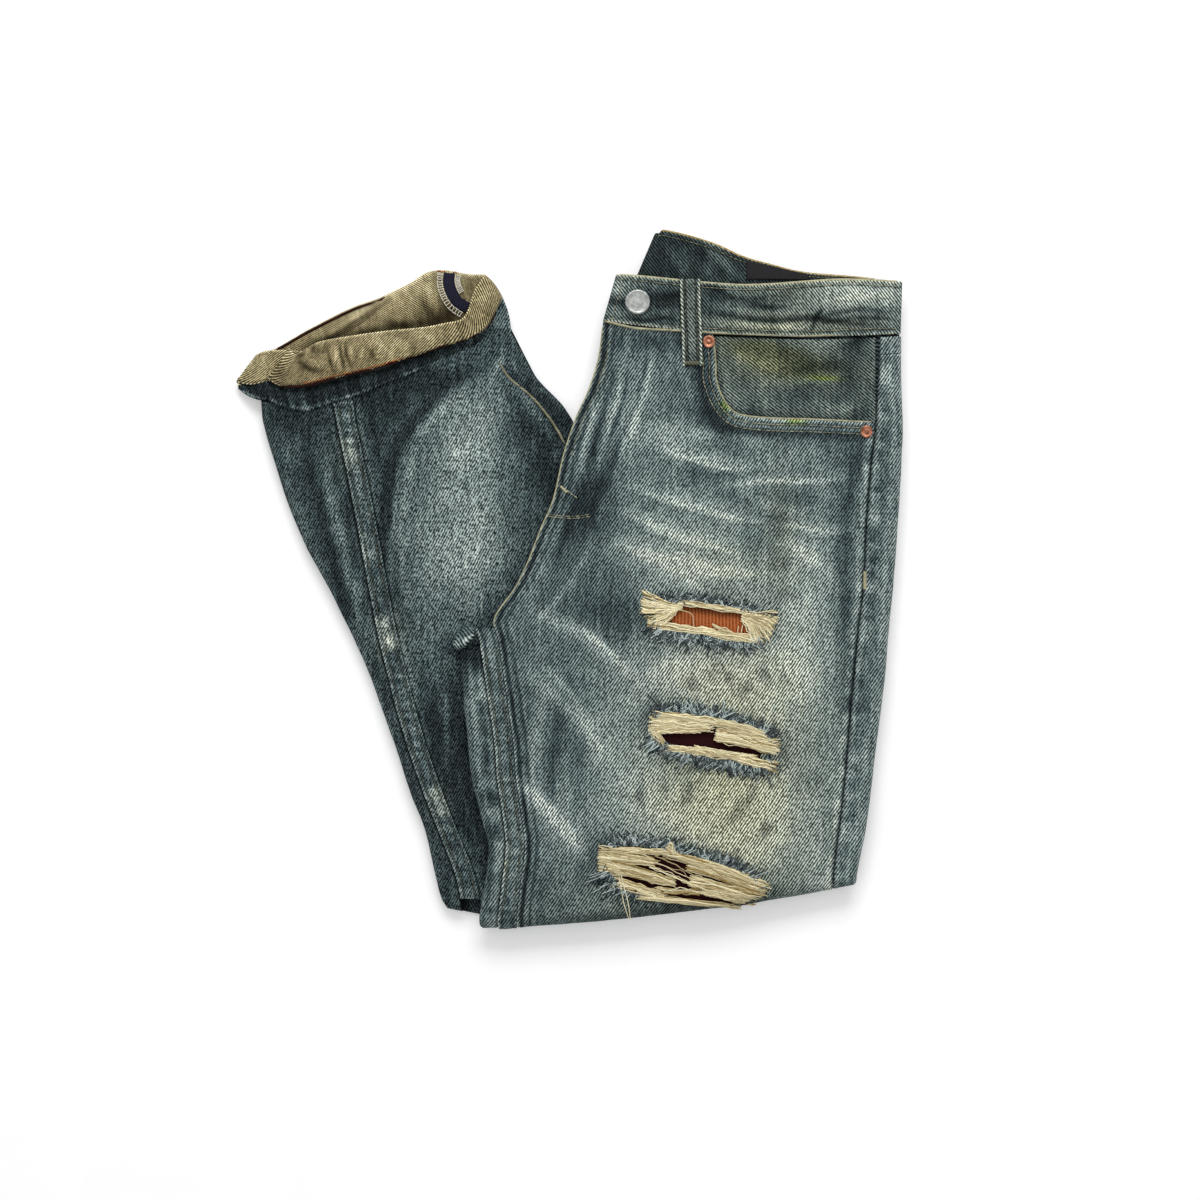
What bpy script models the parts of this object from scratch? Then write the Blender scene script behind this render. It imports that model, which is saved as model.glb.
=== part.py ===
"""Ripped jeans, folded in half down the centre, then with both legs folded under at the knee.

Frame: +Z up, the table at z = 0, +Y towards the waist, +X towards the side seam.
The wearer's left half lies on top.  The right lower leg comes out at -X, with its hem turned up.
Every size and table is in millimetres, and MM turns it into metres.
"""

import math

import bmesh
import bpy
import numpy as np

MM = 0.001

# ---------------------------------------------------------------- driving sizes
CLOTH = 1.2             # wall of one denim layer
BAND = 2.4              # doubled cloth: waistband, turned-up cuff
GAP = 0.3               # air between sewn pieces
UNDER = 1.0             # wall of the layer right under the front: facing and patches
FACING_DEPTH = CLOTH + GAP
CORE_DEPTH = FACING_DEPTH + UNDER + GAP
FOLD_RADIUS = 3.6       # folded side edge of one flattened leg
KNEE_RADIUS = 10.0      # half the height of the pile where it folds at the knee
FELL_WIDTH = 13.3       # felled inseam
FELL_RAISE = 0.8
WAISTBAND_RAISE = 0.8
BACK_BAND_DROP = 4.2    # inner face of the back waistband below the front waistband's face
NOTCH_DEPTH = 18.0      # how far the lower leg slides under the pile
NOTCH_HEIGHT = 9.0
BUTTON_RADIUS = 8.8
RIVET_RADIUS = 4.5
LOOP_X = 85.0
LOOP_WIDTH = 14.0
LOOP_WALL = 2.0
LOOP_LEAN = 0.035       # sideways lean of the belt loop per millimetre up
BAND_FOLD_RADIUS = 3.2  # side fold of the doubled waistband
LABEL_X = 123.5
LABEL_Y = 209.6
LABEL_LENGTH = 44.0
LABEL_HEIGHT = 13.4
LABEL_SLOPE = -0.22
SIDE_IN = 5.6           # reach of the folded edges of the hidden layers
NOSE_DEPTH = 1.6        # how far each of those folded edges stands out of its groove
ROLL_LIMIT = 165.0      # how far round the knee the front panel is modelled
FOLD_TURNS = (0.0, 35.0, 70.0, 105.0, 140.0, 172.0)

# ---------------------------------------------------------------- section tables
# The pile, from the waist seam to the start of the knee fold.
PILE_COLUMNS = ("left_x", "left_y", "front_x", "outseam_x", "right_x", "right_y",
                "left_z", "middle_z", "right_z")
PILE_ROWS = (
    (23.5, 180.3, 23.5, 216.7, 232.5, 171.5, 17.0, 20.5, 15.0),
    (20.4, 155.8, 20.4, 216.2, 232.2, 150.0, 17.5, 21.5, 15.0),
    (13.7, 133.4, 13.7, 215.2, 232.8, 127.0, 18.0, 22.0, 15.0),
    (4.6, 113.0, 4.6, 214.0, 233.5, 105.0, 18.5, 22.5, 15.0),
    (-4.2, 86.5, -4.2, 211.0, 232.5, 80.0, 18.5, 23.0, 15.0),
    (-11.0, 57.0, -11.0, 208.7, 231.0, 52.0, 18.5, 23.5, 15.0),
    (-20.0, 35.4, -20.0, 207.3, 229.5, 32.0, 18.5, 23.5, 15.0),
    (-28.4, 13.7, -28.4, 206.3, 228.0, 10.0, 18.5, 23.5, 15.0),
    (-37.5, -5.3, -37.5, 205.2, 226.5, -8.0, 18.5, 23.5, 15.0),
    (-52.2, -27.0, -52.2, 203.0, 224.6, -27.0, 18.5, 23.5, 15.0),
    (-75.0, -43.0, -49.4, 201.2, 223.2, -42.0, 19.0, 23.5, 15.0),
    (-75.0, -66.9, -45.9, 199.3, 221.5, -64.0, 19.0, 23.5, 15.0),
    (-73.5, -90.0, -42.5, 197.2, 219.0, -86.0, 19.0, 23.0, 15.0),
    (-71.0, -116.0, -38.9, 195.0, 215.5, -112.0, 19.0, 22.5, 15.0),
    (-68.5, -139.0, -37.2, 193.0, 212.7, -135.0, 19.0, 22.0, 15.0),
    (-62.0, -165.6, -33.3, 190.4, 210.0, -158.0, 19.0, 21.5, 15.5),
    (-56.8, -188.0, -31.2, 187.9, 207.0, -178.0, 19.0, 21.0, 16.0),
    (-59.5, -214.0, -34.0, 185.6, 203.5, -194.0, 19.0, 20.5, 16.5),
    (-63.0, -236.0, -36.5, 184.3, 201.0, -207.0, 18.5, 20.0, 16.5),
)
PILE_END = len(PILE_ROWS) - 1
KNEE_SAG = -3.0         # bow of the last rows towards the knee
WAIST_SAG = -6.0        # bow of the waist seam
CROTCH_ROW = 10         # first row that has the inseam and the back strip

# The right lower leg, from the knee to the turned-up hem.
LEG_COLUMNS = ("left_x", "left_y", "right_x", "right_y", "inseam_x", "valley_x", "ridge_x",
               "left_z", "inseam_z", "valley_z", "ridge_z", "right_z")
LEG_ROWS = (
    (-86.0, -231.0, -50.0, -238.0, -75.0, -66.0, -60.0, 8.0, 9.0, 8.5, 8.0, 6.5),
    (-90.5, -223.0, -47.0, -225.0, -76.5, -66.0, -60.0, 9.0, 10.5, 9.0, 8.5, 6.5),
    (-94.9, -205.5, -45.0, -206.0, -80.5, -69.0, -62.0, 10.0, 11.5, 9.0, 9.0, 6.5),
    (-101.9, -175.4, -45.0, -178.0, -92.0, -78.0, -67.0, 10.0, 12.0, 9.0, 9.5, 6.5),
    (-112.4, -148.0, -52.0, -148.0, -103.0, -88.0, -77.0, 10.0, 12.0, 9.5, 10.5, 6.5),
    (-122.2, -118.0, -57.0, -118.0, -113.2, -99.0, -85.0, 10.0, 12.5, 10.0, 11.5, 6.5),
    (-132.0, -90.7, -60.0, -88.0, -121.5, -107.0, -93.0, 10.0, 13.0, 10.0, 12.0, 6.5),
    (-141.1, -65.5, -62.0, -62.0, -127.8, -114.0, -102.0, 10.0, 13.0, 10.0, 13.0, 6.5),
    (-152.3, -40.3, -54.0, -38.0, -134.0, -120.0, -108.0, 10.0, 13.0, 10.5, 14.5, 6.5),
    (-167.0, -10.2, -32.0, -12.0, -139.7, -126.0, -113.0, 10.0, 13.0, 11.0, 17.0, 6.5),
    (-184.5, 22.1, -15.0, 28.0, -146.0, -131.0, -115.0, 10.0, 13.0, 11.5, 20.0, 6.5),
    (-198.5, 55.0, 0.0, 64.0, -152.3, -136.0, -113.0, 10.0, 14.0, 12.5, 23.0, 7.0),
    (-209.7, 90.7, 6.0, 98.0, -159.3, -135.0, -105.0, 10.0, 15.0, 14.0, 25.0, 7.0),
    (-213.5, 104.0, -3.0, 120.0, -162.5, -132.0, -98.0, 10.0, 16.0, 16.0, 26.0, 8.0),
    (-216.0, 113.0, -24.0, 143.0, -164.5, -130.0, -90.0, 10.5, 17.0, 19.0, 26.5, 9.5),
    (-217.0, 126.0, -43.0, 174.0, -166.0, -128.0, -84.0, 11.0, 17.5, 21.5, 26.0, 12.0),
)
LEG_END = len(LEG_ROWS) - 1
LEG_PLACES = ("left", "inseam", "valley", "ridge", "right")
LEG_EDGE = 4.0          # half height of the folded side edge of the lower leg
LEG_FOLD_WIDTH = 5.0      # width of the half-round left fold of the lower leg
FOLD_SLIT = 0.003         # half the slit between the fold and the wall under it, along the tube

# Where the lower leg meets the turned-up hem, above and below.
HEM_COLUMNS = ("x", "upper_y", "lower_y")
HEM_ROWS = (
    (-217.0, 125.0, 128.0),
    (-200.0, 122.5, 132.8),
    (-179.0, 119.5, 137.4),
    (-165.0, 124.0, 141.8),
    (-147.0, 129.5, 148.5),
    (-130.0, 137.0, 154.8),
    (-107.0, 146.0, 163.2),
    (-97.0, 150.0, 165.8),
    (-86.0, 154.5, 168.2),
    (-68.0, 161.5, 171.5),
    (-54.0, 174.0, 176.5),
    (-43.0, 178.0, 180.0),
)

# The turned-up cuff, once round the mouth: from its upper left edge over the top to the right,
# round the right side, back along the table, and over the left lobe to its end under the top.
CUFF_COLUMNS = ("rim_x", "rim_y", "rim_z", "hem_x", "hem_y", "hem_z")
CUFF_ROWS = (
    (-194.0, 160.0, 12.2, -208.0, 140.5, 12.0),
    (-195.6, 160.8, 13.2, -210.0, 140.0, 13.0),
    (-190.0, 157.5, 15.0, -202.0, 135.5, 14.5),
    (-176.0, 165.5, 20.0, -185.0, 135.0, 17.5),
    (-152.3, 169.8, 25.0, -160.0, 141.0, 21.0),
    (-125.0, 173.3, 28.0, -132.0, 147.5, 25.0),
    (-101.0, 175.4, 30.5, -106.0, 156.0, 27.0),
    (-86.5, 178.2, 30.5, -86.5, 162.5, 27.0),
    (-75.0, 181.0, 29.0, -68.3, 168.6, 24.0),
    (-70.0, 189.0, 27.0, -56.5, 178.2, 18.5),
    (-66.5, 201.0, 24.0, -51.0, 190.5, 13.0),
    (-60.5, 211.5, 17.0, -48.5, 196.0, 7.0),
    (-62.0, 214.0, 10.0, -50.0, 190.0, 3.4),
    (-71.0, 214.5, 6.5, -61.0, 176.0, 1.4),
    (-88.6, 217.5, 5.5, -80.0, 172.0, 1.3),
    (-101.0, 215.5, 5.0, -93.0, 169.0, 1.3),
    (-112.4, 208.3, 4.5, -105.0, 165.0, 1.3),
    (-134.0, 196.5, 4.0, -124.0, 158.0, 1.3),
    (-153.0, 188.5, 3.6, -143.0, 151.0, 1.3),
    (-183.0, 172.5, 3.4, -171.0, 141.5, 1.3),
    (-205.0, 163.5, 3.4, -201.0, 135.0, 1.4),
    (-217.0, 158.5, 4.6, -228.0, 136.0, 3.0),
    (-218.5, 158.0, 6.6, -233.5, 138.5, 5.5),
    (-213.0, 160.5, 8.4, -223.0, 137.0, 8.0),
    (-201.0, 161.0, 9.3, -210.0, 139.5, 8.8),
    (-186.0, 160.0, 9.8, -198.0, 139.5, 9.3),
)

# The doubled blue hem that ends the cuff, along its upper side.
HEM_BAND_COLUMNS = ("x", "top_y", "low_y", "z")
HEM_BAND_ROWS = (
    (-212.0, 137.5, 128.5, 12.0),
    (-201.0, 134.0, 124.0, 14.3),
    (-184.0, 133.0, 121.0, 16.8),
    (-166.0, 137.0, 126.0, 19.0),
    (-147.0, 142.0, 131.5, 21.8),
    (-130.0, 145.5, 138.8, 23.6),
    (-108.0, 154.5, 147.2, 25.2),
    (-90.0, 160.2, 154.2, 25.6),
    (-71.0, 167.0, 161.8, 22.6),
)

# Waistbands: the seam or lower edge, then the upper edge.
BAND_COLUMNS = ("low_x", "low_y", "top_x", "top_y")
FRONT_BAND_ROWS = (
    (23.5, 180.8, 32.6, 213.2),
    (36.0, 177.4, 41.0, 212.6),
    (49.4, 174.8, 52.0, 211.8),
    (77.4, 173.4, 78.8, 209.0),
    (99.0, 172.0, 100.0, 207.0),
    (120.0, 171.2, 120.0, 205.8),
    (141.0, 170.4, 141.0, 206.4),
    (165.0, 169.8, 162.0, 208.0),
    (187.0, 170.6, 186.6, 209.7),
    (209.0, 171.8, 209.0, 209.6),
    (228.7, 172.0, 230.0, 208.6),
)
BACK_BAND_ROWS = (
    (48.5, 208.5, 63.0, 242.5),
    (52.0, 206.8, 66.5, 244.3),
    (72.0, 201.5, 85.8, 239.8),
    (90.0, 197.0, 104.0, 233.8),
    (110.0, 193.0, 121.5, 225.8),
    (135.0, 190.5, 141.0, 220.2),
    (160.0, 190.0, 163.5, 214.8),
    (198.0, 190.0, 199.0, 211.8),
    (214.0, 190.5, 214.0, 210.2),
)

# Sections of the hidden layers above the waist seam: their ends, depth under the band and bow.
WAIST_CORE_ROWS = (
    (62.5, 236.0, 217.0, 206.5, 6.9, -7.0),
    (50.0, 212.0, 228.0, 203.5, 6.9, -2.0),
    (30.5, 202.0, 229.5, 197.0, 6.9, 0.0),
    (27.5, 186.5, 230.0, 184.0, 6.9, 0.0),
    (25.5, 182.5, 230.0, 181.0, 3.4, -1.5),
)
CORE_ACROSS = (0.0, 0.03, 0.12, 0.26, 0.42, 0.58, 0.74, 0.88, 0.97, 1.0)
NOTCH_ROW = 2.4         # row below which the lower leg lies under the pile's left edge

# The curved pocket opening, from the waist seam to the side seam.
POCKET_CURVE = ((99.8, 176.0), (101.9, 151.6), (102.2, 139.7), (106.8, 127.0), (113.0, 118.5),
                (121.0, 114.5), (140.0, 112.4), (168.0, 111.7), (211.0, 109.8))

# Rips: the hole worn in the denim, and the clear opening left between its pale threads.
RIP_COLUMNS = ("x", "y", "half_length", "half_height", "tilt",
               "clear_x", "clear_y", "clear_length", "clear_height")
RIP_ROWS = (
    (98.5, -28.0, 41.0, 11.0, -8.0, 94.0, -27.0, 28.0, 5.0),
    (100.5, -110.5, 43.0, 15.0, -12.0, 88.5, -113.5, 15.0, 5.5),
    (77.5, -208.0, 54.0, 17.0, -14.0, 80.0, -208.5, 16.0, 6.0),
)

# Large soft folds: a ridge between two points, or a trough where the height is negative.
FOLD_COLUMNS = ("from_x", "from_y", "to_x", "to_y", "width", "height")
PILE_FOLDS = (
    (60.0, 160.0, 18.0, 70.0, 9.0, 0.9),
    (0.0, -38.0, 38.0, -63.0, 9.0, 1.2),
    (-20.0, -62.0, 2.0, -90.0, 8.0, 1.0),
    (-37.0, -141.0, 7.0, -192.0, 9.0, 1.2),
    (189.0, 60.0, 172.0, -185.0, 9.0, -0.9),
    (150.0, 60.0, 60.0, 40.0, 9.0, 0.7),
)
LEG_FOLDS = (
    (-182.0, 104.0, -146.0, -18.0, 8.0, -1.4),
    (-206.0, 98.0, -176.0, 20.0, 7.0, 1.2),
    (-90.0, -78.0, -87.0, -150.0, 6.0, 1.0),
    (-60.0, 150.0, -20.0, 96.0, 9.0, 1.6),
    (-66.0, 146.0, -52.0, 60.0, 12.0, -1.6),
)


# ---------------------------------------------------------------- reading the tables
def table(columns, rows):
    """A dictionary of arrays, one for each named column."""
    values = np.array(rows, dtype=float)
    return {name: values[:, index] for index, name in enumerate(columns)}


PILE = table(PILE_COLUMNS, PILE_ROWS)
LEG = table(LEG_COLUMNS, LEG_ROWS)
HEM = table(HEM_COLUMNS, HEM_ROWS)
CUFF = table(CUFF_COLUMNS, CUFF_ROWS)
HEM_BAND = table(HEM_BAND_COLUMNS, HEM_BAND_ROWS)
FRONT_BAND = table(BAND_COLUMNS, FRONT_BAND_ROWS)
BACK_BAND = table(BAND_COLUMNS, BACK_BAND_ROWS)
RIPS = table(RIP_COLUMNS, RIP_ROWS)


def smooth(column, station):
    """Catmull-Rom curve through one column, read at fractional row numbers."""
    station = np.clip(np.asarray(station, dtype=float), 0.0, len(column) - 1.0)
    first = np.minimum(station.astype(int), len(column) - 2)
    t = station - first
    padded = np.concatenate([[2 * column[0] - column[1]], column, [2 * column[-1] - column[-2]]])
    a, b, c, d = (padded[first + k] for k in range(4))
    square = (2 * a - 5 * b + 4 * c - d) * t ** 2
    cube = (3 * b - a - 3 * c + d) * t ** 3
    return 0.5 * (2 * b + (c - a) * t + square + cube)


def soft_step(t):
    """Smooth rise from 0 to 1 with level ends."""
    t = np.clip(t, 0.0, 1.0)
    return t * t * (3.0 - 2.0 * t)


def quarter_drop(distance, radius):
    """Drop of a quarter-round edge at a distance inside it."""
    inside = np.clip(1.0 - distance / radius, 0.0, 1.0)
    return radius * (1.0 - np.sqrt(1.0 - inside ** 2))


def fold_height(rows, x, y):
    """Sum of soft ridges: a bell across each line, fading out at both of its ends."""
    total = np.zeros(np.broadcast(x, y).shape)
    for from_x, from_y, to_x, to_y, width, height in rows:
        length = math.hypot(to_x - from_x, to_y - from_y)
        along_x = (to_x - from_x) / length
        along_y = (to_y - from_y) / length
        along = (x - from_x) * along_x + (y - from_y) * along_y
        across = (y - from_y) * along_x - (x - from_x) * along_y
        fade = soft_step(along / (0.25 * length)) * soft_step((length - along) / (0.25 * length))
        total = total + height * fade * np.exp(-(across / width) ** 2)
    return total


# ---------------------------------------------------------------- the pile's surface
def pile_line(station, x):
    """Row line at a station: its y at x, and how far x lies across it, from 0 to 1."""
    left_x = smooth(PILE["left_x"], station)
    right_x = smooth(PILE["right_x"], station)
    across = (x - left_x) / (right_x - left_x)
    left_y = smooth(PILE["left_y"], station)
    right_y = smooth(PILE["right_y"], station)
    bow = KNEE_SAG * soft_step(np.asarray(station) / PILE_END * 2.0 - 1.0)
    bow = bow + WAIST_SAG * soft_step(1.0 - np.asarray(station) / 2.0)
    y = left_y + (right_y - left_y) * across + bow * 4.0 * across * (1.0 - across)
    return y, across


def crown_height(station, across):
    """Height across a row without folds: a flat-topped crown between its two edges."""
    left_z = smooth(PILE["left_z"], station)
    right_z = smooth(PILE["right_z"], station)
    rise = smooth(PILE["middle_z"], station) - 0.5 * (left_z + right_z)
    edge = np.clip(across, 0.0, 1.0)
    return left_z + (right_z - left_z) * edge + rise * (1.0 - np.abs(2.0 * edge - 1.0) ** 3)


def pile_height(station, x, y, across):
    """Height of the pile's top with its folds."""
    return crown_height(station, across) + fold_height(PILE_FOLDS, x, y)


def pile_point(station, x, depth=0.0, roll=0.0, drop=0.0):
    """Point of the pile's top at a row and an x, a depth below it, turned round the knee by roll."""
    station, x, roll = np.broadcast_arrays(np.asarray(station, float), np.asarray(x, float), roll)
    y, across = pile_line(station, x)
    z = pile_height(station, x, y, across) - depth - drop
    reach = z - KNEE_RADIUS
    return np.stack([x, y - reach * np.sin(roll), KNEE_RADIUS + reach * np.cos(roll)], axis=-1)


def knee_edge(x):
    """The y of the fold's outermost line at x."""
    y, across = pile_line(float(PILE_END), x)
    return y - (pile_height(float(PILE_END), x, y, across) - KNEE_RADIUS)


def short_of_knee(x, y):
    """Squeezes places near the knee fold so that none lies beyond its edge."""
    edge = knee_edge(x)
    return np.where(y < edge + 8.0, edge + 8.0 - (edge + 8.0 - y) * 0.42, y)


def on_pile(x, y, depth=0.0):
    """Point of the pile's top above a place on the table, read back through the row lines."""
    x = np.atleast_1d(np.asarray(x, float))
    y = np.atleast_1d(np.asarray(y, float))
    stations = np.linspace(0.0, PILE_END, 400)
    lines, _ = pile_line(stations[:, None], x[None, :])
    station = np.array([np.interp(-y[i], -lines[:, i], stations) for i in range(len(x))])
    beyond = np.maximum(lines[-1] - y, 0.0)
    above = np.maximum(y - lines[0], 0.0)
    top = pile_point(station, x, depth)
    reach = top[:, 2] - KNEE_RADIUS
    roll = np.arcsin(np.clip(beyond / (reach + depth), 0.0, 0.98))
    point = pile_point(station, x, depth, roll)
    point[:, 1] += above
    return point


# ---------------------------------------------------------------- the lower leg's surface
def leg_point(around, station):
    """Point of the lower leg's tube.

    around 0 to 1 runs along the table from right to left, and 1 to 2 over the top from left to right.
    Both folded sides are half-round, the table side is flat and the top follows the row's heights.
    """
    around, station = np.broadcast_arrays(np.mod(around, 2.0), np.asarray(station, float))
    upper = around > 1.0
    part = np.where(upper, around - 1.0, 1.0 - around)
    across = 0.5 - 0.5 * np.cos(np.pi * part)
    left_x = smooth(LEG["left_x"], station)
    right_x = smooth(LEG["right_x"], station)
    x = left_x + (right_x - left_x) * across
    straight = np.minimum(station, LEG_END - 1.0)
    y = smooth(LEG["left_y"], straight)
    y = y + (smooth(LEG["right_y"], straight) - y) * across
    hem_y = np.where(upper, np.interp(x, HEM["x"], HEM["upper_y"]), np.interp(x, HEM["x"], HEM["lower_y"]))
    y = y + (hem_y - y) * (station - straight)
    stops = [smooth(LEG[place + "_x"], station) for place in LEG_PLACES]
    heights = [smooth(LEG[place + "_z"], station) for place in LEG_PLACES]
    top = heights[0]
    for k in range(4):
        top = np.where(x > stops[k], heights[k] + (heights[k + 1] - heights[k])
                       * soft_step((x - stops[k]) / (stops[k + 1] - stops[k])), top)
    top = top + fold_height(LEG_FOLDS, x, y)
    side = np.minimum(x - left_x, right_x - x)
    edge_z = np.minimum(LEG_EDGE, 0.5 * top)
    radius = 5.0
    round_off = np.sqrt(np.clip(1.0 - np.clip(1.0 - side / radius, 0.0, 1.0) ** 2, 0.0, 1.0))
    knee_off = np.sqrt(np.clip(1.0 - np.clip(1.0 - (station + 0.02) / 0.9, 0.0, 1.0) ** 2, 0.0, 1.0))
    z_top = edge_z + (top - edge_z) * round_off * np.where(upper, knee_off, 1.0)
    z_low = edge_z * (1.0 - round_off)
    return np.stack([x, y, np.where(upper, z_top, z_low)], axis=-1)


def leg_around(x, station):
    """The around value of a place on the top of the lower leg at a given x."""
    left_x = smooth(LEG["left_x"], station)
    right_x = smooth(LEG["right_x"], station)
    across = np.clip((x - left_x) / (right_x - left_x), 0.0, 1.0)
    return 1.0 + np.arccos(1.0 - 2.0 * across) / np.pi


# ---------------------------------------------------------------- the cuff's surface
def cuff_point(station, across):
    """Point halfway through the cuff's cloth: across 0 at its rim and 1 at its hem."""
    rim = [smooth(CUFF["rim_" + axis], station) for axis in "xyz"]
    hem = [smooth(CUFF["hem_" + axis], station) for axis in "xyz"]
    return np.stack([r + (h - r) * across for r, h in zip(rim, hem)], axis=-1)


# ---------------------------------------------------------------- meshes
def material(name, colour, roughness, metallic=0.0):
    """A plain Principled material."""
    made = bpy.data.materials.new(name)
    made.use_nodes = True
    shader = made.node_tree.nodes["Principled BSDF"]
    shader.inputs["Base Color"].default_value = (*colour, 1.0)
    shader.inputs["Roughness"].default_value = roughness
    shader.inputs["Metallic"].default_value = metallic
    made.diffuse_color = (*colour, 1.0)
    return made


def add_object(name, points, faces, finish):
    """A closed mesh, in metres, with its faces turned outwards."""
    mesh = bpy.data.meshes.new(name)
    mesh.from_pydata((np.asarray(points) * MM).tolist(), [], faces)
    work = bmesh.new()
    work.from_mesh(mesh)
    bmesh.ops.recalc_face_normals(work, faces=work.faces)
    if work.calc_volume(signed=True) < 0.0:
        bmesh.ops.reverse_faces(work, faces=work.faces)
    work.to_mesh(mesh)
    work.free()
    mesh.materials.append(finish)
    mesh.shade_smooth()
    mesh.set_sharp_from_angle(angle=math.radians(40.0))
    made = bpy.data.objects.new(name, mesh)
    bpy.context.scene.collection.objects.link(made)
    return made


def grid_normals(grid):
    """Unit normals of a grid of points, from its central differences."""
    rows = np.gradient(grid, axis=0)
    columns = np.gradient(grid, axis=1)
    normal = np.cross(rows, columns)
    return normal / np.maximum(np.linalg.norm(normal, axis=-1, keepdims=True), 1e-9)


def wall(name, outer, inner, finish):
    """A wall of cloth between two skins with the same grid, closed along its four edges."""
    rows, columns = outer.shape[:2]
    points = np.concatenate([outer.reshape(-1, 3), inner.reshape(-1, 3)])
    index = np.arange(rows * columns).reshape(rows, columns)
    shift = rows * columns
    faces = []
    for i in range(rows - 1):
        for j in range(columns - 1):
            quad = (index[i, j], index[i, j + 1], index[i + 1, j + 1], index[i + 1, j])
            faces.append(quad)
            faces.append(tuple(int(k) + shift for k in reversed(quad)))
    rim = [*index[0, :-1], *index[:-1, -1], *index[-1, :0:-1], *index[:0:-1, 0]]
    for k, here in enumerate(rim):
        after = rim[(k + 1) % len(rim)]
        faces.append((after, here, here + shift, after + shift))
    return add_object(name, points, [tuple(int(k) for k in face) for face in faces], finish)


def tube(name, rings, finish):
    """A closed body through rings of equal size, with a flat cap at each end."""
    count, size = rings.shape[:2]
    index = np.arange(count * size).reshape(count, size)
    faces = []
    for i in range(count - 1):
        for j in range(size):
            k = (j + 1) % size
            faces.append((index[i, j], index[i, k], index[i + 1, k], index[i + 1, j]))
    faces.append(tuple(reversed(index[0])))
    faces.append(tuple(index[-1]))
    return add_object(name, rings.reshape(-1, 3), [tuple(int(k) for k in face) for face in faces], finish)


def disc(name, profile, centre, finish, steps=20):
    """A turned body: its profile of (radius, height) runs from the axis below to the axis above."""
    angles = np.linspace(0.0, 2.0 * np.pi, steps, endpoint=False)
    points = [(centre[0], centre[1], centre[2] + profile[0][1])]
    for radius, height in profile[1:-1]:
        for angle in angles:
            points.append((centre[0] + radius * math.cos(angle), centre[1] + radius * math.sin(angle),
                           centre[2] + height))
    points.append((centre[0], centre[1], centre[2] + profile[-1][1]))
    last = len(points) - 1
    faces = []
    for j in range(steps):
        k = (j + 1) % steps
        faces.append((0, 1 + k, 1 + j))
        for ring in range(len(profile) - 3):
            low = 1 + ring * steps
            faces.append((low + j, low + k, low + steps + k, low + steps + j))
        top = 1 + (len(profile) - 3) * steps
        faces.append((last, top + j, top + k))
    return add_object(name, points, faces, finish)


def cut_through(piece, name, outline):
    """Cuts an upright prism of a given outline out of a piece of cloth."""
    low, high = -10.0, 60.0
    count = len(outline)
    points = [(x, y, low) for x, y in outline] + [(x, y, high) for x, y in outline]
    faces = [tuple(reversed(range(count))), tuple(range(count, 2 * count))]
    faces += [(k, (k + 1) % count, (k + 1) % count + count, k + count) for k in range(count)]
    cutter = add_object(name, points, faces, piece.data.materials[0])
    cutter.hide_render = True
    cutter.display_type = "WIRE"
    cut = piece.modifiers.new(name, "BOOLEAN")
    cut.operation = "DIFFERENCE"
    cut.solver = "EXACT"
    cut.object = cutter


def rounded_outline(x, y, half_length, half_height, tilt, count=18):
    """Points round a soft rectangle, turned by its tilt in degrees."""
    angles = np.linspace(0.0, 2.0 * np.pi, count, endpoint=False)
    along = half_length * np.sign(np.cos(angles)) * np.abs(np.cos(angles)) ** 0.7
    up = half_height * np.sign(np.sin(angles)) * np.abs(np.sin(angles)) ** 0.7
    turn = math.radians(tilt)
    return np.stack([x + along * math.cos(turn) - up * math.sin(turn),
                     y + along * math.sin(turn) + up * math.cos(turn)], axis=-1)


# ---------------------------------------------------------------- finishes
def finishes():
    """The materials of the jeans."""
    return {
        "denim": material("denim", (0.15, 0.21, 0.25), 0.9),
        "denim_lower": material("denim_lower", (0.08, 0.12, 0.14), 0.9),
        "denim_inside": material("denim_inside", (0.28, 0.23, 0.13), 0.9),
        "denim_dark": material("denim_dark", (0.03, 0.05, 0.08), 0.9),
        "thread": material("pale_thread", (0.68, 0.58, 0.36), 0.95),
        "rust": material("rust_corduroy", (0.30, 0.08, 0.03), 0.95),
        "maroon": material("maroon_cloth", (0.03, 0.006, 0.008), 0.95),
        "tape": material("navy_tape", (0.01, 0.01, 0.03), 0.85),
        "label": material("black_satin", (0.006, 0.006, 0.008), 0.6),
        "copper": material("copper", (0.50, 0.16, 0.09), 0.35, 1.0),
        "nickel": material("nickel", (0.52, 0.52, 0.52), 0.3, 1.0),
    }


# ---------------------------------------------------------------- pieces of the pile
def pile_stations(first, rolls, last=PILE_END):
    """Every whole row down the pile from first, then the turn angles round the knee."""
    rows = np.arange(math.floor(first) + 1, last + 1)
    station = np.concatenate([[first], rows, np.full(len(rolls), PILE_END)])
    roll = np.concatenate([np.zeros(len(rows) + 1), np.radians(rolls)])
    return station[:, None], roll[:, None]


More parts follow.
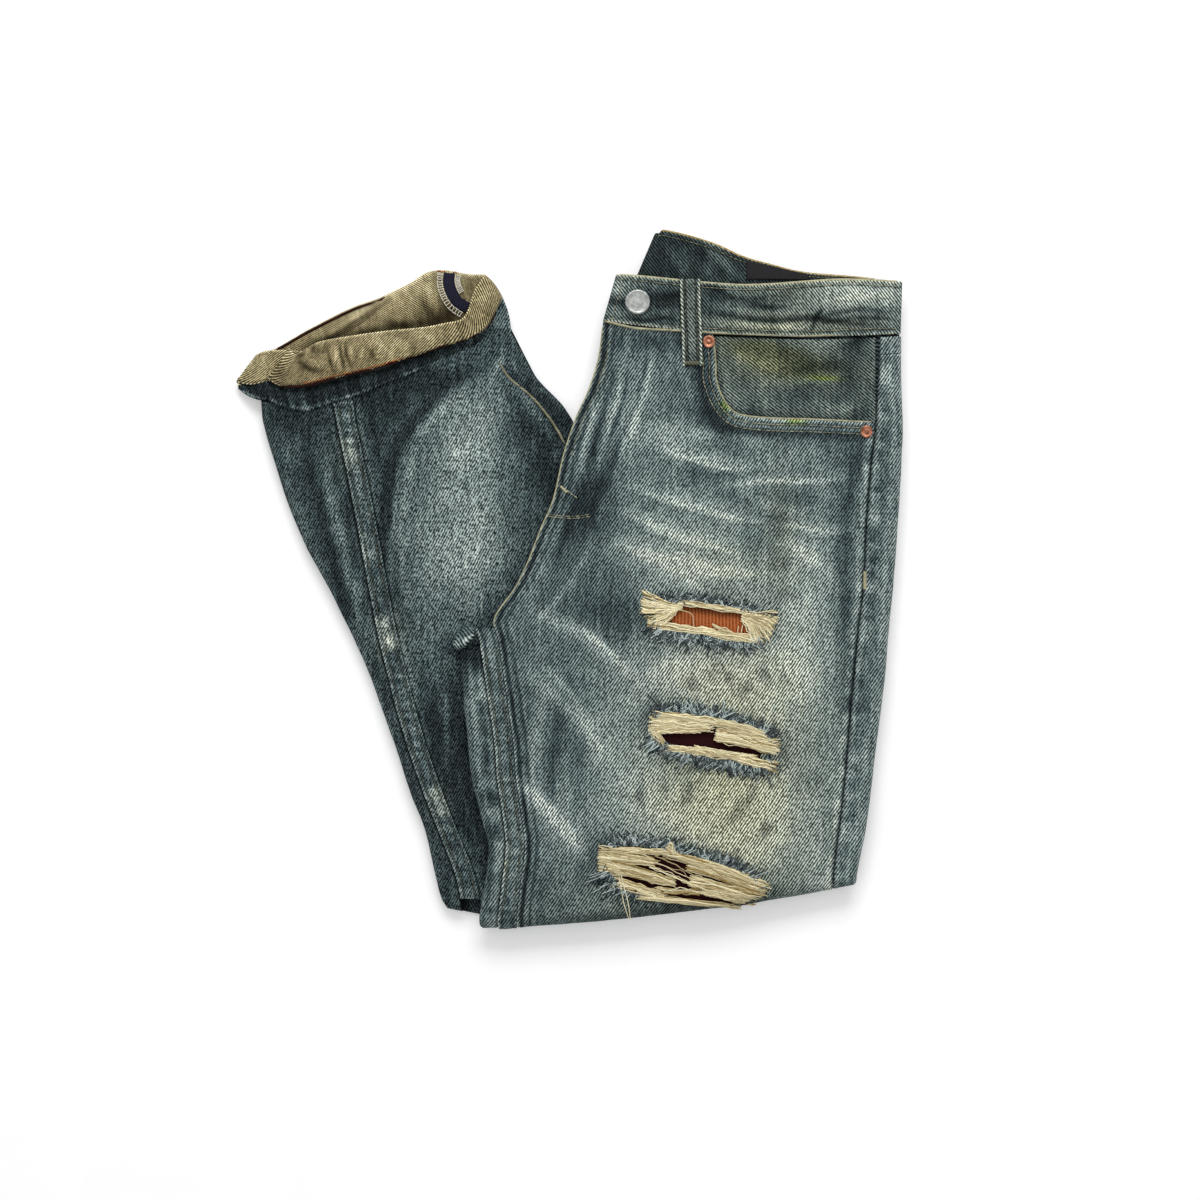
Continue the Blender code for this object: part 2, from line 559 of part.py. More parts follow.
def left_front_panel(finish):
    """Left front: rise edge or inseam to side seam, waist seam to under the knee, with its holes."""
    station, roll = pile_stations(0.0, (25, 50, 75, 105, 140, ROLL_LIMIT))
    across = np.array([0.0, 0.003, 0.016, 0.06, 0.16, 0.28, 0.42, 0.58, 0.72, 0.84, 0.93, 1.0])
    left = smooth(PILE["front_x"], station)
    right = smooth(PILE["outseam_x"], station) - 0.5 * GAP
    x = left + (right - left) * across[None, :]
    above_crotch = 1.0 - soft_step(station - (CROTCH_ROW - 1.2))
    drop = quarter_drop(x - left, FOLD_RADIUS) * above_crotch
    outer = pile_point(station, x, 0.0, roll, drop)
    inner = pile_point(station, x, CLOTH, roll, drop)
    panel = wall("left_front_panel", outer, inner, finish)
    corner = [(216.95, 109.6), (217.6, 176.0)]
    cut_through(panel, "pocket_cutter", list(POCKET_CURVE) + corner)
    for k in range(len(RIP_ROWS)):
        outline = rounded_outline(RIPS["x"][k], RIPS["y"][k], RIPS["half_length"][k],
                                  RIPS["half_height"][k], RIPS["tilt"][k])
        cut_through(panel, f"rip_cutter_{k + 1}", outline)
    return panel


def edge_wrap(name, station, roll, start, centre, side, finish):
    """Cloth from a seam to the pile's edge and half round it: side is 1 at the right, -1 at the left."""
    turns = np.radians(FOLD_TURNS)
    flat = start + (centre - start) * np.array([[0.0, 0.5]])
    skins = []
    for depth in (0.0, CLOTH):
        flat_points = pile_point(station, flat, depth, roll)
        radius = FOLD_RADIUS - depth
        x = centre + side * radius * np.sin(turns)[None, :]
        drop = FOLD_RADIUS - radius * np.cos(turns)[None, :]
        y, across = pile_line(station, np.broadcast_to(centre, x.shape))
        reach = pile_height(station, x, y, across) - drop - KNEE_RADIUS
        turned = np.stack([x, y - reach * np.sin(roll), KNEE_RADIUS + reach * np.cos(roll)], axis=-1)
        skins.append(np.concatenate([flat_points, turned], axis=1))
    return wall(name, skins[0], skins[1], finish)


def side_wrap(name, station, roll, finish):
    """Left back cloth beside the side seam, folded round the pile's right edge."""
    start = smooth(PILE["outseam_x"], station) + 0.5 * GAP
    centre = smooth(PILE["right_x"], station) - FOLD_RADIUS
    return edge_wrap(name, station, roll, start, centre, 1.0, finish)


def inseam_strip(finish):
    """Left back cloth beside the inseam, folded round the pile's left edge below the crotch."""
    station, roll = pile_stations(CROTCH_ROW + 0.3, (25, 50, 75, 105))
    start = smooth(PILE["front_x"], station) - FELL_WIDTH - GAP
    centre = smooth(PILE["left_x"], station) + FOLD_RADIUS
    return edge_wrap("left_back_inseam_strip", station, roll, start, centre, -1.0, finish)


def left_inseam_fell(finish):
    """Raised felled seam between the left front and the strip."""
    station, roll = pile_stations(CROTCH_ROW - 0.55, (25, 50, 75, 105))
    right = smooth(PILE["front_x"], station) - GAP
    left = right - FELL_WIDTH + GAP
    across = np.array([0.0, 0.12, 0.5, 0.88, 1.0])
    x = left + (right - left) * across[None, :]
    lift = np.array([0.35, 1.0, 0.85, 1.0, 0.35])[None, :] * FELL_RAISE
    outer = pile_point(station, x, 0.0, roll, -lift)
    inner = pile_point(station, x, CLOTH, roll)
    return wall("left_inseam_fell", outer, inner, finish)


def crotch_roll(finish):
    """Curled end of the crossing seams at the crotch."""
    centres = ((-66.6, -37.5, 15.5), (-69.0, -38.5, 15.4), (-73.5, -41.0, 15.0),
               (-78.0, -43.0, 14.4), (-81.5, -44.5, 14.0))
    sizes = ((2.6, 2.2), (4.2, 3.8), (6.6, 4.6), (5.4, 3.9), (2.4, 1.6))
    angles = np.linspace(0.0, 2.0 * np.pi, 10, endpoint=False)
    rings = [np.stack([np.full(10, x), y + wide * np.cos(angles), z + tall * np.sin(angles)], axis=-1)
             for (x, y, z), (wide, tall) in zip(centres, sizes)]
    return tube("crotch_seam_roll", np.array(rings), finish)


def pile_patch(name, outline_x, outline_y, depth, thickness, finish):
    """A flat wall laid on the pile: grids of x and y on the table, lifted to the surface."""
    shape = outline_x.shape
    outer = on_pile(outline_x.ravel(), outline_y.ravel(), depth).reshape(*shape, 3)
    inner = on_pile(outline_x.ravel(), outline_y.ravel(), depth + thickness).reshape(*shape, 3)
    return wall(name, outer, inner, finish)


def pocket_facing(finish):
    """Facing seen inside the pocket opening, one layer under the front."""
    station = np.array([0.05, 1.0, 2.0, 3.0, 3.4])[:, None]
    x = np.array([94.0, 112.0, 132.0, 152.0, 172.0, 193.0, 214.0])[None, :]
    outer = pile_point(station, x, FACING_DEPTH)
    inner = pile_point(station, x, FACING_DEPTH + UNDER)
    return wall("pocket_facing", outer, inner, finish)


def rip_patch(k, finish):
    """Cloth sewn behind a rip."""
    length = RIPS["half_length"][k] + 8.0
    height = RIPS["half_height"][k] + 6.0
    turn = math.radians(RIPS["tilt"][k])
    columns, rows = ((6, 5), (6, 5), (7, 6))[k]
    along, up = np.meshgrid(np.linspace(-length, length, columns), np.linspace(height, -height, rows))
    x = RIPS["x"][k] + along
    y = short_of_knee(x, RIPS["y"][k] + along * math.tan(turn) + up)
    return pile_patch(f"rip_patch_{k + 1}", x, y, FACING_DEPTH, UNDER, finish)


def rip_fringe(k, finish):
    """Reach of the pale threads round a rip's clear opening, lying on the front."""
    outer = rounded_outline(RIPS["x"][k], RIPS["y"][k], RIPS["half_length"][k] + 3.0,
                            RIPS["half_height"][k] + 2.5, RIPS["tilt"][k])
    inner = rounded_outline(RIPS["clear_x"][k], RIPS["clear_y"][k], RIPS["clear_length"][k],
                            RIPS["clear_height"][k], RIPS["tilt"][k])
    steps = np.array([0.0, 0.5, 1.0])
    rings = outer[None] + (inner - outer)[None] * steps[:, None, None]
    rings[..., 1] = short_of_knee(rings[..., 0], rings[..., 1])
    low = on_pile(rings[..., 0].ravel(), rings[..., 1].ravel(), -0.7).reshape(*rings.shape[:2], 3)
    high = on_pile(rings[..., 0].ravel(), rings[..., 1].ravel(), -1.9).reshape(*rings.shape[:2], 3)
    loop = np.concatenate([low, high[::-1]], axis=0)
    count, size = loop.shape[:2]
    faces = []
    for i in range(count):
        for j in range(size):
            a, b = (i + 1) % count, (j + 1) % size
            faces.append((i * size + j, i * size + b, a * size + b, a * size + j))
    return add_object(f"rip_fringe_{k + 1}", loop.reshape(-1, 3), faces, finish)


# ---------------------------------------------------------------- waist
def band_grid(rows, stations, steps):
    """Points of a waistband on the table, from its lower to its upper edge."""
    low_x, low_y, top_x, top_y = (smooth(rows[name], stations)[:, None] for name in BAND_COLUMNS)
    t = np.asarray(steps)[None, :]
    return low_x + (top_x - low_x) * t, low_y + (top_y - low_y) * t


def waist_height(x):
    """Height of the front waistband's face across the waist."""
    across = (x - PILE["left_x"][0]) / (PILE["right_x"][0] - PILE["left_x"][0])
    return crown_height(0.0, across) + WAISTBAND_RAISE


def folded_band(name, x, y, z, thickness, side, finish):
    """A doubled band that ends in a half-round fold: side is 1 at its last station or -1 at its first."""
    radius = BAND_FOLD_RADIUS
    turns = np.radians([35, 70, 105, 140, 170])
    end = -1 if side > 0 else 0
    skins = []
    for depth in (0.0, thickness):
        flat = np.stack([x, y, z - depth], axis=-1)
        arc = [np.stack([x[end] + side * (radius - depth) * math.sin(turn), y[end],
                         z[end] - radius + (radius - depth) * math.cos(turn)], axis=-1) for turn in turns]
        arc = np.array(arc)
        skins.append(np.concatenate([flat, arc]) if side > 0 else np.concatenate([arc[::-1], flat]))
    return wall(name, skins[0], skins[1], finish)


def front_waistband(finish):
    """Left front waistband, from the button end round the side fold."""
    stations = np.linspace(0.0, len(FRONT_BAND_ROWS) - 1.0, 14)
    steps = np.array([0.0, 0.04, 0.5, 0.94, 1.0])
    x, y = band_grid(FRONT_BAND, stations, steps)
    seam_y, _ = pile_line(0.0, x[:, 0])
    y = y + (seam_y[:, None] + 0.8 - y[:, :1]) * (1.0 - steps)
    soft_edge = np.array([0.7, 0.0, 0.0, 0.1, 0.8])[None, :]
    z = waist_height(x) - soft_edge
    return folded_band("front_waistband", x, y, z, BAND, 1, finish)


def back_waistband(finish):
    """Back waistband, inner face up, from the centre-back fold to the side."""
    stations = np.linspace(0.0, len(BACK_BAND_ROWS) - 1.0, 12)
    steps = np.array([0.0, 0.45, 0.9, 1.0])
    x, y = band_grid(BACK_BAND, stations, steps)
    soft_edge = np.array([0.0, 0.0, 0.1, 0.6])[None, :]
    z = waist_height(x) - BACK_BAND_DROP - soft_edge
    return folded_band("back_waistband", x, y, z, BAND - 0.2, -1, finish)


def back_label(finish):
    """Blank woven label on the inner face of the back waistband."""
    along, up = np.meshgrid(np.linspace(0.0, LABEL_LENGTH, 6), np.linspace(0.0, 1.0, 3), indexing="ij")
    x = LABEL_X + along
    y = LABEL_Y + (LABEL_HEIGHT + LABEL_SLOPE * along) * up
    z = waist_height(x) - BACK_BAND_DROP
    outer = np.stack([x, y, z + 1.1], axis=-1)
    inner = np.stack([x, y, z + 0.35], axis=-1)
    return wall("back_label", outer, inner, finish)


def belt_loop(finish):
    """Belt loop, sewn down above and below the waistband and standing off it between."""
    face = waist_height(np.array(LOOP_X))
    front = on_pile(LOOP_X, 152.0)[0, 2]
    path = ((149.0, front + 0.5), (156.0, front + 0.6), (162.0, front + 1.3),
            (170.5, face + 0.9), (180.0, face + 1.7), (192.0, face + 1.9),
            (203.0, face + 1.5), (209.0, face + 0.7), (212.0, face - 1.2))
    rings = []
    for k, (y, z) in enumerate(path):
        before = path[max(k - 1, 0)]
        after = path[min(k + 1, len(path) - 1)]
        length = math.hypot(after[0] - before[0], after[1] - before[1])
        up_y = -(after[1] - before[1]) / length * LOOP_WALL
        up_z = (after[0] - before[0]) / length * LOOP_WALL
        x0 = LOOP_X - 0.5 * LOOP_WIDTH - LOOP_LEAN * (y - 180.0)
        x1 = x0 + LOOP_WIDTH
        rings.append(((x0, y, z), (x1, y, z), (x1, y + up_y, z + up_z), (x0, y + up_y, z + up_z)))
    return tube("belt_loop", np.array(rings), finish)


def waist_button(finish):
    """Tack button with a raised rim and a flat centre."""
    x, y = 47.6, 193.6
    base = waist_height(np.array(x)) + 0.75
    profile = ((0.0, 0.0), (BUTTON_RADIUS - 1.2, 0.0), (BUTTON_RADIUS, 0.9),
               (BUTTON_RADIUS, 1.7), (BUTTON_RADIUS - 0.9, 2.6), (BUTTON_RADIUS - 1.9, 2.6),
               (BUTTON_RADIUS - 2.6, 2.1), (0.0, 2.2))
    return disc("waist_button", profile, (x, y, base), finish)


def pocket_rivet(name, x, y, finish):
    """Copper rivet: a flat ring with a nub in the middle."""
    base = np.max(on_pile(np.array([x, x - 3.0, x + 3.0]), np.array([y, y, y]))[:, 2]) + 0.45
    profile = ((0.0, 0.0), (RIVET_RADIUS - 0.3, 0.0), (RIVET_RADIUS, 0.4), (RIVET_RADIUS - 0.6, 1.0),
               (2.2, 0.9), (1.8, 0.6), (1.3, 1.4), (0.0, 1.6))
    return disc(name, profile, (x, y, base), finish, 14)


# ---------------------------------------------------------------- hidden layers
def hidden_layers(finish):
    """The cloth under the top layer as one rounded body, grooved into layers along its sides."""
    rings = [waist_ring(*row) for row in WAIST_CORE_ROWS]
    rings += [pile_ring(float(station)) for station in range(PILE_END + 1)]
    rings += [knee_ring(math.radians(turn)) for turn in (0.0, 25.0, 50.0, 75.0)]
    return tube("hidden_layers", np.array(rings), finish)


def core_outline(left, right, x_top, z_top, steps, inset, notch_in, floor):
    """Outline of one section: flat underside, layered sides, the notch at the left, and its top."""
    left_step, right_step = steps
    points = [(left + notch_in, 0.0), (right - 5.0 - inset, 0.0)]
    points += side_layers(right - inset, -1.0, 0.0, right_step)
    points += [(right - SIDE_IN - inset, right_step)]
    points += list(zip(x_top[::-1], z_top[::-1]))
    points += [(x_top[0], left_step)]
    points += side_layers(left + inset, 1.0, floor, left_step)[::-1]
    points += [(left + notch_in, floor)]
    return np.array(points).T


def side_layers(edge, inward, low, high):
    """Folded edges of two hidden layers, one above the other: round noses with a groove between."""
    nose = edge + inward * 1.2
    groove = nose + inward * 2.0 * NOSE_DEPTH
    turned = nose + inward * NOSE_DEPTH
    middle = 0.5 * (low + high)
    thick = 0.5 * (high - low)
    return [(turned, low + 0.15 * thick), (nose, low + 0.5 * thick), (turned, low + 0.85 * thick),
            (groove, middle),
            (turned, middle + 0.15 * thick), (nose, middle + 0.5 * thick), (turned, high - 0.15 * thick)]


def core_top(left, right):
    """The x of the points along a section's top."""
    return left + (right - left) * np.array(CORE_ACROSS)


def waist_ring(left_x, left_y, right_x, right_y, depth, sag):
    """Section of the hidden layers above the waist seam."""
    inset = 2.5
    x_top = core_top(left_x + 2.2 + inset, right_x - SIDE_IN - inset)
    z_top = waist_height(x_top) - depth
    z_top[[0, -1]] -= 0.5
    steps = (z_top[0] - 1.2, z_top[-1] - 2.0)
    x, z = core_outline(left_x, right_x, x_top, z_top, steps, inset, 4.5 + inset, 0.0)
    share = (x - left_x) / (right_x - left_x)
    y = left_y + (right_y - left_y) * share + sag * 4.0 * share * (1.0 - share)
    return np.stack([x, y, z], axis=-1)


def pile_ring(station):
    """Section of the hidden layers at a row of the pile, one depth under its cloth."""
    strip = station >= CROTCH_ROW
    slides_under = station >= NOTCH_ROW
    hollow = 10.0 * math.exp(-((station - CROTCH_ROW + 0.1) / 0.8) ** 2)
    left = float(smooth(PILE["left_x"], station)) + hollow
    right = float(smooth(PILE["right_x"], station))
    x_top = core_top(left + (SIDE_IN if strip else 2.2), right - SIDE_IN)
    z_top = pile_point(station, x_top, CORE_DEPTH)[:, 2]
    if not strip:
        z_top[:2] -= (1.8, 0.9)
    fold_floor = CORE_DEPTH - 2.0 * FOLD_RADIUS
    left_step = z_top[0] + fold_floor if strip else z_top[0] - 1.7
    right_step = z_top[-1] + fold_floor
    z_top[[0, -1]] -= 0.5
    notch_in = NOTCH_DEPTH if slides_under else 4.5
    floor = NOTCH_HEIGHT if slides_under else 0.0
    x, z = core_outline(left, right, x_top, z_top, (left_step, right_step), 0.0, notch_in, floor)
    y, _ = pile_line(station, x)
    return np.stack([x, y, z], axis=-1)


def knee_ring(turn):
    """Section of the hidden layers turned round the knee, kept inside the cloth that wraps it."""
    ring = pile_ring(float(PILE_END))
    left = float(PILE["left_x"][-1])
    right = float(PILE["right_x"][-1])
    x = np.clip(ring[:, 0], left + NOTCH_DEPTH, right - SIDE_IN)
    y, _ = pile_line(float(PILE_END), x)
    top = pile_point(float(PILE_END), x, CORE_DEPTH + 0.6)[:, 2]
    z = np.clip(ring[:, 2], 2.0 * KNEE_RADIUS - top, top)
    y = y - 0.25 - (top - KNEE_RADIUS) * math.sin(turn)
    return np.stack([x, y, KNEE_RADIUS + (z - KNEE_RADIUS) * math.cos(turn)], axis=-1)


# ---------------------------------------------------------------- the lower leg
def leg_wall(name, around, stations, finish):
    """A wall of the lower leg's tube, its inner skin one cloth inside the outer."""
    outer = leg_point(around, stations)
    normal = leg_normals(around, stations)
    inner = outer - normal * CLOTH
    return wall(name, outer, inner, finish)


def leg_normals(around, stations):
    """Outward unit normals of the lower leg within each upright section, from small steps across it."""
    small = 0.01
    across = leg_point(around + small, stations) - leg_point(around - small, stations)
    normal = np.stack([-across[..., 2], np.zeros(across.shape[:2]), across[..., 0]], axis=-1)
    return normal / np.maximum(np.linalg.norm(normal, axis=-1, keepdims=True), 1e-9)


def leg_stations(first=0.0):
    """Row numbers from the knee to the cuff, closer together where the leg ends."""
    rows = np.array([0.0, 0.4] + [float(k) for k in range(1, LEG_END)] + [LEG_END - 0.5, LEG_END])
    return rows[rows >= first][:, None]


def right_leg_front(finish):
    """Right front below the knee: inseam to side fold."""
    stations = leg_stations(0.4)
    start = leg_around(smooth(LEG["inseam_x"], stations) + FELL_WIDTH + GAP, stations)
    share = np.array([0.0, 0.11, 0.22, 0.34, 0.46, 0.59, 0.72, 0.85, 0.94, 1.0])[None, :]
    around = start + (1.965 - start) * share
    return leg_wall("right_leg_front", around, stations, finish)


def right_leg_back(finish):
    """Right back below the knee, in three walls: under the leg, up its left fold, and to the inseam."""
    stations = leg_stations()
    below = np.array([0.0, 0.06, 0.12, 0.35, 0.6, 0.86, 0.93, 1.0 - FOLD_SLIT])
    leg_wall("right_leg_back", np.broadcast_to(below, (len(stations), len(below))), stations, finish)
    stations = leg_stations(0.4)
    left_x = smooth(LEG["left_x"], stations)
    end = leg_around(smooth(LEG["inseam_x"], stations) - GAP, stations)
    fold_end = leg_around(left_x + LEG_FOLD_WIDTH, stations)
    strip_start = leg_around(left_x + LEG_FOLD_WIDTH + GAP, stations)
    share = np.array([0.0, 0.5, 1.0])[None, :]
    fold = 1.0 + FOLD_SLIT + (fold_end - 1.0 - FOLD_SLIT) * share
    leg_wall("right_leg_back_fold", fold, stations, finish)
    return leg_wall("right_leg_back_strip", strip_start + (end - strip_start) * share, stations, finish)


def right_inseam_fell(finish):
    """Felled inseam of the lower leg, raised a little from both panels."""
    stations = leg_stations(1.0)
    left = smooth(LEG["inseam_x"], stations)
    x = left + FELL_WIDTH * np.array([0.0, 0.12, 0.5, 0.88, 1.0])[None, :]
    around = leg_around(x, stations)
    base = leg_point(around, stations)
    normal = leg_normals(around, stations)
    lift = np.array([0.35, 1.0, 0.85, 1.0, 0.35])[None, :, None] * FELL_RAISE
    return wall("right_inseam_fell", base + normal * lift, base - normal * CLOTH, finish)


def right_cuff(finish):
    """Turned-up hem: one doubled band round the mouth, its end lapped under its start at the left."""
    stations = np.linspace(0.0, len(CUFF_ROWS) - 1.0, 45)[:, None]
    across = np.array([0.0, 0.04, 0.35, 0.7, 1.0])[None, :]
    middle = cuff_point(stations, across)
    normal = grid_normals(middle)
    half = 0.5 * BAND * np.array([0.45, 0.95, 1.0, 1.0, 0.9])[None, :, None]
    return wall("right_cuff", middle + normal * half, middle - normal * half, finish)


def right_hem_band(finish):
    """Doubled blue hem at the end of the cuff, lying on the leg's top."""
    stations = np.linspace(0.0, len(HEM_BAND_ROWS) - 1.0, 17)[:, None]
    x = smooth(HEM_BAND["x"], stations)
    top_y = smooth(HEM_BAND["top_y"], stations) - 1.6
    low_y = smooth(HEM_BAND["low_y"], stations)
    z = smooth(HEM_BAND["z"], stations)
    across = np.array([0.0, 0.25, 0.75, 1.0])[None, :]
    face = np.array([-0.5, 0.6, 0.6, -0.5])[None, :]
    y = top_y + (low_y - top_y) * across
    x = np.broadcast_to(x, y.shape)
    outer = np.stack([x, y, z + face], axis=-1)
    inner = np.stack([x, y, z - 1.3 + 0.0 * y], axis=-1)
    return wall("right_hem_band", outer, inner, finish)


def outseam_allowance(finish):
    """Pressed-open seam allowance with its tape, on the far wall inside the mouth."""
    stations = np.linspace(13.35, 14.45, 6)[:, None]
    across = np.linspace(0.05, 0.92, 6)[None, :]
    middle = cuff_point(stations, across)
    normal = grid_normals(middle)
    normal = normal * np.where(normal[..., 2:] < 0.0, -1.0, 1.0)
    base = 0.5 * BAND + 0.4
    return wall("outseam_allowance", middle + normal * (base + 1.0), middle + normal * base, finish)


# ---------------------------------------------------------------- assembly
def clear_scene():
    """Removes whatever objects the file starts with."""
    for item in list(bpy.data.objects):
        bpy.data.objects.remove(item, do_unlink=True)


def build():
    """Makes every piece of the jeans."""
    clear_scene()
    finish = finishes()
    hidden_layers(finish["denim_dark"])
    left_front_panel(finish["denim"])
    side_wrap("left_back_yoke", np.array([[0.05], [0.3], [0.62]]), np.zeros((3, 1)), finish["denim"])
    side_wrap("left_back_panel", *pile_stations(0.64, (25, 50, 75, 105)), finish["denim"])
    inseam_strip(finish["denim_lower"])
    left_inseam_fell(finish["denim"])
    crotch_roll(finish["denim_dark"])
    pocket_facing(finish["denim_inside"])
    for k, cloth in enumerate(("rust", "maroon", "maroon")):
        rip_patch(k, finish[cloth])
        rip_fringe(k, finish["thread"])
    front_waistband(finish["denim"])
    back_waistband(finish["denim_dark"])
    back_label(finish["label"])
    belt_loop(finish["denim"])
    waist_button(finish["nickel"])
    pocket_rivet("pocket_rivet_upper", 97.3, 166.0, finish["copper"])
    pocket_rivet("pocket_rivet_side", 207.6, 103.3, finish["copper"])
    right_leg_front(finish["denim_lower"])
    right_leg_back(finish["denim_lower"])
    right_inseam_fell(finish["denim_lower"])
    right_cuff(finish["denim_inside"])
    right_hem_band(finish["denim_dark"])
    outseam_allowance(finish["tape"])


build()
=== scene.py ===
"""Looks of a pair of ripped jeans, folded in half and then under at the knee, with one hem turned up.

The tables are in millimetres, in the frame of the solids: +Z up, +Y towards the waist and +X towards
the side seam.  Every piece is a surface over two parameters, worked out on a whole grid at once.
"""
import functools
import math

import bpy
import numpy as np
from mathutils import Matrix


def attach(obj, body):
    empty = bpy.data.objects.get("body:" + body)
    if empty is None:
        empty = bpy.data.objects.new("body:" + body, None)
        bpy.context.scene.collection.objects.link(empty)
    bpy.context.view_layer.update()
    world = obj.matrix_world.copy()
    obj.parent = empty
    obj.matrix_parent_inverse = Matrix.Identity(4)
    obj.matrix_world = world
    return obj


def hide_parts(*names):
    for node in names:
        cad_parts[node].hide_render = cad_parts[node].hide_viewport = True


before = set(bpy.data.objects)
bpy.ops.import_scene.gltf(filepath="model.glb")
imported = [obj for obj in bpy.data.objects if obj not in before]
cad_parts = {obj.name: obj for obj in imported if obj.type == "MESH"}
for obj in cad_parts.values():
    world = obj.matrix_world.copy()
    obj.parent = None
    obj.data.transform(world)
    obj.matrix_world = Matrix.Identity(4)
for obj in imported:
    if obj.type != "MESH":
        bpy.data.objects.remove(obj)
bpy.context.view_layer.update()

bl_info = {
    "name": "Ripped jeans",
    "version": (1, 0, 0),
    "blender": (4, 5, 0),
    "location": "View3D > Sidebar > Jeans",
    "description": "Builds the cloth, threads, hardware and stage of a folded pair of ripped jeans",
    "category": "Add Mesh",
}

MM = 0.001


def table(names, rows):
    """A dictionary of arrays, one for each named column."""
    return dict(zip(names.split(), np.array(rows, dtype=float).T))


# ---------------------------------------------------------------- sizes of the cut
CLOTH = 1.2
BAND = 2.4
GAP = 0.3
UNDER = 1
# Depth of a cloth's two skins, and how much of its relief shows on each.
DEPTHS = ((0, 1), (CLOTH, 0.5))
FACING_DEPTH = CLOTH + GAP
CORE_DEPTH = FACING_DEPTH + UNDER + GAP
FOLD_RADIUS = 3.6
KNEE_RADIUS = 10
# How far the knee's turn carries the flat coordinates of the narrow strips.
KNEE_RUN = 9
FELL_WIDTH = 13.3
# Rows of stitching: shares of a fell's and a waistband's width, and distances from the pocket's edge.
FELL_SEWN = (0.22, 0.8)
BAND_SEWN = (0.09, 0.9)
POCKET_SEWN = (4.2, 8.6)
WAISTBAND_RAISE = 0.8
BACK_BAND_DROP = 4.2
NOTCH_DEPTH = 18
NOTCH_HEIGHT = 9
NOTCH_ROW = 2.4
KNEE_SAG = -3
WAIST_SAG = -6
CROTCH_ROW = 10
LEG_EDGE = 4
LOOP_X = 85
LOOP_WIDTH = 14
LOOP_LEAN = 0.035
LOOP_SEWN = 0.27
LABEL_X = 123.5
LABEL_Y = 209.6
LABEL_LENGTH = 44
LABEL_HEIGHT = 13.4
LABEL_SLOPE = -0.22

PILE = table("left_x left_y front_x outseam_x right_x right_y left_z middle_z right_z", (
    (23.5, 180.3, 23.5, 216.7, 232.5, 171.5, 17, 20.5, 15),
    (20.4, 155.8, 20.4, 216.2, 232.2, 150, 17.5, 21.5, 15),
    (13.7, 133.4, 13.7, 215.2, 232.8, 127, 18, 22, 15),
    (4.6, 113, 4.6, 214, 233.5, 105, 18.5, 22.5, 15),
    (-4.2, 86.5, -4.2, 211, 232.5, 80, 18.5, 23, 15),
    (-11, 57, -11, 208.7, 231, 52, 18.5, 23.5, 15),
    (-20, 35.4, -20, 207.3, 229.5, 32, 18.5, 23.5, 15),
    (-28.4, 13.7, -28.4, 206.3, 228, 10, 18.5, 23.5, 15),
    (-37.5, -5.3, -37.5, 205.2, 226.5, -8, 18.5, 23.5, 15),
    (-52.2, -27, -52.2, 203, 224.6, -27, 18.5, 23.5, 15),
    (-75, -43, -49.4, 201.2, 223.2, -42, 19, 23.5, 15),
    (-75, -66.9, -45.9, 199.3, 221.5, -64, 19, 23.5, 15),
    (-73.5, -90, -42.5, 197.2, 219, -86, 19, 23, 15),
    (-71, -116, -38.9, 195, 215.5, -112, 19, 22.5, 15),
    (-68.5, -139, -37.2, 193, 212.7, -135, 19, 22, 15),
    (-62, -165.6, -33.3, 190.4, 210, -158, 19, 21.5, 15.5),
    (-56.8, -188, -31.2, 187.9, 207, -178, 19, 21, 16),
    (-59.5, -214, -34, 185.6, 203.5, -194, 19, 20.5, 16.5),
    (-63, -236, -36.5, 184.3, 201, -207, 18.5, 20, 16.5),
))
PILE_END = len(PILE["left_x"]) - 1

LEG_PLACES = ("left", "inseam", "valley", "ridge", "right")
LEG = table("left_x left_y right_x right_y inseam_x valley_x ridge_x"
            " left_z inseam_z valley_z ridge_z right_z", (
    (-86, -231, -50, -238, -75, -66, -60, 8, 9, 8.5, 8, 6.5),
    (-90.5, -223, -47, -225, -76.5, -66, -60, 9, 10.5, 9, 8.5, 6.5),
    (-94.9, -205.5, -45, -206, -80.5, -69, -62, 10, 11.5, 9, 9, 6.5),
    (-101.9, -175.4, -45, -178, -92, -78, -67, 10, 12, 9, 9.5, 6.5),
    (-112.4, -148, -52, -148, -103, -88, -77, 10, 12, 9.5, 10.5, 6.5),
    (-122.2, -118, -57, -118, -113.2, -99, -85, 10, 12.5, 10, 11.5, 6.5),
    (-132, -90.7, -60, -88, -121.5, -107, -93, 10, 13, 10, 12, 6.5),
    (-141.1, -65.5, -62, -62, -127.8, -114, -102, 10, 13, 10, 13, 6.5),
    (-152.3, -40.3, -54, -38, -134, -120, -108, 10, 13, 10.5, 14.5, 6.5),
    (-167, -10.2, -32, -12, -139.7, -126, -113, 10, 13, 11, 17, 6.5),
    (-184.5, 22.1, -15, 28, -146, -131, -115, 10, 13, 11.5, 20, 6.5),
    (-198.5, 55, 0, 64, -152.3, -136, -113, 10, 14, 12.5, 23, 7),
    (-209.7, 90.7, 6, 98, -159.3, -135, -105, 10, 15, 14, 25, 7),
    (-213.5, 104, -3, 120, -162.5, -132, -98, 10, 16, 16, 26, 8),
    (-216, 113, -24, 143, -164.5, -130, -90, 10.5, 17, 19, 26.5, 9.5),
    (-217, 126, -43, 174, -166, -128, -84, 11, 17.5, 21.5, 26, 12),
))
LEG_END = len(LEG["left_x"]) - 1

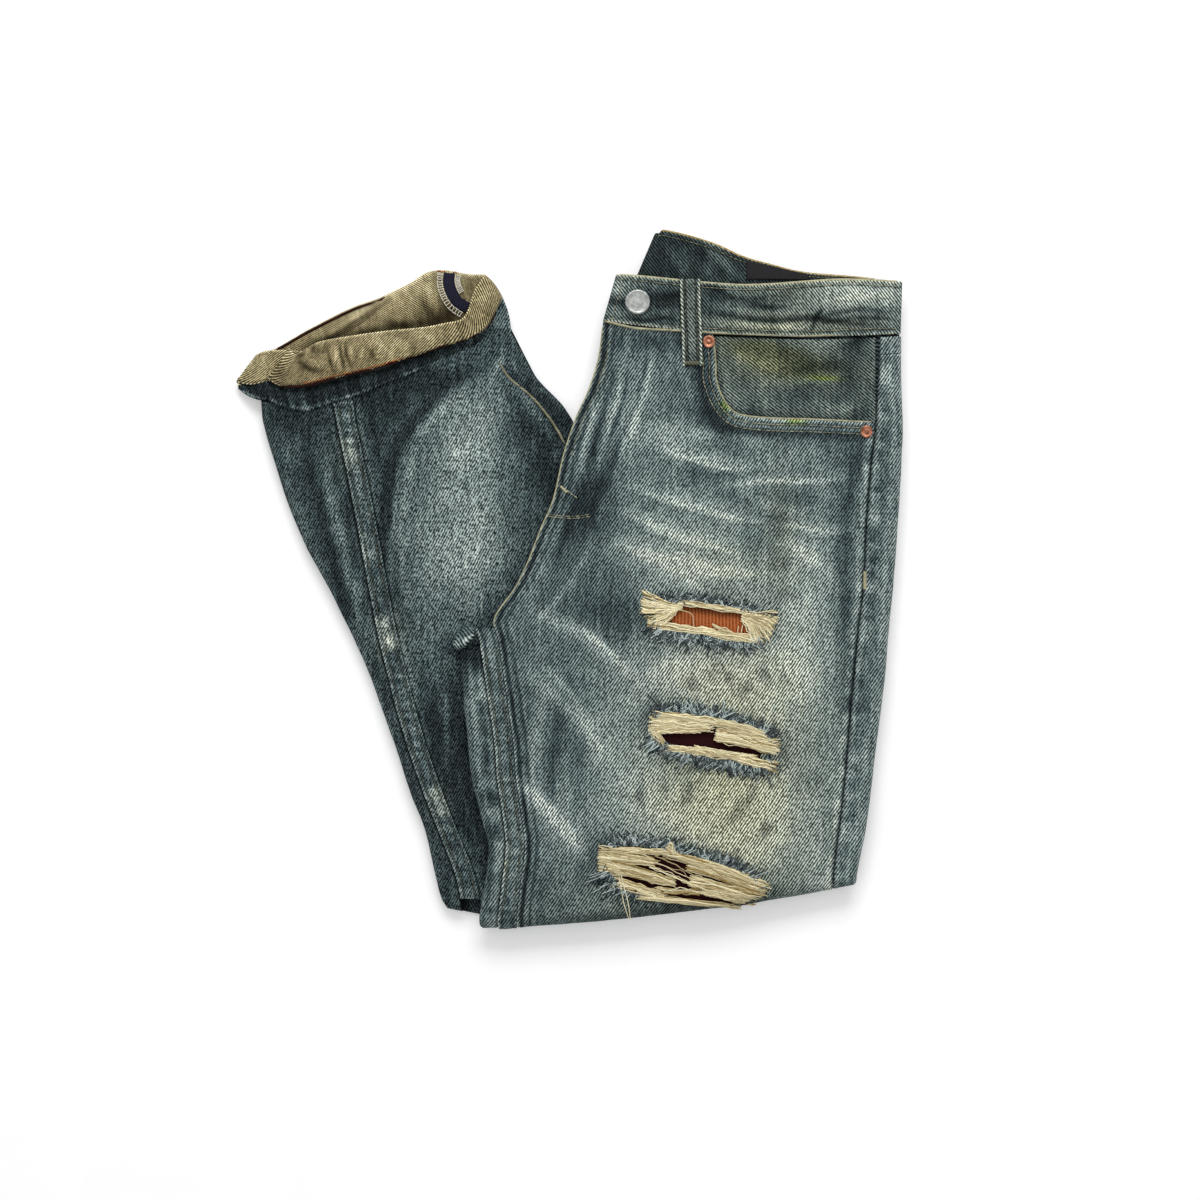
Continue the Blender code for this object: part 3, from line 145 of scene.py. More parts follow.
# End of the lower leg under the cuff: x, and y of its upper and its lower side.
HEM_ROWS = (
    (-217, 125, 128), (-200, 122.5, 132.8), (-179, 119.5, 137.4), (-165, 124, 141.8),
    (-147, 129.5, 148.5), (-130, 137, 154.8), (-107, 146, 163.2), (-97, 150, 165.8),
    (-86, 154.5, 168.2), (-68, 161.5, 171.5), (-54, 174, 176.5), (-43, 178, 180),
)

# Creases of the cuff's near wall and of its far wall, and shading of both, seen from above.
NEAR_STROKES = (
    (1.2, -0.9, ((-160.7, 167.7), (-159, 156), (-156.2, 144.5))),
    (1.2, -0.9, ((-157.2, 167), (-155, 156), (-151.8, 146))),
    (1.6, 0.7, ((-164.5, 167), (-162.5, 155), (-159.5, 144))),
    (1.6, 0.6, ((-153.5, 168), (-151.5, 157), (-148.5, 147))),
    (1.4, -0.6, ((-169.5, 164.7), (-167, 152), (-163.6, 141.5))),
    (2.4, 0.6, ((-190, 158), (-176, 150), (-166, 149))),
    (2.2, -0.8, ((-192, 154), (-182, 147), (-172, 145))),
    (2, -0.5, ((-146, 166), (-138, 158), (-134, 150))),
    (2, 0.5, ((-138, 168), (-128, 160), (-122, 152))),
    (2.2, -0.4, ((-122, 172), (-112, 166), (-106, 158))),
    (2.2, 0.4, ((-108, 174), (-98, 168), (-92, 160))),
    (2.6, -0.6, ((-186, 166), (-176, 160), (-168, 161))),
)
FAR_STROKES = (
    (1.5, -1, ((-178, 164), (-164, 173), (-150, 181.5), (-137, 190), (-124, 197))),
    (2.4, 0.7, ((-176, 168), (-162, 177), (-148, 186), (-130, 195))),
    (3, 0.5, ((-118, 204), (-108, 194), (-102, 182))),
    (3, -0.6, ((-112, 204), (-102, 192), (-97, 181))),
    (2.4, 0.4, ((-100, 208), (-96, 196), (-94, 186))),
    (2.4, -0.4, ((-140, 186), (-124, 180), (-110, 178))),
)
NEAR_SHADES = (
    (-204, 142, 8, 10, 30, -0.16), (-188, 157, 4, 2.4, -20, -0.4),
    (-172, 162, 10, 5, -20, 0.14), (-166, 144, 16, 5, -14, -0.06),
    (-120, 166, 30, 6, 8, 0.16), (-150, 150, 10, 6, 0, -0.06),
    (-70, 200, 5, 14, -20, -0.2), (-60, 196, 4, 16, -16, 0.14),
    (-80, 172, 12, 6, 10, 0.12), (-100, 160, 14, 4, 14, -0.06),
)
# A thin dark line just inside the far rim, taken off the shade.
FAR_RIM_DARK_LINE = (
    (1.1, 1, ((-176, 165), (-160, 173), (-150, 178.5), (-140, 185.7), (-132, 192))),
)
FAR_SHADES = (
    (-88, 186, 20, 9, 8, -0.5), (-116, 178, 26, 4, 4, -0.42),
    (-150, 172.5, 26, 3, 10, -0.36), (-180, 165, 14, 4, 26, -0.34),
    (-124, 198, 18, 9, 30, 0.16), (-100, 206, 10, 8, 0, 0.1),
    (-190, 170, 18, 4, 32, -0.1), (-150, 190, 14, 5, 30, 0.1),
    (-70, 206, 6, 8, 0, -0.12),
)
# Path of the cuff: its rim and its hem.
CUFF_ROWS = (
    (-194, 160, 12.2, -208, 140.5, 12),
    (-195.6, 160.8, 13.2, -210, 140, 13),
    (-190, 157.5, 15, -202, 135.5, 14.5),
    (-176, 165.5, 20, -185, 135, 17.5),
    (-152.3, 169.8, 25, -160, 141, 21),
    (-125, 173.3, 28, -132, 147.5, 25),
    (-101, 175.4, 30.5, -106, 156, 27),
    (-86.5, 178.2, 30.5, -86.5, 162.5, 27),
    (-75, 181, 29, -68.3, 168.6, 24),
    (-70, 189, 27, -56.5, 178.2, 18.5),
    (-66.5, 201, 24, -51, 190.5, 13),
    (-60.5, 211.5, 17, -48.5, 196, 7),
    (-62, 214, 10, -50, 190, 3.4),
    (-71, 214.5, 6.5, -61, 176, 1.4),
    (-88.6, 217.5, 5.5, -80, 172, 1.3),
    (-101, 215.5, 5, -93, 169, 1.3),
    (-112.4, 208.3, 4.5, -105, 165, 1.3),
    (-134.3, 198, 4, -124, 158, 1.3),
    (-154, 191, 3.6, -143, 151, 1.3),
    (-183.6, 176, 3.4, -171, 141.5, 1.3),
    (-205, 163.5, 3.4, -201, 135, 1.4),
    (-217, 158.5, 4.6, -228, 136, 3),
    (-218.5, 158, 6.6, -233.5, 138.5, 5.5),
    (-213, 160.5, 8.4, -223, 137, 8),
    (-201, 161, 9.3, -210, 139.5, 8.8),
    (-186, 160, 9.8, -198, 139.5, 9.3),
)

# Blue hem under the cuff: x, y of its top and of its lowest line, and height.
HEM_BAND_ROWS = (
    (-233, 138.5, 137, 4), (-226, 138, 132, 6.5), (-218, 138, 129, 9.5),
    (-212, 137.5, 128.5, 12), (-201, 134, 124, 14.3), (-184, 133, 121, 16.8),
    (-166, 137, 126, 19), (-147, 142, 131.5, 21.8), (-130, 145.5, 138.8, 23.6),
    (-108, 154.5, 147.2, 25.2), (-90, 160.2, 154.2, 25.6), (-71, 167, 161.8, 22.6),
)

# Waistbands: lower and upper edge.
FRONT_BAND_ROWS = (
    (23.5, 180.8, 32.6, 213.2), (36, 177.4, 41, 212.6), (49.4, 174.8, 52, 211.8),
    (77.4, 173.4, 78.8, 209), (99, 172, 100, 207), (120, 171.2, 120, 205.8),
    (141, 170.4, 141, 206.4), (165, 169.8, 162, 208), (187, 170.6, 186.6, 209.7),
    (209, 171.8, 209, 209.6), (228.7, 172, 230, 208.6),
)
BACK_BAND_ROWS = (
    (48.5, 208.5, 63, 242.5), (52, 206.8, 66.5, 244.3), (72, 201.5, 85.8, 239.8),
    (90, 197, 104, 233.8), (110, 193, 121.5, 225.8), (135, 190.5, 141, 220.2),
    (160, 190, 163.5, 214.8), (198, 190, 199, 211.8), (214, 190.5, 214, 210.2),
)

# Sections of the hidden layers above the waist seam: their ends, depth under the band and bow.
WAIST_CORE_ROWS = (
    (62.5, 236, 217, 206.5, 6.9, -7), (50, 212, 228, 203.5, 6.9, -2),
    (30.5, 202, 229.5, 197, 6.9, 0), (27.5, 186.5, 230, 184, 6.9, 0),
    (25.5, 182.5, 230, 181, 3.4, -1.5),
)

POCKET_CURVE = ((99.8, 176), (101.9, 151.6), (102.2, 139.7), (106.8, 127), (113, 118.5),
                (121, 114.5), (140, 112.4), (168, 111.7), (211, 109.8))

# Rips: middle, half length, half height and tilt.
RIPS = (
    (97, -29, 37, 9.5, -7),
    (100, -110.5, 41, 13, -12),
    (77.5, -207.5, 52, 16, -14),
)

# Threads left across the rips, in bundles: two ends, how far each is spread, the sag and how many.
RIP_STRANDS = (
    ((72, -15.8, 127, -23.6, 3.2, 3.2, 0.6, 30), (56, -31, 100, -36.6, 5, 4, -0.5, 34),
     (90, -35.4, 134, -42.6, 4, 4.5, -0.4, 34), (100, -31.8, 121, -42.4, 2, 3, 0, 12),
     (78, -19.3, 50.5, -17.5, 2.4, 20, 1.6, 60), (76, -20, 56, -31, 2.6, 10, 1.4, 34),
     (121, -25, 143, -34, 2.6, 20, 1.6, 60), (121, -27, 133, -44.5, 2.6, 9, 1, 34)),
    ((56.5, -99.5, 98, -102, 14, 7, 0.8, 76), (64, -93.5, 112, -101, 3, 4, 0.5, 40),
     (98, -98.5, 140, -109.5, 4.5, 5, 0.4, 50), (103, -108, 145, -117.5, 9, 13, 0.6, 90),
     (58, -105, 90, -106, 5, 1.5, 0, 26), (64, -117.5, 98, -121, 3.5, 4.5, 0.5, 48),
     (88, -119, 130, -125, 6, 5, -0.4, 56), (112, -123.5, 144.5, -131, 5, 7, 0, 40),
     (57, -104, 66, -116, 5, 5, 0, 20)),
    ((21, -193, 60, -197.5, 12, 5, 0.8, 60), (26, -188.5, 76, -191, 3.5, 4, 0.4, 40),
     (66, -191, 128, -209, 4, 4.5, 0.5, 56), (22, -199, 72, -211.5, 9, 6, 0.5, 76),
     (30, -210.5, 66, -222, 7, 5, 0.3, 50), (48, -221.5, 118, -229, 3.5, 3, 0.2, 36),
     (84, -198, 136, -216.5, 9, 10, 0.6, 84), (85, -211, 132, -222, 7, 8, 0.3, 60),
     (58, -198, 90, -212, 10, 8, 0.6, 6), (92, -218, 128, -227, 3, 5, 0.2, 30),
     (68, -184, 74, -192.5, 6, 4, 0, 22), (60, -216, 92, -219, 3, 3, 0, 16)),
)

# Curled end of the crossing seams: its path, and half its height across and up.
ROLL_PATH = ((-66.6, -37.5, 15.5), (-69, -38.5, 15.6), (-73.5, -41, 15.4), (-78, -43, 14.6),
             (-81.5, -44.5, 14))
ROLL_SIZES = ((3.4, 2.6), (5.6, 4.2), (7.8, 5), (6.4, 4.4), (2.2, 1.4))

# Seam tape inside the cuff, and the side of the turn-up past it: its low and its top line.
TAPE_HALF = 3.8
TAPE_LINE = ((-84.4, 215.2), (-84.9, 209), (-83.3, 202.7), (-79.2, 196), (-71.5, 190.6))
TURN_UP_ROWS = (
    (-43, 160, 6, -62, 163, 13), (-41.4, 168, 6.5, -66, 168, 14),
    (-41.2, 176, 7, -66, 176, 14), (-42.6, 186, 6.5, -62, 186, 11),
    (-45.6, 195, 5.5, -56, 193, 11), (-49.6, 203, 4.5, -58, 200, 8),
    (-55, 209.5, 3.5, -62, 205, 6),
)

# Radius and height of the turned metal pieces.
BUTTON_PROFILE = ((0.05, 0), (6.6, 0), (8.2, 0.5), (8.75, 1.3), (8.7, 1.9), (8.3, 2.4), (7.8, 2.65),
                  (7.3, 2.55), (6.9, 2.25), (6.4, 2.15), (4, 2.2), (2, 2.25), (1, 2.3), (0.05, 2.3))
RIVET_PROFILE = ((0.05, 0), (3.9, 0), (4.35, 0.4), (4.25, 0.9), (3.8, 1.1), (3.2, 1.05), (2.5, 0.75),
                 (1.9, 0.45), (1.5, 0.5), (1.4, 1.2), (1, 1.5), (0.05, 1.55))

# Topstitching at the fly: places, and the lowest and highest tone of the thread.
FLY_STITCHES = (
    (((-5.3, 64.8), (6, 56.4)), 0.8, 1),
    (((-15, 45.4), (2, 44), (16.5, 45.6)), 0.2, 1),
    (((-15, 44), (2, 42.6), (16.5, 44.2)), 0.2, 1),
    (((28, 168), (25.6, 154), (18.9, 132), (9.8, 112), (1, 86)), 0, 0.6),
)
# Bar tacks: middle, half length, half width, turn, and the tones of its threads by turns.
TACKS = (
    (85.6, 151, 4.8, 1.2, 0, 0, 0.35), (206.5, -0.5, 6, 1.1, 90, 0.5, 1),
    (-4, 63, 3, 0.8, -45, 0.7, 1),
)
LOOSE_ENDS = (
    ((75.9, -21), (85, -24), (86.5, -31), (87.9, -38.2)),
    ((118, -32.6), (116.8, -38), (114.5, -48)),
    ((120.8, -31.9), (119.6, -38), (117.3, -48)),
    ((33.2, -198.4), (35.5, -212), (38, -226), (41.7, -238)),
    ((34, -198.8), (37.5, -212), (41, -226), (42.6, -238)),
)
# Rolled worn edges: name, finish, mean tone and radius of each cord.
EDGE_ROLLS = (
    ("pocket_edge_roll", "stitch", 0.62, 0.27), ("rise_edge_roll", "stitch", 0.8, 0.27),
    ("waist_edge_bead", "stitch", 0.85, 0.27), ("back_edge_bead", "cream", 0.1, 0.27),
    ("waist_seam_bead", "stitch", 0.75, 0.27), ("leg_outseam_roll", "stitch", 0.4, 0.27),
    ("cuff_hem_roll", "rust_stitch", -0.4, 0.45), ("cuff_rim_roll", "rust_stitch", -0.6, 0.45),
)

# ---------------------------------------------------------------- relief of the cloth
# Profiles across an edge: height, distance and width of each bell.
POCKET_RELIEF = ((0.55, 2, 1.8), (-0.45, 4.2, 0.9), (0.3, 6.2, 1.4), (-0.45, 8.6, 0.9))
# Ridges: a line from one point to another, how far it spreads, and its height.
PILE_FOLDS = (
    (60, 160, 18, 70, 9, 0.9), (0, -38, 38, -63, 9, 1.2),
    (-20, -62, 2, -90, 8, 1), (-37, -141, 7, -192, 9, 1.2),
    (189, 60, 172, -185, 9, -0.9), (150, 60, 60, 40, 9, 0.7),
)
LEG_FOLDS = (
    (-182, 104, -146, -18, 8, -1.4), (-206, 98, -176, 20, 7, 1.2),
    (-90, -78, -87, -150, 6, 1), (-60, 150, -20, 96, 9, 1.6),
    (-66, 146, -52, 60, 12, -1.6),
)
FRONT_CREASES = (
    (76, 86, 108, 78.5, 2.6, 0.55), (108, 78.5, 133, 78, 2.2, 0.3),
    (53, 60.5, 109, 44.5, 3, 0.6), (109, 44.5, 142, 38, 2.6, 0.35),
    (43, 44, 96, 29.5, 2.8, 0.45), (38, 22, 96, 8, 3.2, 0.5),
    (96, 8, 142, 6, 3, 0.35), (98, 64, 129, 68, 2.2, 0.4),
    (129, 68, 156, 70.5, 2.2, 0.35), (150, 52, 194, 44, 2.6, 0.4),
    (146, 28, 192, 18, 2.8, 0.4), (160, 88, 196, 84, 2.6, 0.35),
    (0, -38, 38, -63, 3, 0.5), (-20, -62, 4, -90, 3, 0.55),
    (-37, -141, 7, -192, 3.2, 0.6), (10, -20, 44, -36, 3, 0.35),
    (-34, -100, -14, -128, 3, 0.4), (46, 150, 30, 108, 3, 0.7),
    (30, 108, 14, 66, 3, 0.6), (62, 164, 44, 112, 3, -0.6),
    (26, 160, 14, 118, 2.4, 0.5), (60, 120, 52, 70, 5, 0.6),
    (92, 150, 96, 118, 3.5, -0.6), (96, 118, 112, 100, 4, -0.5),
    (112, 100, 160, 92, 4, -0.35),
)
LEG_CREASES = (
    (-190, 112, -172, 60, 3, 0.6), (-172, 60, -150, 0, 3, 0.5),
    (-150, 0, -128, -60, 3, 0.4), (-204, 70, -182, 24, 3, -0.5),
    (-112, 108, -122, 70, 4, 0.8), (-122, 70, -127, 10, 4, 0.6),
    (-60, 90, -50, 20, 6, 0.5), (-100, -10, -80, -70, 5, 0.5),
    (-86, -78, -84, -150, 2.6, 0.9), (-94, -100, -80, -180, 3, -0.5),
    (-40, 140, -22, 112, 3, 0.7), (-76, 130, -66, 84, 5, -0.5),
)
LEG_OUTSEAM = ((-49.5, 152.5), (-42, 141), (-26.3, 127.8), (-15, 114.5), (-8, 104), (-3, 94))
STRIP_CREASES = (
    (-72, -60, -66, -120, 2.6, 0.5), (-66, -120, -58, -170, 2.6, 0.4),
    (218, 150, 226, 120, 2.4, 0.5), (222, 90, 218, 40, 2.4, -0.4),
    (216, 20, 220, -40, 2.6, 0.5), (210, -70, 208, -130, 2.6, -0.4),
)
BAND_STROKES = (
    (2, -0.9, ((94.2, 186.6), (120.8, 182.4), (141.8, 180.3), (168.4, 182.4), (195, 178.9), (232, 177.5))),
    (1.5, -1.2, ((169, 170.5), (171.9, 182.4), (177.5, 190))),
    (1.8, -0.8, ((172, 182.8), (189.4, 186.6), (205.5, 188.7), (222.9, 187.3))),
    (1.6, -0.7, ((174.1, 178.9), (195, 182.4), (218.8, 182.4), (235.5, 180.3))),
    (2.4, 0.7, ((90.2, 179.9), (141.8, 176.1), (168.6, 176.1))),
    (2, 0.6, ((93.6, 192.5), (120.8, 187.3), (141.8, 185.9), (166.9, 188))),
    (3, -0.5, ((90.4, 199.5), (119.4, 195.7), (158.4, 197.8))),
    (3, 0.5, ((178.4, 193.3), (203.4, 197.8), (235.4, 198.5))),
    (1.6, -0.7, ((33.4, 185.5), (49.4, 181), (66.9, 182.4), (78, 179.3))),
    (1.8, 0.5, ((27.8, 181.3), (49.4, 176.8), (76.6, 176.1))),
    (2.6, -1.2, ((54.8, 195.7), (67.6, 196.4), (79.8, 198.8))),
    (3, -0.8, ((26.4, 195.7), (34, 193.6), (41.6, 193.6))),
    (2, -0.6, ((92.6, 206), (104.3, 201.5), (114.3, 196.5))),
    (1.8, -0.6, ((122, 194), (136, 190.5), (152, 190))),
    (1.8, 0.5, ((60, 188), (68, 187), (78, 190))),
)
BACK_BAND_CREASES = (
    (66, 236, 84, 208, 4, 0.5), (86, 234, 110, 210, 4, -0.5),
    (104, 226, 124, 206, 3, 0.4),
)
FACING_CREASES = (
    (110, 158, 150, 146, 5, 0.5), (150, 146, 196, 150, 4, -0.5),
    (120, 136, 190, 140, 3, 0.5), (130, 126, 200, 128, 5, -0.4),
    (188, 160, 210, 172, 3, -0.6), (176, 118, 208, 122, 3, 0.4),
)

# ---------------------------------------------------------------- fading, soiling, stains, and painted light and shade
# Profiles across an edge: amount, distance and width of each bell.
POCKET_FADES = ((0.26, 1.4, 1.4), (-0.26, 4.2, 1), (0.13, 6.3, 1.2), (-0.26, 8.6, 1.1), (-0.2, 11, 2.6))
FLY_FADES = ((0.3, 0, 1.2), (-0.42, 3.2, 1.5), (0.16, 6, 1.4), (-0.24, 8.6, 1.4), (0.14, 11.2, 1.6))
# Soft patches: middle, radii and tilt of an oval, and how much it adds.
# Among the front's patches, the long dark one along the knee's fold, at y -238, is painted shade where the
# cloth turns down.
FRONT_FADES_AND_SHADE = (
    (128, -108, 52, 116, 4, 0.44), (100, -178, 66, 46, -10, 0.24),
    (162, -38, 26, 60, 0, 0.26), (76, 8, 44, 24, -12, 0.18),
    (40, -96, 34, 60, 0, 0.3), (40, -160, 30, 30, 0, 0.1),
    (30, -28, 20, 20, 0, -0.3), (186, -210, 30, 24, 0, 0.24),
    (8, -6, 16, 22, 20, -0.12), (86, -68, 30, 14, -8, 0.42),
    (96, -160, 44, 22, -8, 0.26), (86, 46, 40, 30, -10, 0.07),
    (36, -10, 18, 28, 10, -0.1), (6, 46, 9, 22, -30, -0.16),
    (-6, -176, 20, 30, 0, 0.14), (120, -168, 44, 24, 0, 0.2),
    (130, -74, 38, 18, 0, 0.14),
    (196, -70, 6, 90, 4, -0.24), (8, 68, 11, 30, -24, -0.22),
    (22, 40, 18, 10, 10, -0.16), (42, 116, 14, 26, -14, 0.18),
    (66, 166, 60, 7, 0, -0.24), (98, 140, 7, 26, 0, -0.26),
    (106, 106, 16, 8, -40, -0.24), (146, 100, 60, 6, 0, -0.1),
    (100, 92, 26, 5, -12, -0.16), (100, 72, 34, 7, -8, -0.16),
    (118, 56, 20, 5, -6, -0.18), (160, 54, 18, 7, 0, -0.16),
    (128, 24, 22, 6, -4, -0.14), (70, 100, 30, 12, -10, 0.14),
    (150, 82, 30, 8, 0, 0.06), (60, -238, 100, 8, 6, -0.2),
    (2, -112, 10, 60, 8, -0.12), (-30, -120, 7, 90, 4, -0.16),
    (97, -29, 45, 16, -7, -0.3), (100, -110.5, 49, 20, -12, -0.34),
    (77.5, -205, 60, 23, -14, -0.34), (2, 30, 12, 44, -24, -0.16),
    (60, 136, 24, 14, 0, 0.08),
)
FRONT_SOIL = (
    (118, -120, 58, 112, 4, 0.7), (90, -160, 50, 60, 0, 0.35),
    (110, 12, 50, 12, -8, 0.2), (148, 40, 12, 40, 0, 0.35),
    (60, -225, 80, 22, 6, 0.4), (20, 160, 6, 20, 0, 0.4),
)
# Rubbed lines: how wide, how much they fade the cloth, and the places each runs through.
FRONT_STROKES = (
    (1.7, 0.46, ((60, 94), (73.9, 87.2), (86.7, 83.7), (98.4, 79.5), (114.6, 77.1), (134, 79.5))),
    (4.5, 0.16, ((56, 104), (78, 92), (104, 83), (130, 82))),
    (5, 0.18, ((52, 112), (70.4, 104.7), (105.4, 98.7), (150, 96))),
    (1.9, 0.36, ((96, 64), (124, 67.3), (142.7, 68.5), (170.7, 68.5), (196, 71))),
    (4, 0.12, ((92, 66), (124, 70), (170, 71), (200, 72))),
    (2, 0.44, ((44, 65.5), (61, 58), (75, 53.3), (91.4, 48.7), (117, 42), (138, 40))),
    (5, 0.16, ((40, 70), (61, 62), (91.4, 53), (130, 45))),
    (2.4, 0.4, ((33, 49.5), (54, 39.4), (75, 30), (96, 24), (122, 17))),
    (5.5, 0.16, ((30, 52), (54, 43), (90, 30), (130, 22))),
    (2.6, 0.44, ((28, 26), (54, 16), (70.4, 11.4), (91.4, 6.7), (117, 4.4), (140, 3))),
    (6, 0.18, ((24, 30), (54, 19), (91.4, 9), (140, 6))),
    (2.6, 0.28, ((64, 13), (78, 5), (88, -4), (100, -11))),
    (3.4, 0.26, ((116, 64), (130, 56), (146, 50.5), (176, 48.5))),
    (3, 0.3, ((134, 35), (156.7, 37), (180, 33.5), (200, 36))),
    (5, 0.26, ((134, 32), (156.7, 23), (175.4, 9), (193, -11))),
    (2.4, 0.26, ((59, 164), (57.5, 153.6), (52.9, 130.6), (45.9, 111.7), (39, 88))),
    (2.4, 0.26, ((42.8, 172), (35.4, 135), (24.2, 92), (16.7, 62))),
    (2, 0.24, ((52, 146), (48.4, 130), (35.4, 88.5), (24.2, 55), (16.7, 32.4))),
    (2.8, 0.26, ((27.8, 170), (16.6, 120), (9.2, 81), (4, 68))),
    (1.8, -0.26, ((35.4, 170), (28, 133), (16.7, 92), (11, 76))),
    (2.2, -0.26, ((42.8, 124), (31.6, 80), (22.2, 50))),
    (2.4, 0.2, ((20, 30), (4, 4), (-14, -20), (-30, -34))),
    (2.4, -0.22, ((8, 60), (1, 44), (-3, 30), (-14, 4))),
    (1.5, -0.4, ((55.5, 158), (51, 139.6), (43.5, 114), (36, 92))),
    (1.6, -0.36, ((41, 160), (37.6, 125.7), (28.4, 100), (22, 80))),
    (1.8, -0.26, ((26, 164), (23.6, 150), (14.4, 121), (6, 94))),
    (5, -0.14, ((38, 94), (21.4, 69.7), (16.6, 46.4), (20, 20))),
    (5, 0.3, ((-32, -19), (-8, -30), (14, -42), (40, -72))),
    (2.4, 0.34, ((6, -33), (24, -46), (44, -68))),
    (5, 0.3, ((-34, -62), (-9.5, -82), (16, -110), (26, -130))),
    (2.4, 0.3, ((-22, -56), (-2, -76), (18, -104))),
    (6, 0.34, ((-48, -134), (-20.7, -156), (4, -184), (10, -200))),
    (2.4, 0.3, ((-40, -137), (-16, -158), (8, -188))),
    (4, 0.18, ((-10, -56), (-22, -96), (-27, -140), (-26, -190))),
    (4.5, -0.2, ((2, -60), (-8, -100), (-12, -140), (-6, -176))),
    (4, -0.16, ((92, 150), (93, 124), (104, 106), (140, 102))),
    (6, -0.24, ((204, 98), (196, 70), (192, 20), (190, -30))),
)
# Grey-brown smudges of worn-in dirt.
FRONT_STAINS = (
    (85, -72.5, 5, 8, 20, 0.36), (100, -66, 4, 9, -24, 0.26),
    (112, -70, 4, 10, 26, 0.3), (124, -76, 4, 9, -30, 0.28),
    (136, -66, 4, 9, 24, 0.24), (150, -70, 4, 8, 20, 0.24),
    (49, -151, 4, 9, 10, 0.22), (83, -151, 5, 9, -14, 0.32),
    (66, -146, 4, 8, 10, 0.2), (118, -162, 5, 13, -38, 0.36),
    (137, -175, 5, 9, -30, 0.34), (128, -150, 4, 7, -30, 0.22),
    (146, 40, 9, 16, 0, 0.22), (146, 12, 9, 10, 0, 0.2),
    (146, -10, 12, 9, 0, 0.16),
)
# Lower leg patches, mostly painted light and shade: a broad bright patch where its bulge faces the light,
# painted shadow along the pile's edge and just below the cuff, and a few smaller lighter and darker spots.
LEG_LIGHT_SHADE_AND_FADES = (
    (-78, 36, 40, 74, -6, 0.56), (-76, 104, 24, 36, 14, 0.34),
    (-60, 30, 26, 50, 0, 0.12), (-60, 132, 16, 24, 20, 0.24),
    (-18, 84, 20, 44, 30, -0.1), (-140, 60, 8, 70, -14, -0.05),
    (-84, -120, 14, 60, 16, -0.1), (-92, 138, 30, 8, 12, -0.24),
    (-186, 60, 12, 60, -20, -0.04), (-112, -60, 14, 36, 14, 0.1),
    (-57.6, 97.6, 9, 6, 10, 0.1), (-9, 87, 8, 6, 30, 0.16),
    (-48, -30, 14, 40, -20, -0.14), (-200, 110, 14, 8, 0, -0.1),
)
LEG_SOIL = (
    (-155, 92, 8, 16, -12, 0.6),
    (-126, -42, 8, 20, -16, 0.6), (-90, -158, 8, 16, -20, 0.5),
)
# Lines on the lower leg: painted light along the ridge of its bulge and painted shade in the valley beside
# it, and paler and darker lines along its seams and folds.
LEG_LIGHT_AND_SHADE_STROKES = (
    (4, 0.22, ((-50, 152), (-74, 132), (-95, 112), (-108, 89), (-113, 61),
                 (-118, 27.7), (-115, -2), (-110, -30))),
    (1.7, 0.2, ((-92, 118), (-115.6, 88.3), (-122.2, 49), (-125.4, 18.6), (-124.3, -7.6))),
    (5, -0.34, ((-62, 152), (-86, 132), (-107, 112), (-121, 89), (-127, 61),
                  (-132, 27.7), (-129, -2), (-124, -30))),
    (5, 0.2, ((-202.8, 114.5), (-194, 62), (-174.4, 5.5), (-159.3, -33.7))),
    (3, -0.3, ((-184, 110), (-178, 68.3), (-170, 35.4), (-161, -3.2), (-150, -40))),
    (6, 0.34, ((-176, 110), (-168.5, 68.3), (-159, 23.5), (-147, -23), (-136, -60))),
    (3, 0.16, ((-160, -10), (-146, -50), (-132, -90), (-116, -140))),
    (2.2, 0.24, ((-87, -78), (-86, -110), (-85, -150))),
    (3.4, -0.18, ((-94, -70), (-95, -110), (-94, -165))),
    (2.2, -0.34, ((-46, 150), (-23.4, 128), (-12, 114.5), (-1, 96))),
    (3, 0.22, ((-52, 148), (-31, 124), (-19, 110), (-8, 92))),
    (2.4, 0.28, ((-41, 167), (-48.7, 153.7), (-52.4, 144.6), (-56, 130))),
    (4, 0.2, ((-42, 158), (-32, 134), (-20, 112))),
    (5, 0.08, ((-60, 150), (-48, 126), (-34, 104))),
    (5, 0.12, ((-106, 40), (-100, -10), (-92, -60), (-84, -120))),
)
FELL_RUBS = (
    (-158, 104, -150, 74, 6, 0.34), (-135, -22, -122, -54, 6, 0.36),
    (-98, -142, -84, -170, 6, 0.34), (-146, 40, -140, 10, 4, 0.16),
    (-60, -74, -56, -118, 2.4, 0.4), (-52, -166, -44, -210, 2.4, 0.4),
    (-58, -120, -50, -160, 3, 0.2),
)
BAND_FADES = (
    (62, 192, 26, 12, 0, -0.34), (34, 204, 9, 7, 0, 0.2),
    (96, 196, 16, 14, 0, -0.22), (36, 182, 14, 5, 0, 0.12),
    (196, 200, 36, 14, 0, 0.28), (224, 190, 8, 20, 0, 0.16),
    (70, 195, 13, 5, 0, -0.3), (130, 188, 30, 4, 0, -0.2),
    (140, 177, 36, 5, 0, 0.1), (222, 187, 10, 3, 10, -0.3),
)
BAND_SOIL = (
    (140, 178, 44, 8, 0, 0.7), (150, 198, 30, 10, 0, 0.4),
    (196, 178, 24, 5, 0, 0.4),
)
BACK_FADES = (
    (102, 222, 14, 14, -20, 0.4), (80, 226, 12, 16, 0, 0.06),
    (186, 208, 20, 8, 0, 0.1),
)
FACING_FADES = (
    (124, 158, 20, 8, -8, 0.06), (112, 136, 8, 14, 0, 0.1),
    (150, 124, 36, 7, 0, 0.06), (168, 154, 22, 7, -10, -0.16),
    (198, 140, 13, 32, 0, -0.3), (150, 136, 60, 4, 0, -0.1),
    (130, 117, 16, 4, 0, -0.18), (204, 116, 8, 8, 0, -0.14),
    (160, 168, 50, 4, 0, 0.04), (200, 164, 10, 5, 20, -0.16),
)
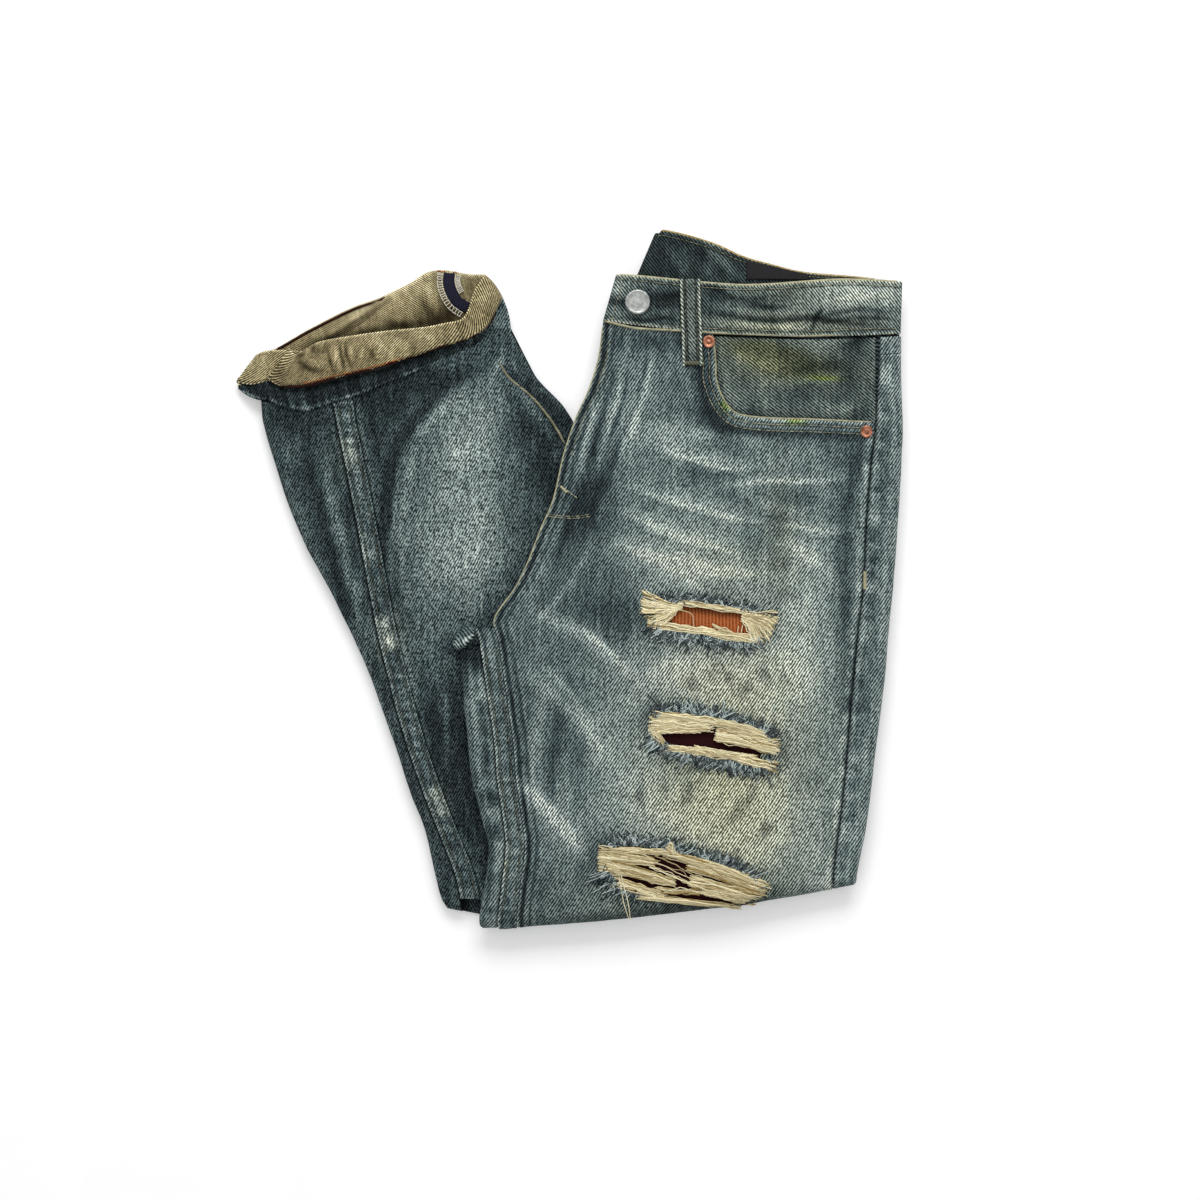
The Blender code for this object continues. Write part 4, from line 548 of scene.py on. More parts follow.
FACING_SOIL = (
    (136, 159, 30, 9, -10, 1), (158, 146, 40, 10, 0, 0.6),
)
# Yellow-green spots: on the facing, and on the rolled edge of the pocket.
FACING_GREEN = ((178, 140.8, 13, 1.7, -2, 0.85),)
EDGE_GREEN = ((109, 122, 4, 5, 0, 1), (158, 112, 7, 4, 0, 1))


# ---------------------------------------------------------------- curves and fields
def bell(value, centre, width):
    """Bell curve: e to minus the square of the distance from a centre over a width."""
    return np.exp(-((value - centre) / width) ** 2)


def bells(value, *rows):
    """Sum of bell curves, each given as its height, centre and width."""
    return sum(height * bell(value, centre, width) for height, centre, width in rows)


def bell_rows(value, centres, width):
    """Sum of equal bell curves at several centres."""
    return sum(bell(value, centre, width) for centre in centres)


def xyz(x, y, z):
    """Three coordinates spread over each other's grids and joined into points."""
    return np.stack(np.broadcast_arrays(x, y, z), axis=-1)


def along_rows(start, end, count):
    """Even steps down the first direction of a grid."""
    return np.linspace(start, end, count)[:, None]


def across_rows(start, end, count):
    """Even steps along the second direction of a grid."""
    return np.linspace(start, end, count)[None, :]


def smooth(column, station):
    """Catmull-Rom curve through one column, read at fractional row numbers."""
    column = np.asarray(column, dtype=float)
    station = np.clip(np.asarray(station, dtype=float), 0, len(column) - 1)
    first = np.minimum(station.astype(int), len(column) - 2)
    t = station - first
    padded = np.concatenate([[2 * column[0] - column[1]], column, [2 * column[-1] - column[-2]]])
    a, b, c, d = (padded[first + k] for k in range(4))
    square = (2 * a - 5 * b + 4 * c - d) * t ** 2
    cube = (3 * b - a - 3 * c + d) * t ** 3
    return 0.5 * (2 * b + (c - a) * t + square + cube)


def columns_at(rows, station):
    """Every column of a table, read at fractional row numbers."""
    return [smooth(column, station) for column in np.array(rows, dtype=float).T]


def curve_through(points, count):
    """A list of points made into a smooth line of evenly numbered ones."""
    return np.stack(columns_at(points, np.linspace(0, len(points) - 1, count)), axis=-1)


def soft_step(t):
    """Smooth rise from 0 to 1 with level ends: 3t squared less 2t cubed."""
    t = np.clip(t, 0, 1)
    return t * t * (3 - 2 * t)


def quarter_round(share):
    """Height of a quarter circle at a share of its radius in from its foot, staying 1 past its top."""
    return np.sqrt(1 - np.clip(1 - share, 0, 1) ** 2)


def turned_axes(x, y, from_x, from_y, cos, sin):
    """Coordinates of places along and across a direction through a point."""
    dx, dy = x - from_x, y - from_y
    return dx * cos + dy * sin, dy * cos - dx * sin


def ridges(rows, x, y):
    """Sum of soft lines: a bell across each, rising and dying away over a quarter of its length."""
    total = np.zeros(np.broadcast(x, y).shape)
    for from_x, from_y, to_x, to_y, width, height in rows:
        length = math.hypot(to_x - from_x, to_y - from_y)
        cos, sin = (to_x - from_x) / length, (to_y - from_y) / length
        along, across = turned_axes(x, y, from_x, from_y, cos, sin)
        quarter = 0.25 * length
        ends = soft_step(along / quarter) * soft_step((length - along) / quarter)
        total = total + height * ends * bell(across, 0, width)
    return total


def strokes(rows, x, y, steps=24):
    """Sum of soft curved lines: a bell of the distance to each, dying away towards both its ends."""
    x, y = np.broadcast_arrays(np.asarray(x, float), np.asarray(y, float))
    total = np.zeros(x.shape)
    for width, amount, points in rows:
        line = curve_through(points, steps)
        low, high = line.min(axis=0) - 2.5 * width, line.max(axis=0) + 2.5 * width
        near = (x > low[0]) & (x < high[0]) & (y > low[1]) & (y < high[1])
        distance, _, _, _, along = nearest_on_line(line, x[near], y[near])
        ends = np.sin(np.pi * np.clip(along / (steps - 1), 0, 1)) ** 0.7
        total[near] += amount * ends * bell(distance, 0, width)
    return total


def patches(rows, x, y):
    """Sum of soft ovals: a bell of the distance measured in each turned oval's own radii."""
    total = np.zeros(np.broadcast(x, y).shape)
    for centre_x, centre_y, radius_x, radius_y, tilt, amount in rows:
        turn = math.radians(tilt)
        along, up = turned_axes(x, y, centre_x, centre_y, math.cos(turn), math.sin(turn))
        total = total + amount * np.exp(-(along / radius_x) ** 2 - (up / radius_y) ** 2)
    return total


def blend(values, i, j, s, t):
    """Value between four neighbours of a wrapped table: straight blends by s along i and t along j."""
    wide, high = values.shape
    first = values[i % wide, j % high] * (1 - s) + values[(i + 1) % wide, j % high] * s
    second = values[i % wide, (j + 1) % high] * (1 - s) + values[(i + 1) % wide, (j + 1) % high] * s
    return first * (1 - t) + second * t


def cloud(x, y, size_x, size_y, seed):
    """Smooth random field from -1 to 1: random corners of a lattice, blended with soft steps."""
    corners = np.random.default_rng(seed).random((64, 64)) * 2 - 1
    u = np.asarray(x) / size_x + 17.3
    v = np.asarray(y) / size_y + 31.7
    i, j = np.floor(u).astype(int), np.floor(v).astype(int)
    return blend(corners, i, j, soft_step(u - i), soft_step(v - j))


def ripple(value, size, seed):
    """Smooth random line from -1 to 1 along one direction."""
    return cloud(value, 0, size, 1, seed)


def nearest_on_line(line, x, y):
    """Where places lie by a line of straight pieces.

    Gives the distance, the nearest point's x and y, the side, and how many pieces along it is.
    """
    start, end = line[:-1], line[1:]
    step = end - start
    px = np.asarray(x)[..., None] - start[:, 0]
    py = np.asarray(y)[..., None] - start[:, 1]
    share = np.clip((px * step[:, 0] + py * step[:, 1]) / (step ** 2).sum(axis=1), 0, 1)
    dx = px - share * step[:, 0]
    dy = py - share * step[:, 1]
    distance = np.hypot(dx, dy)
    best = np.argmin(distance, axis=-1)[..., None]
    pick = [np.take_along_axis(value, best, axis=-1)[..., 0] for value in (distance, dx, dy, share)]
    chosen = best[..., 0]
    side = np.sign(step[chosen, 0] * pick[2] - step[chosen, 1] * pick[1])
    return pick[0], np.asarray(x) - pick[1], np.asarray(y) - pick[2], side, chosen + pick[3]


def rip_measure(k, x, y):
    """How far a place lies from a rip's middle: below 1 inside its soft rectangle."""
    middle_x, middle_y, half_length, half_height, tilt = RIPS[k]
    turn = math.radians(tilt)
    along, up = turned_axes(x, y, middle_x, middle_y, math.cos(turn), math.sin(turn))
    squareness = 2 / 0.7
    total = np.abs(along / half_length) ** squareness + np.abs(up / half_height) ** squareness
    return total ** (1 / squareness)


# ---------------------------------------------------------------- the pile's surface
def pile_line(station, x):
    """Row line at a station: its y at x, and how far x lies across it, from 0 to 1."""
    station = np.asarray(station)
    left_x, left_y, right_x, right_y = (
        smooth(PILE[name], station) for name in ("left_x", "left_y", "right_x", "right_y"))
    across = (x - left_x) / (right_x - left_x)
    bow = KNEE_SAG * soft_step(station / PILE_END * 2 - 1) + WAIST_SAG * soft_step(1 - station / 2)
    return left_y + (right_y - left_y) * across + bow * 4 * across * (1 - across), across


def crown_height(station, across):
    """Height across a row without folds: a flat-topped crown between its two edges."""
    left_z = smooth(PILE["left_z"], station)
    right_z = smooth(PILE["right_z"], station)
    rise = smooth(PILE["middle_z"], station) - 0.5 * (left_z + right_z)
    edge = np.clip(across, 0, 1)
    return left_z + (right_z - left_z) * edge + rise * (1 - np.abs(2 * edge - 1) ** 3)


def pile_top(station, x):
    """The pile's top at a row and an x: its y and its height."""
    y, across = pile_line(station, x)
    return y, crown_height(station, across) + ridges(PILE_FOLDS, x, y)


def rolled(x, y, height, roll):
    """Points at a height over a row, turned by roll round the knee's axis under it."""
    reach = height - KNEE_RADIUS
    return xyz(x, y - reach * np.sin(roll), KNEE_RADIUS + reach * np.cos(roll))


def pile_point(station, x, depth):
    """Points a depth below the pile's top at a row and an x."""
    y, height = pile_top(station, x)
    return xyz(x, y, height - depth)


def station_chart():
    """Row numbers over the pile's x and y, so that places can be read back to rows."""
    stations = np.linspace(0, PILE_END, 600)
    xs = np.linspace(-100, 245, 100)
    ys = np.linspace(-262, 192, 800)
    lines, _ = pile_line(stations[:, None], xs[None, :])
    return xs, ys, np.stack([np.interp(-ys, -line, stations) for line in lines.T])


CHART_X, CHART_Y, CHART = station_chart()


def station_at(x, y):
    """Row number under a place, read between the nearest entries of the chart."""
    u = np.clip((x - CHART_X[0]) / (CHART_X[1] - CHART_X[0]), 0, len(CHART_X) - 1.001)
    v = np.clip((y - CHART_Y[0]) / (CHART_Y[1] - CHART_Y[0]), 0, len(CHART_Y) - 1.001)
    i, j = u.astype(int), v.astype(int)
    return blend(CHART, i, j, u - i, v - j)


def pile_reading(x, y):
    """Height of the pile's top at a place seen from above, and its y on the cloth laid out flat."""
    x = np.asarray(x, dtype=float)
    y = np.asarray(y, dtype=float)
    station = station_at(x, y)
    _, across = pile_line(station, x)
    end_line, _ = pile_line(PILE_END, x)
    reach = crown_height(station, across) + ridges(PILE_FOLDS, x, np.maximum(y, end_line)) - KNEE_RADIUS
    beyond = np.clip(end_line - y, 0, reach * 0.97)
    flat = np.where(beyond > 0, end_line - reach * np.arcsin(beyond / reach), y)
    return KNEE_RADIUS + np.sqrt(reach ** 2 - beyond ** 2), flat


def pile_height(x, y):
    """Height of the pile's top at a place seen from above."""
    return pile_reading(x, y)[0]


def fold_edge(x):
    """Outermost y of the knee's fold at each x."""
    end_line, across = pile_line(PILE_END, x)
    return end_line - crown_height(PILE_END, across) + KNEE_RADIUS


POCKET_LINE = curve_through(POCKET_CURVE, 90)


def from_pocket(x, y):
    """Distance of places from the pocket's edge."""
    return nearest_on_line(POCKET_LINE[::3], x, y)[0]


def front_drop(station, x):
    """Rounding of the front's folded rise edge, gone below the crotch."""
    above_crotch = 1 - soft_step(station - (CROTCH_ROW - 1.2))
    inside = (x - smooth(PILE["front_x"], station)) / FOLD_RADIUS
    return FOLD_RADIUS * (1 - quarter_round(inside)) * above_crotch


def front_relief(x, y):
    """Relief of the front on its flat cloth: creases, seam puckers, the pocket's welt and rip edges."""
    height = ridges(FRONT_CREASES, x, y) + 0.22 * cloud(x, y, 16, 11, 3) + 0.1 * cloud(x, y, 5, 4, 4)
    to_seam = np.interp(-y, -PILE["right_y"], PILE["outseam_x"]) - x
    height = height + 1.3 * (0.55 * ripple(y, 4.2, 5) + 0.2) * bell(to_seam, 3, 3.5)
    from_fly = x - np.interp(-y, -PILE["left_y"], PILE["front_x"])
    height = height + 0.5 * bell(from_fly, 2.6, 2) + 0.35 * ripple(y, 3.8, 6) * bell(from_fly, 5.5, 3)
    distance, _, _, _, along = nearest_on_line(POCKET_LINE[::3], x, y)
    height = height + bells(distance, *POCKET_RELIEF) * (1 + 0.5 * ripple(along * 3.2, 1.4, 7))
    for k in range(len(RIPS)):
        height = height + 0.7 * bell(rip_measure(k, x, y), 1, 0.22)
    return height


def front_top(x, y):
    """Height of the finished front at places seen from above."""
    height, flat = pile_reading(x, y)
    return height - front_drop(station_at(x, y), x) + front_relief(x, flat)


# ---------------------------------------------------------------- the lower leg's surface
def leg_point(around, station):
    """Point of the lower leg's tube.

    around 0 to 1 runs along the table from right to left, and 1 to 2 over the top from left to right.
    Both folded sides are half-round, the table side is flat and the top follows the row's heights.
    """
    around, station = np.broadcast_arrays(np.mod(around, 2), np.asarray(station, float))
    upper = around > 1
    part = np.where(upper, around - 1, 1 - around)
    across = 0.5 - 0.5 * np.cos(np.pi * part)
    left_x = smooth(LEG["left_x"], station)
    right_x = smooth(LEG["right_x"], station)
    x = left_x + (right_x - left_x) * across
    straight = np.minimum(station, LEG_END - 1)
    y = smooth(LEG["left_y"], straight)
    y = y + (smooth(LEG["right_y"], straight) - y) * across
    hem_x, upper_y, lower_y = np.array(HEM_ROWS).T
    hem_y = np.where(upper, np.interp(x, hem_x, upper_y), np.interp(x, hem_x, lower_y))
    y = y + (hem_y - y) * (station - straight)
    stops = [smooth(LEG[name + "_x"], station) for name in LEG_PLACES]
    heights = [smooth(LEG[name + "_z"], station) for name in LEG_PLACES]
    top = heights[0]
    for stop, after, low, high in zip(stops, stops[1:], heights, heights[1:]):
        top = np.where(x > stop, low + (high - low) * soft_step((x - stop) / (after - stop)), top)
    top = top + ridges(LEG_FOLDS, x, y)
    edge_z = np.minimum(LEG_EDGE, 0.5 * top)
    round_off = quarter_round(np.minimum(x - left_x, right_x - x) / 5)
    z_top = edge_z + (top - edge_z) * round_off * np.where(upper, quarter_round((station + 0.02) / 0.9), 1)
    return xyz(x, y, np.where(upper, z_top, edge_z * (1 - round_off)))


def leg_around(x, station):
    """The around value of a place on the top of the lower leg: the angle whose cosine gives its share."""
    left_x = smooth(LEG["left_x"], station)
    across = np.clip((x - left_x) / (smooth(LEG["right_x"], station) - left_x), 0, 1)
    return 1 + np.arccos(1 - 2 * across) / np.pi


def leg_normals(around, stations):
    """Outward unit normals of the lower leg within each upright section, from small steps across it."""
    across = leg_point(around + 0.01, stations) - leg_point(around - 0.01, stations)
    return unit(xyz(-across[..., 2], 0, across[..., 0]))


def cuff_point(station, across):
    """Point halfway through the cuff's cloth: across 0 at its rim and 1 at its hem.

    Round the cuff's right end the band swells outwards: a bell along it times a bow across it.
    """
    edges = columns_at(CUFF_ROWS, station)
    swell = 3.6 * bell(station, 10.8, 1.4) * 4 * across * (1 - across)
    return xyz(*(rim + (hem - rim) * across + swell * share
                 for rim, hem, share in zip(edges[:3], edges[3:], (0.55, 0.35, 0.75))))


def waist_height(x):
    """Height of the front waistband's face across the waist."""
    across = (x - PILE["left_x"][0]) / (PILE["right_x"][0] - PILE["left_x"][0])
    return crown_height(0, across) + WAISTBAND_RAISE


# ---------------------------------------------------------------- meshes
def unit(vectors):
    """Vectors brought to length 1."""
    return vectors / np.maximum(np.linalg.norm(vectors, axis=-1, keepdims=True), 1e-9)


def grid_normals(grid):
    """Unit normals of a grid of points: the cross product of its two central differences."""
    return unit(np.cross(np.gradient(grid, axis=0), np.gradient(grid, axis=1)))


def add_mesh(name, points, quads, finish, fields=None, flat=None, caps=()):
    """A mesh in metres from points in millimetres, with its point fields and its flat coordinates."""
    mesh = bpy.data.meshes.new(name)
    quads = np.reshape(quads, (-1, 4))
    used = np.zeros(points[..., 0].size, dtype=bool)
    used[quads.ravel()] = True
    renumber = np.cumsum(used) - 1
    corners = points.reshape(-1, 3)[used] * MM
    mesh.from_pydata(corners.tolist(), [], renumber[quads].tolist() + list(caps))
    for label, values in (fields or {}).items():
        layer = mesh.attributes.new(label, "FLOAT", "POINT")
        values = np.broadcast_to(values, points.shape[:-1]).ravel()[used]
        layer.data.foreach_set("value", values.astype(np.float32))
    if flat is not None:
        layer = mesh.attributes.new("flat", "FLOAT_VECTOR", "POINT")
        values = np.broadcast_to(flat, points.shape).reshape(-1, 3)[used] * MM
        layer.data.foreach_set("vector", values.astype(np.float32).ravel())
    mesh.materials.append(finish)
    mesh.shade_smooth()
    made = bpy.data.objects.new(name, mesh)
    bpy.context.scene.collection.objects.link(made)
    return made


def shell(name, skins, finish, fields, flat, keep, lining):
    """A wall of cloth between two skins of one grid.

    Cells that keep leaves out are holes, and every edge between a kept cell and none is closed.
    lining is how far the inner skin takes the colour of the denim's inside.
    """
    outer, inner = skins
    rows, columns = outer.shape[:2]
    index = np.arange(rows * columns).reshape(rows, columns)
    a, b, c, d = index[:-1, :-1], index[:-1, 1:], index[1:, 1:], index[1:, :-1]
    shift = rows * columns
    quads = [np.stack([a, b, c, d], axis=-1)[keep], np.stack([d, c, b, a], axis=-1)[keep] + shift]
    wide = np.pad(keep, 1)
    for start, end, beside in ((a, b, wide[:-2, 1:-1]), (b, c, wide[1:-1, 2:]),
                               (c, d, wide[2:, 1:-1]), (d, a, wide[1:-1, :-2])):
        open_edge = keep & ~beside
        p, q = start[open_edge], end[open_edge]
        quads.append(np.stack([q, p, p + shift, q + shift], axis=-1))
    quads = np.concatenate(quads)
    turn = np.cross(outer[:-1, 1:] - outer[:-1, :-1], outer[1:, :-1] - outer[:-1, :-1])
    if np.sum(turn * (outer - inner)[:-1, :-1]) < 0:
        quads = quads[:, ::-1]
    fields = {**fields, "inside": np.reshape((0, lining), (2, 1, 1))}
    return add_mesh(name, np.stack([outer, inner]), quads, finish, fields, xyz(*flat, 0))


def cut_size(grid, keep):
    """Mean length of a grid's rows and of its columns, and the area of its kept cells, in metres."""
    across, along = (float(np.linalg.norm(np.diff(grid, axis=axis), axis=-1).sum(axis=axis).mean() * MM)
                     for axis in (1, 0))
    edge_a = grid[:-1, 1:] - grid[:-1, :-1]
    edge_b = grid[1:, :-1] - grid[:-1, :-1]
    area = np.linalg.norm(np.cross(edge_a, edge_b), axis=-1)[keep]
    return across, along, float(area.sum()) * MM * MM


def place(piece, slot, *nodes):
    """The piece moves with the part and stands for its solids, which are hidden; its slot is not used."""
    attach(piece, "root")
    if nodes:
        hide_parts(*nodes)


def cloth(name, skins, fields, flat, *nodes, finish="denim", slot="denim", held="folded",
          rests_on="hidden_layers", middle=None, keep=None, lining=1):
    """A piece of cloth: a wall between two skins; the size of its grid is measured but not used."""
    if keep is None:
        keep = np.ones((len(skins[0]) - 1, skins[0].shape[1] - 1), dtype=bool)
    piece = shell(name, skins, FINISH[finish], fields, flat, keep, lining)
    width, length, area = cut_size(skins[0] if middle is None else middle, keep)
    area = min(area, width * length)
    max(width, 0.011)
    max(length, 0.011)
    max(area, 0.31 * width * length)
    place(piece, slot, *nodes)


def ring_fan(sides):
    """Faces that close a ring of an even number of points: a fan of four-sided faces."""
    k = np.arange(1, sides - 1, 2)
    return np.stack([0 * k, k, k + 1, k + 2], axis=-1)


def ring_walls(index):
    """Faces between neighbouring closed rings of points."""
    after = np.roll(index, -1, axis=1)
    return np.stack([index[:-1], index[1:], after[1:], after[:-1]], axis=-1).reshape(-1, 4)


def threads(name, paths, radius, finish, tone, *nodes, sides=4):
    """Many round threads as one piece.

    Each path gets a ring of points at every step: its centre plus the radius times the cosine and sine
    of the angle, along the two directions square to the path.
    """
    many, steps = paths.shape[:2]
    along = unit(np.gradient(paths, axis=1))
    side = unit(np.cross(along, np.array([0, 0.02, 1])))
    top = np.cross(side, along)
    angles = np.linspace(0, 2 * np.pi, sides, endpoint=False)[:, None] + np.pi / sides
    thick = np.broadcast_to(radius, (many, steps))[..., None, None]
    rings = side[:, :, None] * np.cos(angles) + top[:, :, None] * np.sin(angles)
    rings = paths[:, :, None] + thick * rings
    index = np.arange(many * steps * sides).reshape(many, steps, sides)
    after = np.roll(index, -1, axis=2)
    walls = np.stack([index[:, :-1], after[:, :-1], after[:, 1:], index[:, 1:]], axis=-1)
    fan = ring_fan(sides)
    quads = np.concatenate([walls.reshape(-1, 4), index[:, 0][:, fan[:, ::-1]].reshape(-1, 4),
                            index[:, -1][:, fan].reshape(-1, 4)])
    piece = add_mesh(name, rings, quads, FINISH[finish], {"tone": np.reshape(tone, (-1, 1, 1))})
    place(piece, "pale_thread", *nodes)


def turned(name, profile, centre, finish, node, sides=48):
    """A turned metal piece: radius and height of its profile carried round an upright axis."""
    radius, height = np.array(profile).T[..., None]
    angles = np.linspace(0, 2 * np.pi, sides, endpoint=False)
    points = xyz(radius * np.cos(angles), radius * np.sin(angles), height) + centre
    index = np.arange(len(profile) * sides).reshape(-1, sides)
    after = np.roll(index, -1, axis=1)
    walls = np.stack([index[:-1], after[:-1], after[1:], index[1:]], axis=-1).reshape(-1, 4)
    fan = ring_fan(sides)
    quads = np.concatenate([walls, index[0][fan[:, ::-1]], index[-1][fan]])
    place(add_mesh(name, points, quads, FINISH[finish], {"tone": 0}), finish, node)


# ---------------------------------------------------------------- materials
def linear(colour):
    """Screen colour from 0 to 255 as the linear values that shaders take."""
    value = np.array(colour, dtype=float) / 255
    value = np.where(value <= 0.04045, value / 12.92, ((value + 0.055) / 1.055) ** 2.4)
    return (*value.tolist(), 1.0)


class Graph:
    """Short forms for placing and linking shader nodes."""

    def __init__(self, tree):
        self.tree = tree

    def add(self, kind, settings=None, **inputs):
        """A node with its settings, and its inputs given as values or as other nodes' sockets."""
        node = self.tree.nodes.new(kind)
        for label, value in (settings or {}).items():
            setattr(node, label, value)
        for label, value in inputs.items():
            self.feed(node.inputs[label.replace("_", " ")], value)
        return node

    def feed(self, socket, value):
        """Links a socket, or sets its value."""
        if isinstance(value, bpy.types.NodeSocket):
            self.tree.links.new(value, socket)
        else:
            socket.default_value = value

    def math(self, operation, first, second=0.0, clamp=False):
        """Output of a Math node."""
        node = self.add("ShaderNodeMath", {"operation": operation, "use_clamp": clamp})
        self.feed(node.inputs[0], first)
        self.feed(node.inputs[1], second)
        return node.outputs[0]

    def mix(self, factor, first, second, mode="MIX"):
        """Colour output of a Mix node."""
        node = self.add("ShaderNodeMix", {"data_type": "RGBA", "blend_type": mode})
        for place_of, value in ((0, factor), (6, first), (7, second)):
            self.feed(node.inputs[place_of], value)
        return node.outputs[2]

    def ramp(self, factor, stops):
        """Colour output of a ramp through its stops of (position, screen colour)."""
        node = self.tree.nodes.new("ShaderNodeValToRGB")
        self.feed(node.inputs[0], factor)
        elements = node.color_ramp.elements
        while len(elements) < len(stops):
            elements.new(0.5)
        for element, (position, colour) in zip(elements, stops):
            element.position = position
            element.color = linear(colour)
        return node.outputs[0]

    def noise(self, vector, scale, detail=2.0):
        """Value output of a noise texture."""
        return self.add("ShaderNodeTexNoise", None, Vector=vector, Scale=scale, Detail=detail).outputs[0]

    def stretch(self, vector, x, y):
        """A vector with its two flat directions scaled apart."""
        node = self.add("ShaderNodeVectorMath", {"operation": "MULTIPLY"})
        self.feed(node.inputs[0], vector)
        self.feed(node.inputs[1], (x, y, 1.0))
        return node.outputs[0]

    def attribute(self, label, output="Fac"):
        """Output of a named point attribute."""
        return self.add("ShaderNodeAttribute", {"attribute_name": label}).outputs[output]

    def shaded(self, colour):
        """A colour darkened by the shade attribute."""
        shade = self.attribute("shade")
        grey = self.add("ShaderNodeCombineColor", None, Red=shade, Green=shade, Blue=shade).outputs[0]
        return self.mix(1.0, colour, grey, "MULTIPLY")

    def stripes(self, value, pitch, slow, swing):
        """Sine of a length in turns of its pitch, wandering by a slow noise times its swing."""
        wander = self.math("MULTIPLY", slow, swing)
        turns = self.math("DIVIDE", value, pitch)
        phase = self.math("ADD", self.math("MULTIPLY", turns, 2 * math.pi), wander)
        return self.math("SINE", phase)

    def finish(self, shader, colour, roughness, specular, strength, distance, height):
        """Colour, roughness and bump of a surface."""
        self.feed(shader.inputs["Base Color"], colour)
        self.feed(shader.inputs["Roughness"], roughness)
        self.feed(shader.inputs["Specular IOR Level"], specular)
        bump = self.add("ShaderNodeBump", None, Strength=strength, Distance=distance, Height=height)
        self.feed(shader.inputs["Normal"], bump.outputs[0])


def new_group(name, inputs, outputs):
    """A node group with value outputs: its Graph, its inputs' sockets and its outputs' sockets."""
    group = bpy.data.node_groups.new(name, "ShaderNodeTree")
    for label, kind in inputs:
        group.interface.new_socket(label, in_out="INPUT", socket_type=kind)
    for label in outputs:
        group.interface.new_socket(label, in_out="OUTPUT", socket_type="NodeSocketFloat")
    entry = group.nodes.new("NodeGroupInput").outputs
    return group, Graph(group), entry, group.nodes.new("NodeGroupOutput").inputs


def weave_group():
    """Twill: dark and pale yarns in slanting lines, broken up by uneven spinning.

    Takes the flat coordinates, the width of one line, its slant and how broken it is.
    Gives Yarn, 1 on a pale yarn and 0 on a dark one.
    """
    group, g, entry, leave = new_group("Twill weave", (
        ("Flat", "NodeSocketVector"), ("Line width", "NodeSocketFloat"), ("Slant", "NodeSocketFloat"),
        ("Broken", "NodeSocketFloat")), ("Yarn",))
    flat, width, slant, broken = entry[:4]
    parts = g.add("ShaderNodeSeparateXYZ", None, Vector=flat)
    over = g.math("MULTIPLY", parts.outputs[1], g.math("COSINE", slant))
    across = g.math("SUBTRACT", over, g.math("MULTIPLY", parts.outputs[0], g.math("SINE", slant)))
    line = g.stripes(across, width, g.noise(flat, 160), 3.2)
    line = g.math("ADD", g.math("MULTIPLY", line, 0.5), 0.5)
    fleck = g.math("SUBTRACT", g.noise(g.stretch(flat, 1, 0.8), 640, 1), 0.5)
    slub = g.math("SUBTRACT", g.noise(g.stretch(flat, 1, 0.5), 260, 1), 0.5)
    fleck = g.math("ADD", g.math("MULTIPLY", fleck, 3.4), g.math("MULTIPLY", slub, 1.1))
    line = g.math("MULTIPLY", g.math("SUBTRACT", line, 0.5), g.math("SUBTRACT", 1.9, broken))
    yarn = g.math("ADD", g.math("ADD", line, g.math("MULTIPLY", fleck, broken)), 0.38, True)
    g.feed(leave[0], yarn)
    return group


def wear_group():
    """Uneven washing: long slubs down the cloth and soft clouds across it, both about zero."""
    group, g, entry, leave = new_group("Washed slubs", (("Flat", "NodeSocketVector"),), ("Slub", "Cloud"))
    slub = g.noise(g.stretch(entry[0], 1, 0.09), 420)
    g.feed(leave[0], g.math("SUBTRACT", slub, 0.5))
    g.feed(leave[1], g.math("SUBTRACT", g.noise(entry[0], 75, 3), 0.5))
    return group


def new_material(name):
    """A material with its Principled shader, and a Graph over its nodes."""
    made = bpy.data.materials.new(name)
    made.use_nodes = True
    return made, Graph(made.node_tree), made.node_tree.nodes["Principled BSDF"]


def denim(name, yarns, slant, soil, line_width, broken, weave, wear, relief):
    """Washed denim.

    The fading attribute, with painted light and shade mixed into it, picks the cloth's mean colour from a
    ramp, the weave turns it into dark and pale yarns, and the soil, green and shade attributes tint and
    darken the result.
    """
    made, g, shader = new_material(name)
    flat = g.attribute("flat", "Vector")
    worn = g.add("ShaderNodeGroup", {"node_tree": wear}, Flat=flat).outputs
    yarn = g.add("ShaderNodeGroup", {"node_tree": weave}, Flat=flat, Line_width=line_width * MM,
                 Slant=math.radians(slant), Broken=broken).outputs[0]
    fade_and_shading = g.math("ADD", g.attribute("fade_and_shading"), g.math("MULTIPLY", worn["Slub"], 0.5))
    fade_and_shading = g.math("ADD", fade_and_shading, g.math("MULTIPLY", worn["Cloud"], 0.26), True)
    colour = g.mix(1.0, g.ramp(fade_and_shading, yarns), g.mix(yarn, DARK_YARN, PALE_YARN), "MULTIPLY")
    tint = g.mix(yarn, linear(soil[0]), linear(soil[1]))
    colour = g.mix(g.attribute("soil"), colour, tint, "MULTIPLY")
    colour = g.mix(g.attribute("green"), colour, linear(GREEN), "OVERLAY")
    colour = g.mix(g.attribute("inside"), colour, g.mix(yarn, linear(LINING_DARK), linear(LINING_PALE)))
    g.finish(shader, g.shaded(colour), 0.92, 0.12, relief, 0.0004, yarn)
    return made


def thread_material(name, low, high):
    """Cotton thread: the tone attribute runs between two colours, with fine twist lines as bump."""
    made, g, shader = new_material(name)
    grain = g.noise(g.add("ShaderNodeTexCoord").outputs["Object"], 1400)
    tone = g.math("ADD", g.attribute("tone"), g.math("MULTIPLY", g.math("SUBTRACT", grain, 0.5), 0.5), True)
    g.finish(shader, g.ramp(tone, ((0, low), (1, high))), 0.95, 0.1, 0.3, 0.0002, grain)
    return made


